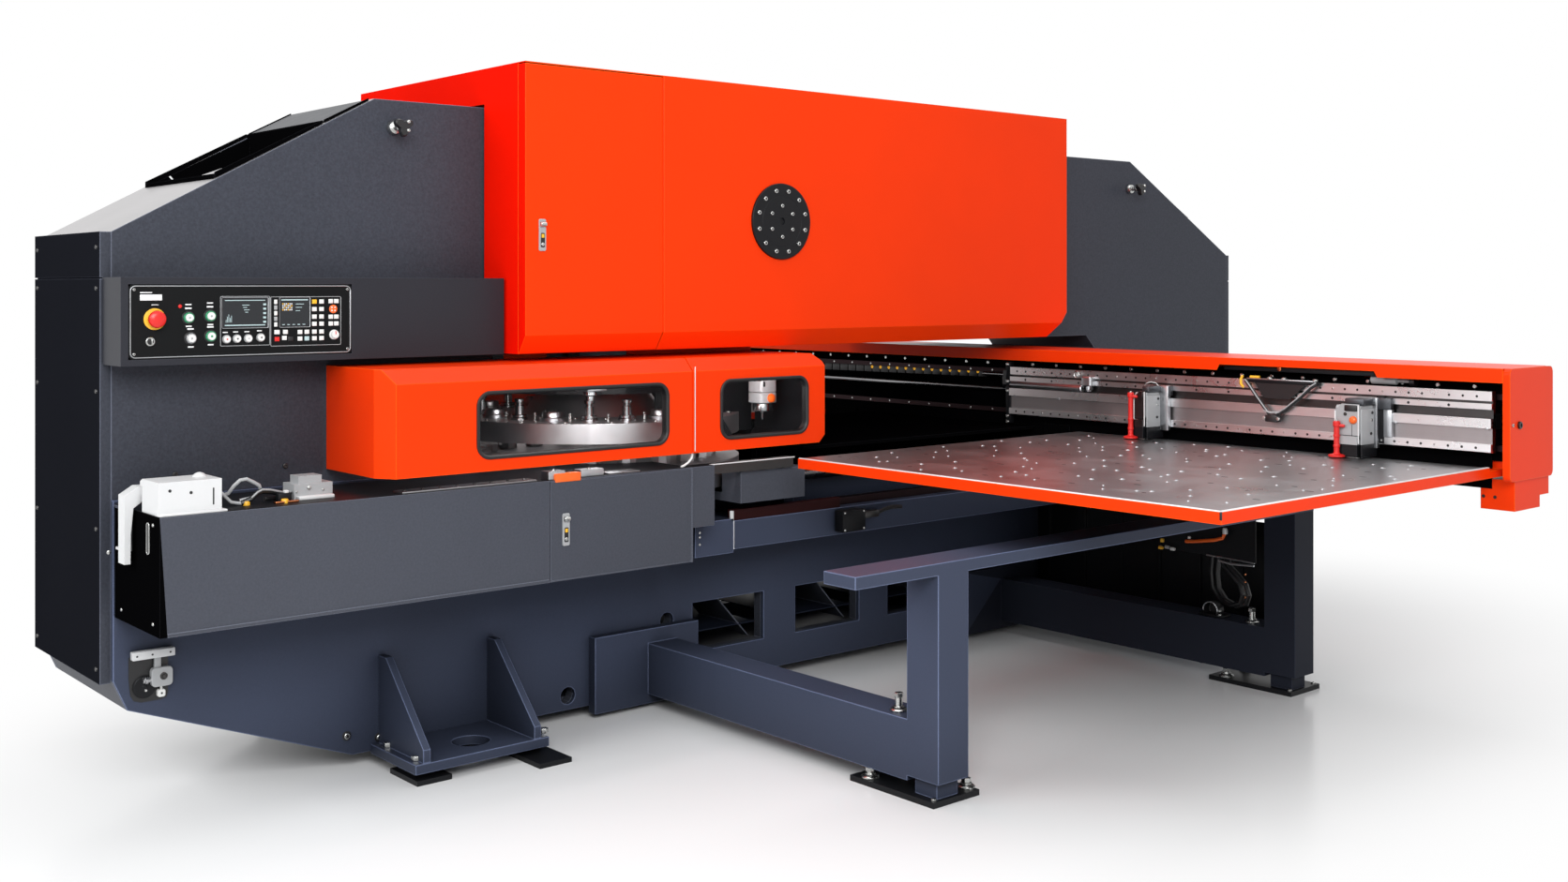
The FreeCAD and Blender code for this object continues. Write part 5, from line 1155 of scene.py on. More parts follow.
@dataclass
class TurretTools:
    """Punches on the upper turret, the strike punch and the index unit beside them."""

    centre: Flat = (0, -930)
    track: float = 432
    stations: int = 20
    top: float = 1063
    slim_top: float = 1140
    wide_top: float = 1098
    strike_lift: float = 42  # how far the punch at the strike point is raised
    tip: float = 964
    wide_every: int = 5

    def place(self, number: int, radius: float) -> Flat:
        """Give the place of a station on a circle round the turret's axis.

        Args:
            number: The station, 0 at the strike point.
            radius: The circle's radius.

        Returns:
            X and Y.
        """
        angle = math.radians(90 + 360 * number / self.stations)
        return (self.centre[0] + radius * math.cos(angle), self.centre[1] + radius * math.sin(angle))

    def slim(self, piece: Workpiece, x: float, y: float, lift: float, ring: Finish) -> None:
        """Add one slim punch guide.

        Args:
            piece: The piece that takes it.
            x: Its place.
            y: Its place.
            lift: How far it is raised over the turret.
            ring: The finish of its stripper ring.
        """
        at = (x, y, self.top + lift)
        piece.turned(
            TURNED, at, Z, [(20.5, -lift - 40), (20.5, 0), (31, 0.4), (31, 8), (29.5, 9.5), (26, 9.5)]
        )
        piece.turned(ring, at, Z, [(26, 9.5), (27.5, 11), (27.5, 18.5), (26, 20), (17, 20)])
        reach = self.slim_top - self.top - lift
        head = [(17, 20), (17, reach - 26), (13, reach - 24), (13, reach - 16), (18.5, reach - 14)]
        head += [(18.5, reach - 3), (16, reach - 0.6), (0, reach - 0.6)]
        piece.turned(TURNED, at, Z, head)

    def wide(self, piece: Workpiece, x: float, y: float) -> None:
        """Add one wide, low punch holder with its ring of screws.

        Args:
            piece: The piece that takes it.
            x: Its place.
            y: Its place.
        """
        at = (x, y, self.top)
        reach = self.wide_top - self.top
        profile = [(43, 0), (44, 1), (44, 12), (42, 14), (37, 14), (36, 16)]
        profile += [(36, reach - 4), (34, reach - 1), (14, reach - 1), (13, reach - 3), (0, reach - 3)]
        piece.turned(ALUMINIUM, at, Z, profile, 36)
        for k in range(4):
            angle = math.pi / 2 * k + 0.6
            place = (x + 25 * math.cos(angle), y + 25 * math.sin(angle), self.top + reach - 1)
            piece.screw(DARK_STEEL, place, Z, 4.2)

    def build(self) -> None:
        """Build the guides that turn with the turret, the strike punch and what is fixed round them."""
        guides = Workpiece("station_tooling")
        for number in range(1, self.stations):
            x, y = self.place(number, self.track)
            if number % self.wide_every in (0, 2):
                self.wide(guides, x, y)
            else:
                self.slim(guides, x, y, 0, COPPER if number % 4 == 0 else TURNED)
        for number in range(self.stations):
            for shift, radius, size in ((0.5, 520, 7), (0.5, 350, 7), (0.22, 536, 4)):
                x, y = self.place(number + shift, radius)
                guides.screw(DARK_STEEL if radius > 530 else ZINC, (x, y, self.top), Z, size)
            x, y = self.place(number + 0.5, self.track)
            guides.turned(ZINC, (x, y, self.top), Z, [(5, 0), (5, 26), (3.6, 28), (0, 28)], 12)
        guides.done("upper_turret", ["punch_guides"])
        punch = Workpiece("raised_punch")
        x, y = self.place(0, self.track)
        self.slim(punch, x, y, self.strike_lift, TURNED)
        low = self.tip - self.top
        tip = [(0, low), (8, low), (8, low + 8), (19, low + 14)]
        punch.turned(TURNED, (x, y, self.top), Z, [*tip, (19, -40), (20, -38), (20, 0)])
        punch.done("strike_punch", ["strike_punch"])
        index = Workpiece("index_unit")
        index.block(ALUMINIUM, (470, -1330, 1184), (560, -1250, 1262), 4)
        index.block(CAST, (480, -1318, 1262), (550, -1262, 1290), 3)
        index.turned(TURNED, (515, -1290, 1184), Z, [(24, 0), (24, -14), (15, -18), (15, -34), (0, -36)])
        for k in (-1, 1):
            index.screw(ZINC, (560, -1290 + 26 * k, 1240), X, 6)
            index.tube(
                RUBBER,
                [(520, -1290 + 70 * k, 1270), (530, -1290 + 60 * k, 1225), (520, -1290 + 42 * k, 1215)], 5,
            )
        index.done()


@dataclass
class WindowSeals:
    """Black rubber profiles round the two windows, and what is seen through the small one."""

    face: float = 728
    low: float = 1014
    high: float = 1207
    corner: float = 37
    turret_window: Flat = (-1844, -1122)
    ram_window: Flat = (-877, -484)
    lap: float = 11
    rise: float = 6
    sink: float = 22

    def seal(self, name: str, ends: Flat, body: str) -> None:
        """Lay one seal round its opening.

        Args:
            name: The piece's name.
            ends: Y of the opening's ends.
            body: The body that carries it.
        """
        piece = Workpiece(name)
        low, high = ((end, level) for end, level in zip(ends, (self.low, self.high)))
        piece.rim(RUBBER, self.face, low, high, self.corner, self.lap, self.rise, self.sink)
        piece.done(body)

    def sensor(self) -> None:
        """The silver head over the sheet: body in two parts, cap, nose ring and stylus."""
        piece = Workpiece("punch_head_unit")
        for low, high in ((1146, 1196), (1106, 1144.5)):
            piece.section(SILVER_COAT, Z, loop_points((468, -550), (550, -470), 12, 4), low, high, 2)
        piece.turned(
            TURNED, (509, -510, 1074), Z, [(0, 0), (33, 0), (37, 3), (37, 26), (35, 31), (0, 31)], 40
        )
        piece.turned(
            TURNED, (509, -510, 1040), Z, [(0, 0), (2, 1), (3.6, 6), (4.4, 10), (4.4, 26), (8, 28), (8, 34)],
            16,
        )
        cap = [(17, 0), (17, 3), (15, 9), (9, 12.5), (0, 13.5)]
        piece.turned(ORANGE_PLASTIC, (550, -503, 1124), X, cap, 24)
        piece.block(BLACK_PLASTIC, (549, -541, 1168), (551, -531, 1188), 0.8)
        piece.block(COPPER, (522, -466, 1104), (530, -460, 1172))
        piece.block(SILVER_COAT, (489, -530, 1196), (530, -500, 1290), 2)
        piece.done("frame", ["punch_sensor"])
        backing = Workpiece("ram_guard_plates")
        backing.block(BLACK_COAT, (352, -900, 990), (360, -440, 1240), 2)
        backing.section(BLACK_COAT, X, [(-860, 1000), (-700, 1000), (-780, 1110), (-860, 1130)], 560, 566, 1)
        backing.screw(ZINC, (566, -760, 1080), X, 5)
        backing.done()

    def build(self) -> None:
        """Build both seals and the head behind the small window."""
        self.seal("turret_window_seal", self.turret_window, "turret_door")
        self.seal("ram_window_seal", self.ram_window, "frame")
        self.sensor()


@dataclass
class HeadTrim:
    """The disc over the shaft's end, the flush paddle latches and the lining of the sloping openings."""

    disc: Flat = (-498, 1787)
    disc_face: float = 610
    disc_radius: float = 142
    outer_ring: tuple[int, float, float] = (12, 116, 8)  # screws, circle and head radius
    inner_ring: tuple[int, float, float] = (6, 58, 7)
    slope_start: float = 2000  # where the sloping tops start, how high they are there, and how they fall
    slope_top: float = 2155
    slope_fall: float = 0.527

    def slope(self, across: float) -> float:
        """Give the height of the sloping tops at a distance from the middle."""
        return self.slope_top - self.slope_fall * (across - self.slope_start)

    def disc_cover(self) -> None:
        """Black disc with a turned step, an outer ring of twelve screws and an inner ring of six."""
        piece = Workpiece("shaft_end_disc")
        rim = self.disc_radius
        profile = [(rim, -10), (rim, -2), (rim - 2, 0), (96, 0), (95, -1), (94, 0), (14, 0)]
        profile += [(12, -6), (0, -6)]
        piece.turned(BLACK_COAT, (self.disc_face, *self.disc), X, profile, 72)
        for count, radius, size in (self.outer_ring, self.inner_ring):
            for k in range(count):
                angle = 2 * math.pi * (k + 0.5) / count
                place = (
                    self.disc_face, self.disc[0] + radius * math.cos(angle),
                    self.disc[1] + radius * math.sin(angle),
                )
                piece.screw(ZINC, place, X, size)
        piece.done("frame", ["disc_cover"])

    def latch(self, name: str, face: float, across: float, low: float) -> None:
        """Silver paddle of a flush latch, with a thumb grip, a lock and a yellow mark.

        Args:
            name: The CAD node that it replaces, which is also its body.
            face: X of the door's face.
            across: Y of its middle.
            low: Z of its lower end.
        """
        paddle = Workpiece(f"{name}_paddle")
        paddle.section(
            SILVER_COAT, X, loop_points((across - 13, low), (across + 13, low + 106), 5, 4), face, face + 6,
            1.2,
        )
        paddle.section(
            BLACK_PLASTIC, X, loop_points((across - 8, low + 12), (across + 8, low + 60), 4, 4), face + 5,
            face + 6.6, 0.4,
        )
        grip = [(0, -11), (7.5, -11), (8.5, -9.5), (8.5, 9.5), (7.5, 11), (0, 11)]
        paddle.turned(ZINC, (face + 9, across, low + 88), Y, grip, 24)
        lock = [(6, 0), (6, 2.2), (5, 3), (0, 3)]
        paddle.turned(ZINC, (face + 6, across, low + 22), X, lock, 20)
        paddle.block(
            YELLOW_PLASTIC, (face + 6.2, across - 5, low + 44), (face + 8, across + 5, low + 56), 0.6
        )
        paddle.done(name, [name])

    def hatches(self) -> None:
        """Line the openings in the sloping tops: near-black frames and walls as painted shade inside them, a
        pale baffle, a stay, a bolted plate.
        """
        piece = Workpiece("hatch_trim")

        def on_slope(finish: Finish, x: Flat, y: Flat, rise: Flat, ease: float = 1) -> None:
            """Lay a strip along the slope, on both ends of the machine."""
            for sign in (1, -1):
                ends = [(y[0], rise[0]), (y[1], rise[0]), (y[1], rise[1]), (y[0], rise[1])]
                outline = [(across * sign, self.slope(across) + up) for across, up in ends]
                piece.section(finish, X, outline, *x, ease)

        # the openings' walls and floor in near-black: painted shade inside the openings
        for x in ((-312, -296), (296, 306)):
            on_slope(SHADE_BLACK, x, (2171, 2512), (-40, 9))
        for x, y, rise in (
            ((-300, 300), (2165, 2175), (-90, 7)), ((-300, 300), (2508, 2516), (-90, 3)),
            ((-268, -262), (2175, 2508), (-260, -4)), ((-262, 262), (2175, 2508), (-262, -256)),
        ):
            on_slope(SHADE_BLACK, x, y, rise)
        for sign in (1, -1):
            corners = [(50, 2502), (294, 2502), (294, 2360)]
            baffle = [(x, y * sign, self.slope(y) - 8 - down) for down in (0, 4) for x, y in corners]
            piece.take(SLOPE_SHEET, baffle, [(0, 1, 2), (5, 4, 3), (0, 3, 4, 1), (1, 4, 5, 2), (2, 5, 3, 0)])
            stay = [(-200, 2470, 1908), (-190, 2462, 1895), (-150, 2458, 1880)]
            piece.tube(WHITE_COAT, [(x, y * sign, z) for x, y, z in stay], 3)
        on_slope(CAST, (-300, 300), (2012, 2160), (0.5, 4))
        for x in ((-306, -300), (300, 306)):
            on_slope(SHADE_BLACK, x, (2010, 2162), (0, 8))
        piece.done()

    def build(self) -> None:
        """Build the disc's cover, both latches and the hatches' trim."""
        self.disc_cover()
        self.hatches()
        self.latch("head_latch", 600, -1538, 1662)
        self.latch("side_latch", 713, -1519, 700)


# ---------------------------------------------------------------- beside the base


@dataclass
class SideBoxTrim:
    """What stands on and beside the +X side box: blocks under the cover, unit details, cables."""

    top: float = 916
    end: float = -2819

    def blocks(self) -> None:
        """Ground blocks, the orange stop block, strips, the white tube under the turret cover, and a thin pale
        line from it up the cover's seam that is a painted highlight.
        """
        piece = Workpiece("box_top_blocks")
        for low, high, up in ((-1579, -1515, 944), (-1454, -1364, 940)):
            piece.block(ALUMINIUM, (660, low, self.top), (706, high, up), 2)
            piece.screw(ZINC, (683, (low + high) / 2, up), Z, 6)
        piece.block(ORANGE_PLASTIC, (690, -1559, 908), (716, -1460, 936), 3)
        piece.block(GROUND_Y, (640, -2092, self.top), (700, -1620, self.top + 6))
        piece.block(GROUND_Y, (640, -1340, self.top), (700, -1211, self.top + 5))
        for k in range(8):
            piece.screw(DARK_STEEL, (670, -2070 + 60 * k, self.top + 6), Z, 5)
        tube = [(706, -1043, 920), (707, -1030, 924), (710, -1014, 934), (712, -1001, 948), (713, -998, 964)]
        piece.tube(PALE_PLASTIC, tube, 4)
        # a thin pale line up the turret cover's seam: painted highlight
        piece.tube(PALE_PLASTIC, [tube[-1], (728.5, -999, 974), (729, -999, 1266)], 1.8, steps=6)
        piece.done()

    def box_end(self) -> None:
        """Handle slot, drawn as a flat black plate for painted shade, and screws on the box's end, and its
        bright corner post.
        """
        piece = Workpiece("box_end_fittings")
        # the handle slot is a flat black plate: painted shade in the slot
        slot = loop_points((612, 806), (632, 892), 8, 4)
        piece.section(BLACK_PLASTIC, Y, slot, self.end - 1.5, self.end, 0.4)
        piece.tube(ZINC, [(x, self.end - 1, z) for x, z in slot], 1.6, closed=True, steps=6)
        for x, z in ((660, 890), (660, 618), (400, 618)):
            piece.turned(ZINC, (x, self.end, z), Y, [(5, 0), (4, -2.2), (0, -2.6)], 14)
        piece.block(ALUMINIUM, (478, self.end - 8, 797), (496, self.end, 911), 2)
        piece.block(WHITE_COAT, (430, self.end - 26, 798), (478, self.end, 806), 2)
        piece.block(SLATE, (344, self.end - 3, 906), (478, self.end + 60, 914), 1.5)
        piece.done()

    def unit(self) -> None:
        """Flange, screw holes and vertical slot drawn as black marks for painted shade, the bump of the white
        unit, and its arm's boss.
        """
        piece = Workpiece("air_unit_details")
        piece.block(WHITE_COAT, (668, -2818, self.top), (708, -2630, self.top + 7), 2)
        # the screw holes and the slot are flat black marks: painted shade in them
        for y, z in ((-2784, 984), (-2726, 975)):
            piece.turned(BLACK_PLASTIC, (690, y, z), X, [(4.4, 0), (4.4, 0.7), (0, 0.7)], 16)
        piece.section(BLACK_PLASTIC, X, loop_points((-2665.5, 936), (-2661.5, 984), 2, 3), 690, 690.8, 0.2)
        dome = [(19, 0), (19, 3), (12, 9), (4, 12), (0, 12.5)]
        piece.turned(WHITE_COAT, (606, -2672, 1008), Z, dome, 24)
        boss = [(18, -6), (18, 9), (15, 13), (7, 15), (0, 15)]
        piece.turned(WHITE_COAT, (495, -2780, 984), Z, boss, 28)
        piece.turned(ZINC, (520.5, -2892, 806), X, [(6, 0), (6, 2), (3, 3), (0, 3)], 16)
        piece.turned(ZINC, (520.5, -2760, 960), X, [(5, 0), (4, 2), (0, 2)], 16)
        for z in (946, 962):
            piece.turned(ALUMINIUM, (560, -2640, z), Y, [(0, 0), (8, 0), (8, 16), (6, 20), (0, 20)], 18)
        piece.done()

    def cables(self) -> None:
        """Grey and black leads that loop from the unit to the valve block, with their fittings."""
        piece = Workpiece("unit_leads")
        grey = [
            (560, -2620, 946), (575, -2600, 943), (592, -2584, 950), (604, -2572, 972), (610, -2556, 988),
            (612, -2538, 990),
        ]
        grey += [
            (612, -2516, 978), (610, -2500, 968), (606, -2494, 955), (600, -2500, 942), (590, -2520, 930),
            (580, -2545, 925),
        ]
        piece.tube(SILVER_COAT, grey, 5.5)
        second = [
            (560, -2620, 962), (572, -2602, 958), (590, -2590, 940), (606, -2580, 926), (620, -2556, 922)
        ]
        piece.tube(SILVER_COAT, second, 5)
        black = [
            (620, -2556, 922), (622, -2530, 932), (620, -2512, 946), (616, -2496, 952), (610, -2470, 949),
            (600, -2430, 938), (580, -2395, 934),
        ]
        piece.tube(BLACK_PLASTIC, black, 8)
        piece.tube(SILVER_COAT, [(x + 7, y, z + 5) for x, y, z in black[1:]], 3)
        piece.tube(BLACK_PLASTIC, [(600, -2480, 926), (590, -2440, 924), (570, -2392, 928)], 7)
        for x, y in ((621, -2543), (650, -2440)):
            cap = [(11, 0), (11, 8), (9, 12), (0, 13)]
            piece.turned(YELLOW_PLASTIC, (x, y, self.top), Z, cap, 20)
        piece.block(COPPER, (640, -2471, self.top), (660, -2400, self.top + 7), 2)
        piece.block(WHITE_COAT, (600, -2386, self.top), (628, -2276, self.top + 10), 2)
        piece.block(BLACK_COAT, (612, -2452, self.top), (634, -2412, self.top + 26), 2)
        piece.block(WHITE_COAT, (618, -2432, self.top + 26), (632, -2420, self.top + 34), 1.5)
        piece.turned(ZINC, (600, -2345, 948), X, [(6, 0), (6, 5), (4, 6), (0, 6)], 16)
        for y in (-2382, -2300):
            piece.screw(ZINC, (600.5, y, 938), X, 3.6)
        piece.done()

    def build(self) -> None:
        """Build all of it."""
        self.blocks()
        self.box_end()
        self.unit()
        self.cables()


@dataclass
class BaseTrim:
    """Roller bracket, screws, baffles, studs, levelling bolts, and the tray and bracket of the leads."""

    face: float = 343
    windows: tuple[float, ...] = (-715, -200, 315)
    window_wide: float = 350
    tray: tuple[float, float] = (344, 1660)
    tray_ribs: int = 7
    rib_pitch: float = 200

    def corner_roller(self) -> None:
        """A black plate that stands for a recess, as painted shade, with a white bar, a hanging block with a
        ringed pin, a cap and a round plate.
        """
        piece = Workpiece("corner_roller_bracket")
        outline = [(-2781, 450), (-2781, 400), (-2776, 352), (-2766, 334), (-2745, 327)]
        outline += [(-2690, 327), (-2672, 332), (-2667, 345), (-2667, 462), (-2781, 462)]
        # a flat black plate for the recess: painted shade
        piece.section(BLACK_PLASTIC, X, outline, self.face - 1, self.face + 1.2, 0.4)
        disc = [(33, 0), (33, 5), (30, 7), (8, 7), (6, 9), (0, 9)]
        piece.turned(BLACK_COAT, (self.face + 1, -2737, 372), X, disc, 36)
        piece.turned(ZINC, (self.face + 8, -2734, 362), X, [(4.5, 0), (3.4, 3), (0, 3.4)], 12)
        piece.block(WHITE_COAT, (self.face, -2776, 456), (self.face + 24, -2654, 480), 2)
        # holes in the white bar as black discs: painted shade in them
        for y in (-2764, -2720, -2668):
            piece.turned(BLACK_PLASTIC, (self.face + 24, y, 468), X, [(3, 0), (3, 0.5), (0, 0.5)], 12)
        piece.block(SILVER_COAT, (self.face + 4, -2711, 420), (self.face + 15, -2692, 458), 1.5)
        piece.section(
            SILVER_COAT, X, loop_points((-2721, 370), (-2660, 426), 12, 5), self.face + 1, self.face + 22, 1.5
        )
        ring = [(11, 0), (11, 2), (8, 2.6), (7, 1), (5, 1), (4, 3.4), (0, 3.4)]
        piece.turned(DARK_STEEL, (self.face + 22, -2687, 400), X, ring, 28)
        piece.turned(
            TURNED, (self.face + 10, -2744, 392), Y,
            [(0, 0), (9, 0), (9, 5), (12, 6), (12, 14), (9, 16), (9, 24)], 20,
        )
        piece.turned(ZINC, (self.face + 12, -2691, 357), Z, [(0, 0), (5, 0), (5, 14)], 14)
        piece.section(
            PALE_PLASTIC, X, loop_points((-2702, 338), (-2680, 360), 6, 4), self.face + 1, self.face + 18, 1.5
        )
        # a hole as a black disc: painted shade in it
        piece.turned(BLACK_PLASTIC, (self.face + 18, -2691, 349), X, [(3, 0), (3, 0.5), (0, 0.5)], 12)
        piece.done()

    def screws(self) -> None:
        """Single screws and plugs on the base, the covers' ends and the brackets."""
        piece = Workpiece("base_screws")
        for y, z in ((-2104, 109), (-1993, 84), (-1560, 109), (2104, 109)):
            piece.turned(BLACK_PLASTIC, (self.face, y, z), X, [(15, 0), (15, 1.5), (11, 2)], 24)
            piece.screw(ZINC, (self.face + 1, y, z), X, 10)
        for y in (-2015, -1550):
            for x in (410, 600):
                piece.nut(ZINC, (x, y + 20, 68), Z, 30, 16)
        for x in (-290, 290):
            for z in (432, 840, 1240, 1540, 1660):
                piece.turned(DARK_STEEL, (x, -2854, z), Y, [(7, 0), (6, -3), (0, -4)], 14)
        for y in (-2640, -2300):
            piece.screw(DARK_STEEL, (325, y, 985), X, 8)
        piece.done()

    def baffles(self) -> None:
        """Sheets behind the base's windows, drawn dark as painted shade inside the base: a level one, and one
        that slopes to the far lower corner.
        """
        piece = Workpiece("base_baffles")
        for start in self.windows:
            # the level sheet in the darker slate: painted shade
            piece.block(
                SLATE_SHADE, (-284.5, start - 4, 221), (284.5, start + self.window_wide + 4, 225), 0.5
            )
            slope = [(start + 150, 352), (start + 316, 172), (start + 322, 172), (start + 156, 352)]
            piece.section(SLATE, X, slope, 40, 284, 0.5)
        piece.done()

    def studs(self) -> None:
        """Lifting studs: bright flange and neck, a black three-lobed knob and two small screws."""
        piece = Workpiece("sling_studs")
        for y, z in ((-1934, 2064), (1990, 2020)):
            for sign in (1, -1):
                flange = [(22, 0), (24, 4), (24, 12), (20, 20), (11, 24), (10, 34)]
                flange += [(14, 40), (14, 52), (8, 56), (8, 62)]
                turned = [(radius, out * sign) for radius, out in flange]
                piece.turned(ZINC, (325 * sign, y, z), X, turned, 32)
                lobes = []
                for k in range(36):
                    angle = 2 * math.pi * k / 36
                    reach = 25 + 9 * math.cos(3 * angle - math.pi / 2)
                    lobes.append((y + reach * math.cos(angle), z + reach * math.sin(angle)))
                inner, outer = sorted((385 * sign, 409 * sign))
                piece.section(BLACK_PLASTIC, X, lobes, inner, outer, 4)
                for up in (-14, 14):
                    cap = [(6, 0), (6, 2.5 * sign), (4, 5 * sign), (0, 5 * sign)]
                    piece.turned(ZINC, (409 * sign, y + 13, z + up), X, cap, 14)
        piece.done("frame", ["lifting_studs"])

    def bolt(self, piece: Workpiece, place: Point, high: float) -> None:
        """Stand one levelling bolt on its broad washer.

        Args:
            piece: The piece that takes it.
            place: The middle of the washer's lower face.
            high: How high the bolt's head ends.
        """
        x, y, z = place
        washer = [(27, 0), (28, 1.5), (28, 5), (24, 8), (13, 8.5)]
        piece.turned(ZINC, place, Z, washer, 30)
        piece.turned(BLACK_PLASTIC, (x, y, z + 8), Z, [(19, 0), (20, 1.5), (19, 4), (12, 4)], 24)
        piece.turned(ZINC, (x, y, z + 12), Z, [(17, 0), (17, 3), (11.5, 3.5), (11.5, high - 26)], 24)
        piece.nut(ZINC, (x, y, z + high - 14), Z, 30, 14)

    def feet(self) -> None:
        """Levelling bolts on the stands' feet and on top of their arms, and rubber stops under the arms."""
        piece = Workpiece("foot_bolts")
        for sign in (1, -1):
            for y in (-789, -929, 1144, 1004):
                self.bolt(piece, (1530 * sign, y, 18), 34)
        piece.done("frame", ["levelling_bolts"])
        more = Workpiece("arm_bolts")
        for sign in (1, -1):
            for y in (-899, 1034):
                self.bolt(more, (1625 * sign, y, 240), 56)
                stop = [(16, 0), (16, -9), (13, -12), (0, -12)]
                more.turned(RUBBER, (1400 * sign, y, 55), Z, stop, 18)
            for y, x in ((-940, 1812), (-780, 1812), (993, 1812), (1160, 1812), (-780, 1490)):
                more.screw(ZINC, (x * sign, y, 18), Z, 9)
            self.bolt(more, (1790 * sign, -775, 18), 30)
        more.done()

    def under_table(self) -> None:
        """Junction boxes, conduit and a hose on the rail beam and the stand under the table, and thin white
        lines that are painted highlights on the rail beam's corner and the bar's top edge.
        """
        piece = Workpiece("beam_junctions")
        piece.block(BLACK_COAT, (590, -215, 598), (640, -95, 680), 4)
        piece.block(DARK_STEEL, (600, -95, 640), (628, -10, 668), 3)
        piece.tube(BLACK_PLASTIC, [(616, -12, 654), (622, 20, 664), (628, 60, 672), (628, 110, 668)], 8)
        for y in (-205, -105):
            for z in (606, 672):
                piece.turned(ZINC, (640, y, z), X, [(4, 0), (3, 2), (0, 2)], 12)
        piece.block(WHITE_COAT, (590, -735, 690), (600, -722, 726))
        # a thin white line up the rail beam's corner: painted highlight
        piece.block(PRINT_WHITE, (599, -723.5, 586), (601.5, -721, 690), 0.8)
        # a white strip along the bar's top edge: painted highlight
        piece.block(PRINT_WHITE, (659, -901, 909), (662.5, -482, 913), 0.8)
        for z in (662, 646, 620):
            piece.turned(ZINC, (600, -880, z), X, [(5, 0), (4, 2.4), (0, 3)], 14)
        for y in (-890, -870):
            piece.screw(DARK_STEEL, (660, y, 894), X, 7)
        piece.done()

    def lead_tray(self) -> None:
        """Black tray behind the far arm of the +X stand, where the table's leads run."""
        piece = Workpiece("lead_tray")
        start, end = self.tray
        for low, high in (((1284, 196), (1290, 590)), ((1122, 190), (1290, 196)), ((1122, 190), (1127, 236))):
            piece.block(BLACK_COAT, (start, *low), (end, *high), 1.5)
        for k in range(self.tray_ribs):
            x = 420 + self.rib_pitch * k
            piece.block(BLACK_COAT, (x, 1270, 196), (x + 8, 1286, 580))
            piece.turned(ZINC, (x + 30, 1284, 560), Y, [(6, 0), (5, -4), (0, -4.5)], 12)
        clamp = [(30, 0), (34, 2), (34, 44), (30, 46), (26, 46), (24, 40), (0, 40)]
        piece.turned(BLACK_PLASTIC, (1450, 1012, 262), Y, clamp, 28)
        rim = [
            (1450 + 33 * math.cos(a * math.pi / 12), 1013, 262 + 33 * math.sin(a * math.pi / 12))
            for a in range(13)
        ]
        piece.tube(ALUMINIUM, rim, 2.5)
        piece.block(BLACK_COAT, (1400, 1004, 240), (1510, 1066, 248), 1.5)
        for up in (252, 268):
            piece.turned(ZINC, (1500, 1000, up), Y, [(5, 6), (5, 0), (3, -3), (0, -3)], 12)
        piece.done()

    def lead_bracket(self) -> None:
        """Dark plate under the beam with connectors, an orange hose and looped black hoses."""
        piece = Workpiece("beam_lead_bracket")
        outline = [(1190, 716), (1190, 520), (1240, 478), (1640, 470), (1640, 716)]
        piece.section(BLACK_COAT, Y, outline, 1034, 1040, 1)
        piece.tube(ALUMINIUM, [(1420, 1032, 476), (1520, 1032, 474), (1637, 1032, 470)], 3)
        piece.tube(ALUMINIUM, [(1480, 1024, 462), (1540, 1022, 456), (1636, 1030, 460)], 4)
        for x, z, finish in (
            (1205, 480, YELLOW_PLASTIC), (1236, 486, SILVER_COAT), (1262, 482, PALE_PLASTIC)
        ):
            piece.turned(finish, (x, 1016, z), X, [(0, 0), (7, 1), (7, 16), (5, 20), (0, 20)], 16)
        piece.turned(YELLOW_PLASTIC, (1225, 1010, 505), Z, [(0, 0), (8, 0), (8, 10), (5, 14), (0, 14)], 16)
        orange = [
            (1340, 1008, 522), (1380, 1002, 527), (1430, 1000, 536), (1480, 1000, 545), (1514, 1002, 556),
            (1524, 1004, 578),
        ]
        piece.tube(ORANGE_PLASTIC, orange, 7)
        piece.turned(PALE_PLASTIC, (1524, 1004, 574), Z, [(0, 0), (10, 0), (11, 12), (8, 22), (0, 24)], 20)
        piece.turned(PALE_PLASTIC, (1360, 1002, 536), Z, [(0, 0), (6, 0), (6, 8), (0, 10)], 16)
        for shift in (0, 26):
            route = [
                (1470 + shift, 1060, 470), (1490 + shift, 1052, 438), (1530 + shift, 1046, 410),
                (1566 + shift, 1042, 380),
            ]
            route += [
                (1580 + shift, 1042, 340), (1566 + shift, 1046, 304), (1520 + shift, 1056, 286),
                (1460 + shift, 1070, 300),
            ]
            route += [(1420 + shift, 1080, 340), (1410 + shift, 1084, 400), (1420 + shift, 1080, 470)]
            piece.tube(BLACK_PLASTIC, route, 11)
        for k in range(4):
            piece.turned(COPPER, (1592, 1036, 330 + 30 * k), Y, [(4, 4), (4, 0), (0, -2)], 10)
        piece.done("beam")

    def build(self) -> None:
        """Build all of it."""
        self.lead_tray()
        self.lead_bracket()
        self.corner_roller()
        self.screws()
        self.baffles()
        self.studs()
        self.feet()
        self.under_table()


# ---------------------------------------------------------------- table, beam and clamps


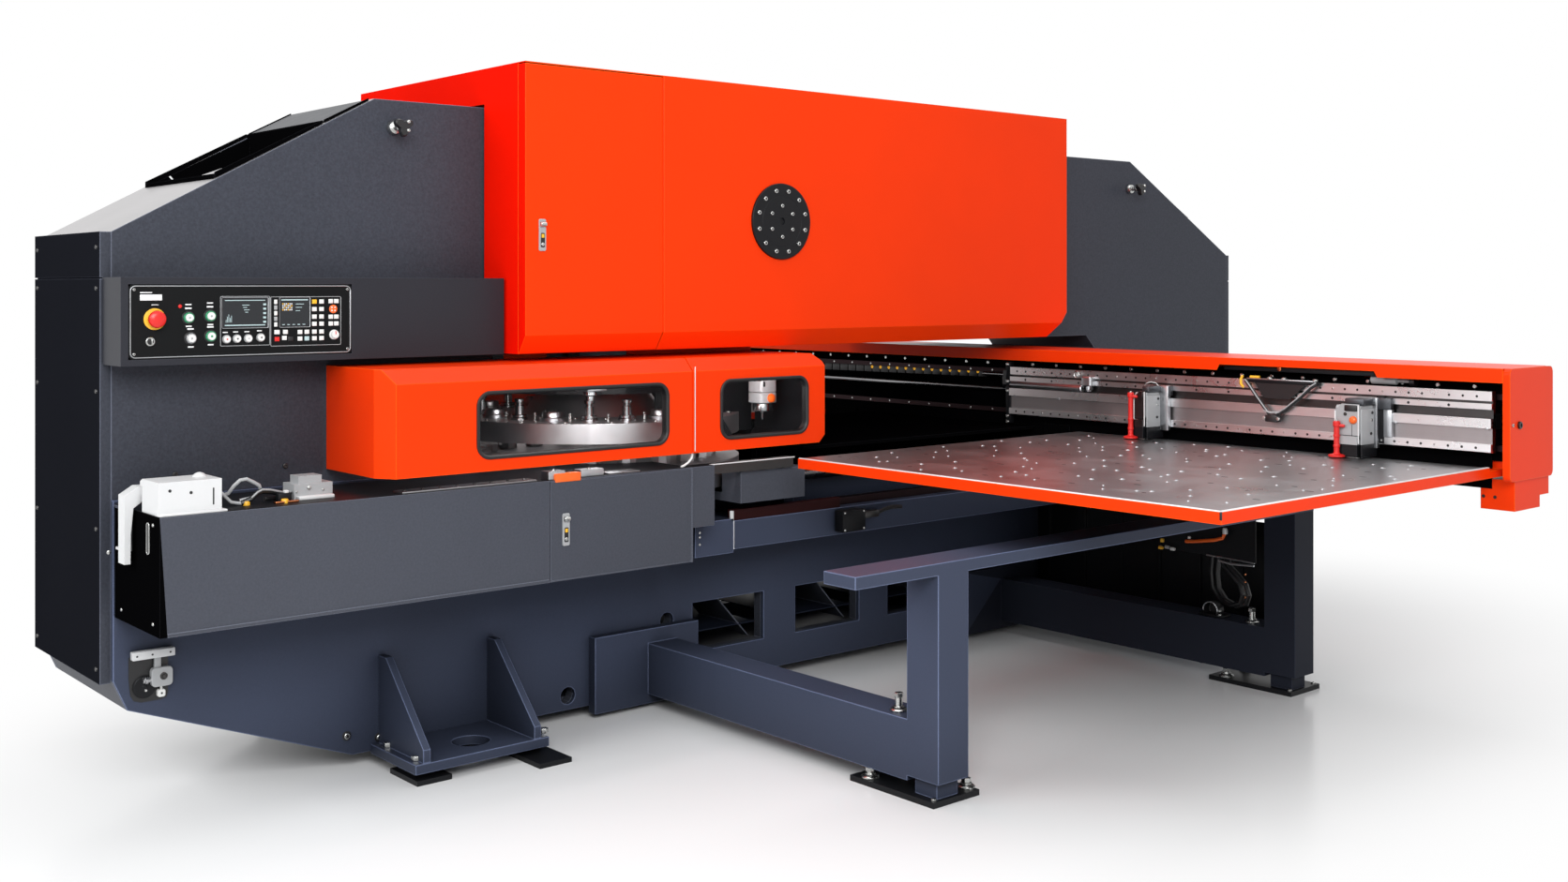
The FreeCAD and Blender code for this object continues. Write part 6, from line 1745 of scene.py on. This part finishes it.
@dataclass
class TableTrim:
    """Ball transfers, holes and the edge strip of the two moving tables."""

    level: float = 930
    inner: float = 842
    outer: float = 2584
    near: float = -616
    far: float = 957
    forms: int = 190  # balls and holes of one table, those past its edges left out
    in_row: int = 16
    pitch_x: float = 108
    pitch_y: float = 128

    def stray(self, number: float) -> float:
        """Return a share from 0 to 1 that looks random and is always the same for a number."""
        return math.sin(number * 12.9898) * 43758.5453 % 1

    def build(self) -> None:
        """Build the balls and edge strips, which ride on the cross beam."""
        balls = Workpiece("ball_transfers")
        edges = Workpiece("table_edge_strips")
        for sign in (1, -1):
            for number in range(self.forms):
                row, k = divmod(number, self.in_row)
                x = self.inner + 50 + self.pitch_x * (k + self.stray(number))
                y = self.near + 60 + self.pitch_y * (row + self.stray(number + 7.3))
                if x > self.outer - 40 or y > self.far - 60:
                    continue
                place = (x * sign, y, self.level)
                size = 3.5 + 4.5 * self.stray(number + 3.1)
                if number % 3:
                    ball = [(size * 1.5, 0), (size * 1.4, 0.8), (size, 1), (size * 0.8, 2.4), (0, 3.4)]
                    balls.turned(ALUMINIUM, place, Z, ball, 10)
                else:
                    # slotted holes drawn as thin black plates: painted shade in the holes
                    wide = 2 * size
                    hole = loop_points((place[0] - wide, y - 6), (place[0] + wide, y + 6), 5.9, 3)
                    balls.section(BLACK_PLASTIC, Z, hole, self.level - 0.5, self.level + 0.35, 0.1)
            inner, outer = sorted((self.inner * sign, self.outer * sign))
            end = sorted(((self.outer - 6) * sign, (self.outer + 4) * sign))
            for low, high in (
                ((inner, self.near - 4), (outer, self.near + 6)), ((end[0], self.near), (end[1], self.far))
            ):
                edges.block(PRINT_WHITE, (*low, self.level - 1), (*high, self.level + 2), 0.6)
            low, high = sorted(((self.outer - 2) * sign, (self.outer + 5) * sign))
            edges.block(RUBBER, (low, self.near - 5, 906), (high, self.near - 1, 929))
        balls.done("beam")
        edges.done("beam")


@dataclass
class BeamTrim:
    """What shows on the beam and the work carriage: screws, chain, hoses, cylinders and holes."""

    front: float = 1050
    screws: int = 39
    screw_pitch: float = 132
    links: int = 26
    link_pitch: float = 58
    link_climb: float = 14  # how much higher the chain's last link lies than its first
    holes_in_bar: int = 43
    hole_pitch: float = 49

    def on_beam(self) -> None:
        """Row of screws, a near-black band that is painted shade, the chain with its glowing yellow pins and
        the cylinder under the notch.
        """
        piece = Workpiece("beam_fittings")
        # a near-black sheet along the beam's lower front: painted shade
        piece.block(SHADE_BLACK, (-2560, 1036, 850), (2560, 1042, 972))
        for k in range(self.screws):
            x = -2520 + self.screw_pitch * k
            piece.turned(ZINC, (x, self.front, 1198), Y, [(8, 0), (8, -6), (6, -8), (0, -8)], 12)
            for z in (990, 1166):
                piece.turned(ZINC, (x + 40, self.front - 20, z), Y, [(4.5, 0), (4, -0.3), (0, -0.3)], 10)
        for k in range(self.links):
            x = -1260 + self.link_pitch * k
            z = 1118 + self.link_climb * k / self.links
            piece.block(BLACK_PLASTIC, (x, 1048.8, z), (x + 52, 1051, z + 34), 0.4)
            if k > 11:
                # the chain's yellow pins glow: painted glow
                dot = [(8.5, 1), (8.5, 0), (6, -0.3), (0, -0.4)]
                piece.turned(LIT_YELLOW, (x + 55, 1048.8, z + 24), Y, dot, 14)
        rosy = [(0, 0), (15, 0), (16, 4), (16, 92), (13, 96), (7, 98), (7, 150), (0, 150)]
        piece.turned(SILVER_COAT, (2128, 1026, 1206), X, rosy, 24)
        piece.turned(BLACK_PLASTIC, (2276, 1026, 1206), X, [(0, 0), (18, 0), (18, 18), (0, 18)], 20)
        piece.block(BLACK_COAT, (1520, 1000, 1218), (2150, 1046, 1240), 5)
        piece.turned(COPPER, (1767, 1000, 1231), Y, [(9, 0), (9, -6), (0, -8)], 16)
        piece.done("beam")

    def bracket(self, piece: Workpiece) -> None:
        """Upright lead bracket at the carriage's end, and its long silver cylinder.

        Args:
            piece: The piece that takes it.
        """
        piece.block(BLACK_COAT, (404, 992, 936), (430, 1020, 1208), 3)
        for z in (1198, 1122, 1080, 968, 942):
            piece.turned(ZINC, (417, 992, z), Y, [(8, 0), (8, -5), (5, -7), (0, -7)], 14)
        piece.tube(
            BLACK_PLASTIC,
            [(380, 1012, 1120), (392, 996, 1096), (402, 990, 1110), (400, 988, 1140), (404, 990, 1170)], 8,
        )
        piece.turned(TURNED, (262, 1006, 1150), X, [(0, 0), (9, 0), (9, 150), (0, 150)], 20)
        body = [(0, 0), (13, 0), (15, 3), (15, 392), (12, 396), (0, 396)]
        piece.turned(ALUMINIUM, (440, 990, 1109), X, body, 28)
        piece.section(ALUMINIUM, Z, loop_points((846, 962), (900, 1002), 12, 5), 1122, 1162, 4)
        piece.turned(TURNED, (872, 982, 1100), Z, [(0, 0), (14, 0), (20, 8), (22, 22)], 24)
        ring = [
            (808 + 14 * math.cos(k * math.pi / 8), 984, 1168 + 14 * math.sin(k * math.pi / 8))
            for k in range(16)
        ]
        piece.tube(ZINC, ring, 3, closed=True)

    def hoses(self, piece: Workpiece) -> None:
        """Lead bundle that hangs in a V in front of the bar, with its yellow fittings.

        Args:
            piece: The piece that takes it.
        """
        piece.block(BLACK_COAT, (1632, 974, 1176), (1944, 992, 1190), 3)
        piece.block(ALUMINIUM, (1640, 972, 1188), (1930, 980, 1193), 1.5)
        piece.section(BLACK_PLASTIC, Y, [(1672, 1176), (1888, 1176), (1822, 1118), (1712, 1118)], 978, 984, 1)
        left = [(1638, 972, 1182), (1660, 968, 1160), (1690, 966, 1122), (1722, 966, 1084), (1742, 968, 1060)]
        right = [
            (1938, 972, 1182), (1916, 968, 1168), (1868, 966, 1124), (1812, 966, 1080), (1772, 968, 1058)
        ]
        for route in (left, right):
            piece.tube(BLACK_PLASTIC, route, 7)
            piece.tube(SILVER_COAT, [(x, y - 6, z + 5) for x, y, z in route], 2.6)
        piece.tube(SILVER_COAT, [(1722, 964, 1072), (1750, 962, 1066), (1790, 964, 1070)], 4)
        piece.block(BLACK_PLASTIC, (1728, 958, 1030), (1782, 986, 1056), 4)
        for x in (1724, 1784):
            piece.turned(ZINC, (x, 960, 1044), Y, [(7, 0), (6, -4), (0, -5)], 14)
        piece.tube(
            YELLOW_PLASTIC, [(1618, 980, 1200), (1616, 972, 1186), (1620, 966, 1168), (1632, 966, 1156)], 5.5
        )
        piece.turned(YELLOW_PLASTIC, (1650, 984, 1196), X, [(0, 0), (6, 0), (6, 40), (0, 40)], 14)
        for x in (1740, 1800, 1930):
            piece.turned(ZINC, (x, 976, 1192), Z, [(11, 0), (11, 6), (6, 9), (0, 9)], 16)

    def holes(self, piece: Workpiece) -> None:
        """Threaded holes in the bar's strips, drawn as black discs for painted shade in them, and small bright
        set-screws between them.

        Args:
            piece: The piece that takes them.
        """
        for k in range(self.holes_in_bar):
            x = 470 + self.hole_pitch * k
            for z, face, size in ((1168, 993, 4.4), (992, 985, 4.6)):
                if k % 4 == 3:
                    piece.turned(ZINC, (x, face, z), Y, [(4, 0), (3.6, -1.4), (0, -1.6)], 12)
                else:
                    # a hole as a black disc: painted shade in it
                    piece.turned(BLACK_PLASTIC, (x, face, z), Y, [(size, 0), (size, -0.5), (0, -0.5)], 12)
            if k % 3 == 1:
                # a hole as a black disc: painted shade in it
                piece.turned(BLACK_PLASTIC, (x, 991, 1133), Y, [(5, 0), (5, -0.5), (0, -0.5)], 12)
        for x in (455, 700, 2230, 2560):
            piece.block(ALUMINIUM, (x, 984, 1056), (x + 12, 996, 1064))
        piece.block(BLACK_COAT, (2166, 984, 980), (2196, 1000, 1150), 2)
        piece.block(ALUMINIUM, (2196, 978, 1004), (2228, 996, 1104), 3)

    def build(self) -> None:
        """Build what is fixed to the beam and what slides with the carriage."""
        self.on_beam()
        piece = Workpiece("carriage_fittings")
        self.bracket(piece)
        self.hoses(piece)
        self.holes(piece)
        piece.done("carriage")
        caps = Workpiece("end_cap_trim")
        for sign in (1, -1):
            caps.screw(DARK_STEEL, (2649 * sign, 1044, 1074), X, 13, sign)
            caps.screw(ZINC, (2649 * sign, 996, 1076), X, 6, sign)
            # holes in the end caps as black discs: painted shade in them
            for x in (2530, 2570):
                caps.turned(BLACK_PLASTIC, (x * sign, 1038, 822), Y, [(6, 0), (6, -0.6), (0, -0.6)], 14)
        caps.done("beam")


@dataclass
class WorkClamp:
    """One work clamp: body, front and side plates, foot, post, red finger and its jaw's block."""

    number: int
    left: float
    right: float
    finger: float
    finger_top: float
    front: Finish
    cap: Flat
    level: float = 934  # where the finger stands
    foot: float = 931  # underside of the clamp

    def jaw(self) -> None:
        """Build the upper jaw: a black gripping block under a silver head."""
        piece = Workpiece(f"jaw_block_{self.number}")
        low, high = self.right - 74, self.right - 6
        grip = [(866, 938.5), (927, 938.5), (927, 963), (906, 963), (906, 980), (866, 980)]
        piece.section(BLACK_COAT, X, grip, low, high, 1)
        head = [(866, 980), (906, 980), (906, 988), (870, 1010), (866, 1010)]
        piece.section(self.front, X, head, low, high, 1)
        piece.done(f"jaw_{self.number}", [f"jaw_{self.number}"])

    def finger_post(self, piece: Workpiece) -> None:
        """Stand the red finger on its foot, with its head and levers.

        Args:
            piece: The piece that takes it.
        """
        place = (self.finger, 856, self.level)
        high = self.finger_top - self.level
        post = [(0, 0), (28, 0), (29, 2), (29, 6), (22, 9), (13, 11), (10, 16)]
        post += [(10, high - 22), (13, high - 18), (13, high - 4), (10, high), (0, high)]
        piece.turned(RED_PLASTIC, place, Z, post, 28)
        for up in (34, 70):
            piece.turned(
                RED_PLASTIC, (*place[:2], self.level + up), Z, [(10, 0), (12, 2), (12, 8), (10, 10)], 20
            )
        lever = [(0, 0), (6, 0), (6, 22), (4, 26), (0, 26)]
        piece.turned(RED_PLASTIC, (self.finger + 4, 858, self.finger_top - 16), X, lever, 16)
        piece.turned(ZINC, (self.finger, 856, self.finger_top), Z, [(5, 0), (5, 5), (0, 6)], 12)

    def build(self) -> None:
        """Build this clamp, which slides with the carriage, and its jaw."""
        self.jaw()
        piece = Workpiece(f"clamp_unit_{self.number}")
        left, right = self.left, self.right
        body = [(912, 966), (984, 966), (984, 1118), (884, 1118), (876, 1110), (876, 1022), (912, 996)]
        piece.section(SILVER_COAT, X, body, left, right, 1.5)
        piece.block(BLACK_COAT, (left, 934, self.foot), (right, 984, 966), 1.5)
        piece.block(DARK_STEEL, (right - 80, 866, self.foot), (right, 934, 936.5))
        face = [(left, 1012), (right, 1012), (right, 1124), (left + 26, 1124), (left, 1100)]
        piece.section(self.front, Y, face, 870, 876, 1)
        # white strips down the front plate's edges: painted highlights
        for x in (left + 2, right - 2):
            piece.block(PRINT_WHITE, (x - 2, 868, 984), (x + 2, 871, 1098 if x < right - 3 else 1122), 0.8)
        piece.block(SILVER_COAT, (right, 878, 980), (right + 6, 966, 1106), 1.5)
        piece.block(BLACK_COAT, (right + 0.5, 878, 933), (right + 7, 984, 978), 1.5)
        piece.block(BLACK_PLASTIC, (left + 38, 866, 1098), (right - 6, 890, 1121), 4)
        piece.block(CAST, (left + 30, 884, 1119), (right + 10, 984, 1144), 5)
        piece.block(ALUMINIUM, (right + 2, 966, 964), (right + self.cap[0], 985, 1144), 2)
        piece.block(CAST, (right + self.cap[0], 972, 1104), (right + self.cap[1], 992, 1144), 2)
        for k, z in enumerate((1092, 1066, 1018)):
            piece.screw(ZINC if k % 2 else DARK_STEEL, (right + 6, 950 - 4 * k, z), X, 5.5)
        if self.front is SILVER_COAT:
            ball = [(14, 0), (14, -4), (12, -9), (7, -13), (0, -14)]
            piece.turned(ORANGE_PLASTIC, (right - 21, 870, 1068), Y, ball, 24)
            piece.turned(DARK_STEEL, (left + 42, 870, 1088), Y, [(6, 0), (6, -3), (0, -3)], 14)
            piece.block(DARK_STEEL, (left + 66, 869, 984), (left + 68, 870.4, 1052), 0.5)
        else:
            lead = [
                (left + 10, 930, 1140), (left + 16, 930, 1152), (left + 34, 936, 1158),
                (left + 52, 946, 1155), (left + 60, 956, 1140),
            ]
            piece.tube(ZINC, lead, 1.8)
        self.finger_post(piece)
        piece.done("carriage", [f"clamp_{self.number}"])


# ---------------------------------------------------------------- studio

# Each lamp's name, place, target and size in metres, and its watts; the last two light the turrets
LAMPS: tuple[tuple[str, Point, Point, Flat, float], ...] = (
    ("front_softbox", (6.1, -4.4, 4.0), (0.3, -1.3, 1.0), (4.0, 3.0), 370.0),
    ("end_softbox", (0.0, -7.5, 4.0), (0.0, -1.0, 1.2), (5.0, 3.0), 220.0),
    ("top_softbox", (0.5, 0.0, 6.0), (0.5, 0.0, 0.0), (5.0, 5.0), 150.0),
    ("turret_fill", (0.69, -1.48, 1.215), (0.50, -1.48, 1.03), (0.60, 0.03), 3.2),
    ("ram_fill", (0.68, -0.70, 1.20), (0.50, -0.52, 1.12), (0.12, 0.03), 1.0),
)
WHITE = (1.0, 1.0, 1.0, 1.0)


@dataclass
class Studio:
    """Floor, backdrop light, lamps and camera of the picture."""

    floor_colour: str = "f3f4f5"
    floor_half: float = 40.0
    world_level: float = 0.35
    eye: Point = (5.053, -4.3245, 1.550)
    heading: float = 49.2
    lens: float = 36.065
    sensor: float = 36.0
    shift_up: float = -0.0996
    fade_middle: Point = (-0.7, 0.0, 0.0)  # where the floor starts to fade, and how far each way
    fade_scale: Point = (1.0, 0.62, 0.0)
    fade_from: float = 1.2
    fade_to: float = 2.7
    cloud_mm: float = 900.0
    gloss: Flat = (0.16, 0.26)
    specular: float = 0.2

    def white_to_camera(self, tree: Tree) -> Socket:
        """Add a mask of the rays that should see the white background.

        Args:
            tree: The node tree that takes the nodes.

        Returns:
            The socket, 1 for camera, glossy and transmitted rays.
        """
        path = add_node(tree, "LightPath")
        both = {0: path.outputs["Is Camera Ray"], 1: path.outputs["Is Glossy Ray"]}
        first = add_node(tree, "Math", {"operation": "MAXIMUM"}, both)
        both = {0: first.outputs[0], 1: path.outputs["Is Transmission Ray"]}
        return add_node(tree, "Math", {"operation": "MAXIMUM"}, both).outputs[0]

    def world(self) -> None:
        """Light from all round at a plain level, and a white background."""
        world = bpy.data.worlds.new("studio_white")
        bpy.context.scene.world = world
        world.use_nodes = True
        tree = world.node_tree
        tree.nodes.clear()
        around = add_node(tree, "Background", {"Color": WHITE, "Strength": self.world_level})
        seen = add_node(tree, "Background", {"Color": WHITE, "Strength": 1.0})
        both = add_node(
            tree, "MixShader", links={0: self.white_to_camera(tree), 1: around.outputs[0], 2: seen.outputs[0]}
        )
        add_node(tree, "OutputWorld", links={"Surface": both.outputs[0]})

    def floor_place(self, tree: Tree) -> Socket:
        """Add the place on the floor, as measured from under the machine and drawn in along the bridge.

        Args:
            tree: The floor's node tree.

        Returns:
            The socket that holds it, in metres.
        """
        where = add_node(tree, "TexCoord")
        settings = {"Location": self.fade_middle, "Scale": self.fade_scale}
        return add_node(tree, "Mapping", settings, {"Vector": where.outputs["Object"]}).outputs[0]

    def floor(self) -> None:
        """A broad glossy floor that keeps the machine's shadow and fades into the white background."""
        half = self.floor_half
        mesh = bpy.data.meshes.new("studio_floor")
        corners = [(-half, -half, 0.0), (half, -half, 0.0), (half, half, 0.0), (-half, half, 0.0)]
        mesh.from_pydata(corners, [], [(0, 1, 2, 3)])
        floor = bpy.data.objects.new("studio_floor", mesh)
        bpy.context.scene.collection.objects.link(floor)
        material, tree, shader = new_material("polished_floor")
        cloud = noise_nodes(tree, self.cloud_mm, 1.0)
        feed(tree, shader, {
            "Roughness": range_nodes(tree, cloud, self.gloss), "Base Color": linear(self.floor_colour),
            "Specular IOR Level": self.specular,
        })
        reach = add_node(tree, "VectorMath", {"operation": "LENGTH"}, {0: self.floor_place(tree)})
        ends = (self.fade_from, self.fade_to)
        fade = range_nodes(tree, reach.outputs["Value"], (0.0, 1.0), ends, interpolation_type="SMOOTHSTEP")
        both = {0: fade, 1: self.white_to_camera(tree)}
        seen = add_node(tree, "Math", {"operation": "MULTIPLY"}, both)
        white = add_node(tree, "Emission", {"Strength": 1.0})
        mixed = add_node(
            tree, "MixShader",
            links={0: seen.outputs[0], 1: shader.outputs["BSDF"], 2: white.outputs["Emission"]},
        )
        output = next(node for node in tree.nodes if node.bl_idname == "ShaderNodeOutputMaterial")
        tree.links.new(mixed.outputs["Shader"], output.inputs["Surface"])
        mesh.materials.append(material)

    def lamp(self, name: str, place: Point, target: Point, size: Flat, watts: float) -> None:
        """Hang one soft box.

        Args:
            name: The lamp's name.
            place: Where it hangs, in metres.
            target: What it points at, in metres.
            size: Its width and height, in metres.
            watts: Its power.
        """
        light = bpy.data.lights.new(name, "AREA")
        light.shape = "RECTANGLE"
        light.size, light.size_y = size
        light.energy = watts
        lamp = bpy.data.objects.new(name, light)
        lamp.location = place
        lamp.visible_camera = False
        lamp.rotation_euler = (Vector(target) - Vector(place)).to_track_quat("-Z", "Y").to_euler()
        bpy.context.scene.collection.objects.link(lamp)

    def camera(self) -> None:
        """Stand the camera where the photograph's vanishing directions put it."""
        data = bpy.data.cameras.new("picture_camera")
        data.lens = self.lens
        data.sensor_width = self.sensor
        data.shift_y = self.shift_up
        camera = bpy.data.objects.new("picture_camera", data)
        camera.location = self.eye
        camera.rotation_euler = (math.radians(90), 0.0, math.radians(self.heading))
        bpy.context.scene.collection.objects.link(camera)
        bpy.context.scene.camera = camera

    def build(self) -> None:
        """Set up everything round the machine."""
        scene = bpy.context.scene
        scene.view_settings.view_transform = "Standard"
        self.world()
        self.floor()
        for row in LAMPS:
            self.lamp(*row)
        self.camera()


# ---------------------------------------------------------------- main


def main() -> None:
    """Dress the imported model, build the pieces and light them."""
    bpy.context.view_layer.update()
    Studio().build()
    dress_solids()
    for row in FACE_FINISHES:
        dress_faces(*row)
    sections = (
        ControlPanel(), TurretTools(), WindowSeals(), HeadTrim(), SideBoxTrim(), BaseTrim(), TableTrim(),
        BeamTrim(), WorkClamp(1, 1188.0, 1242.0, 1184.0, 1118.0, DARK_STEEL, (42.0, 50.0)),
        WorkClamp(2, 2068.0, 2162.0, 2084.0, 1062.0, SILVER_COAT, (16.0, 66.0)),
    )
    for section in sections:
        LOG.info("building %s", type(section).__name__)
        section.build()


if __name__ == "__main__":
    logging.basicConfig(level=logging.INFO, format="%(message)s")
    main()
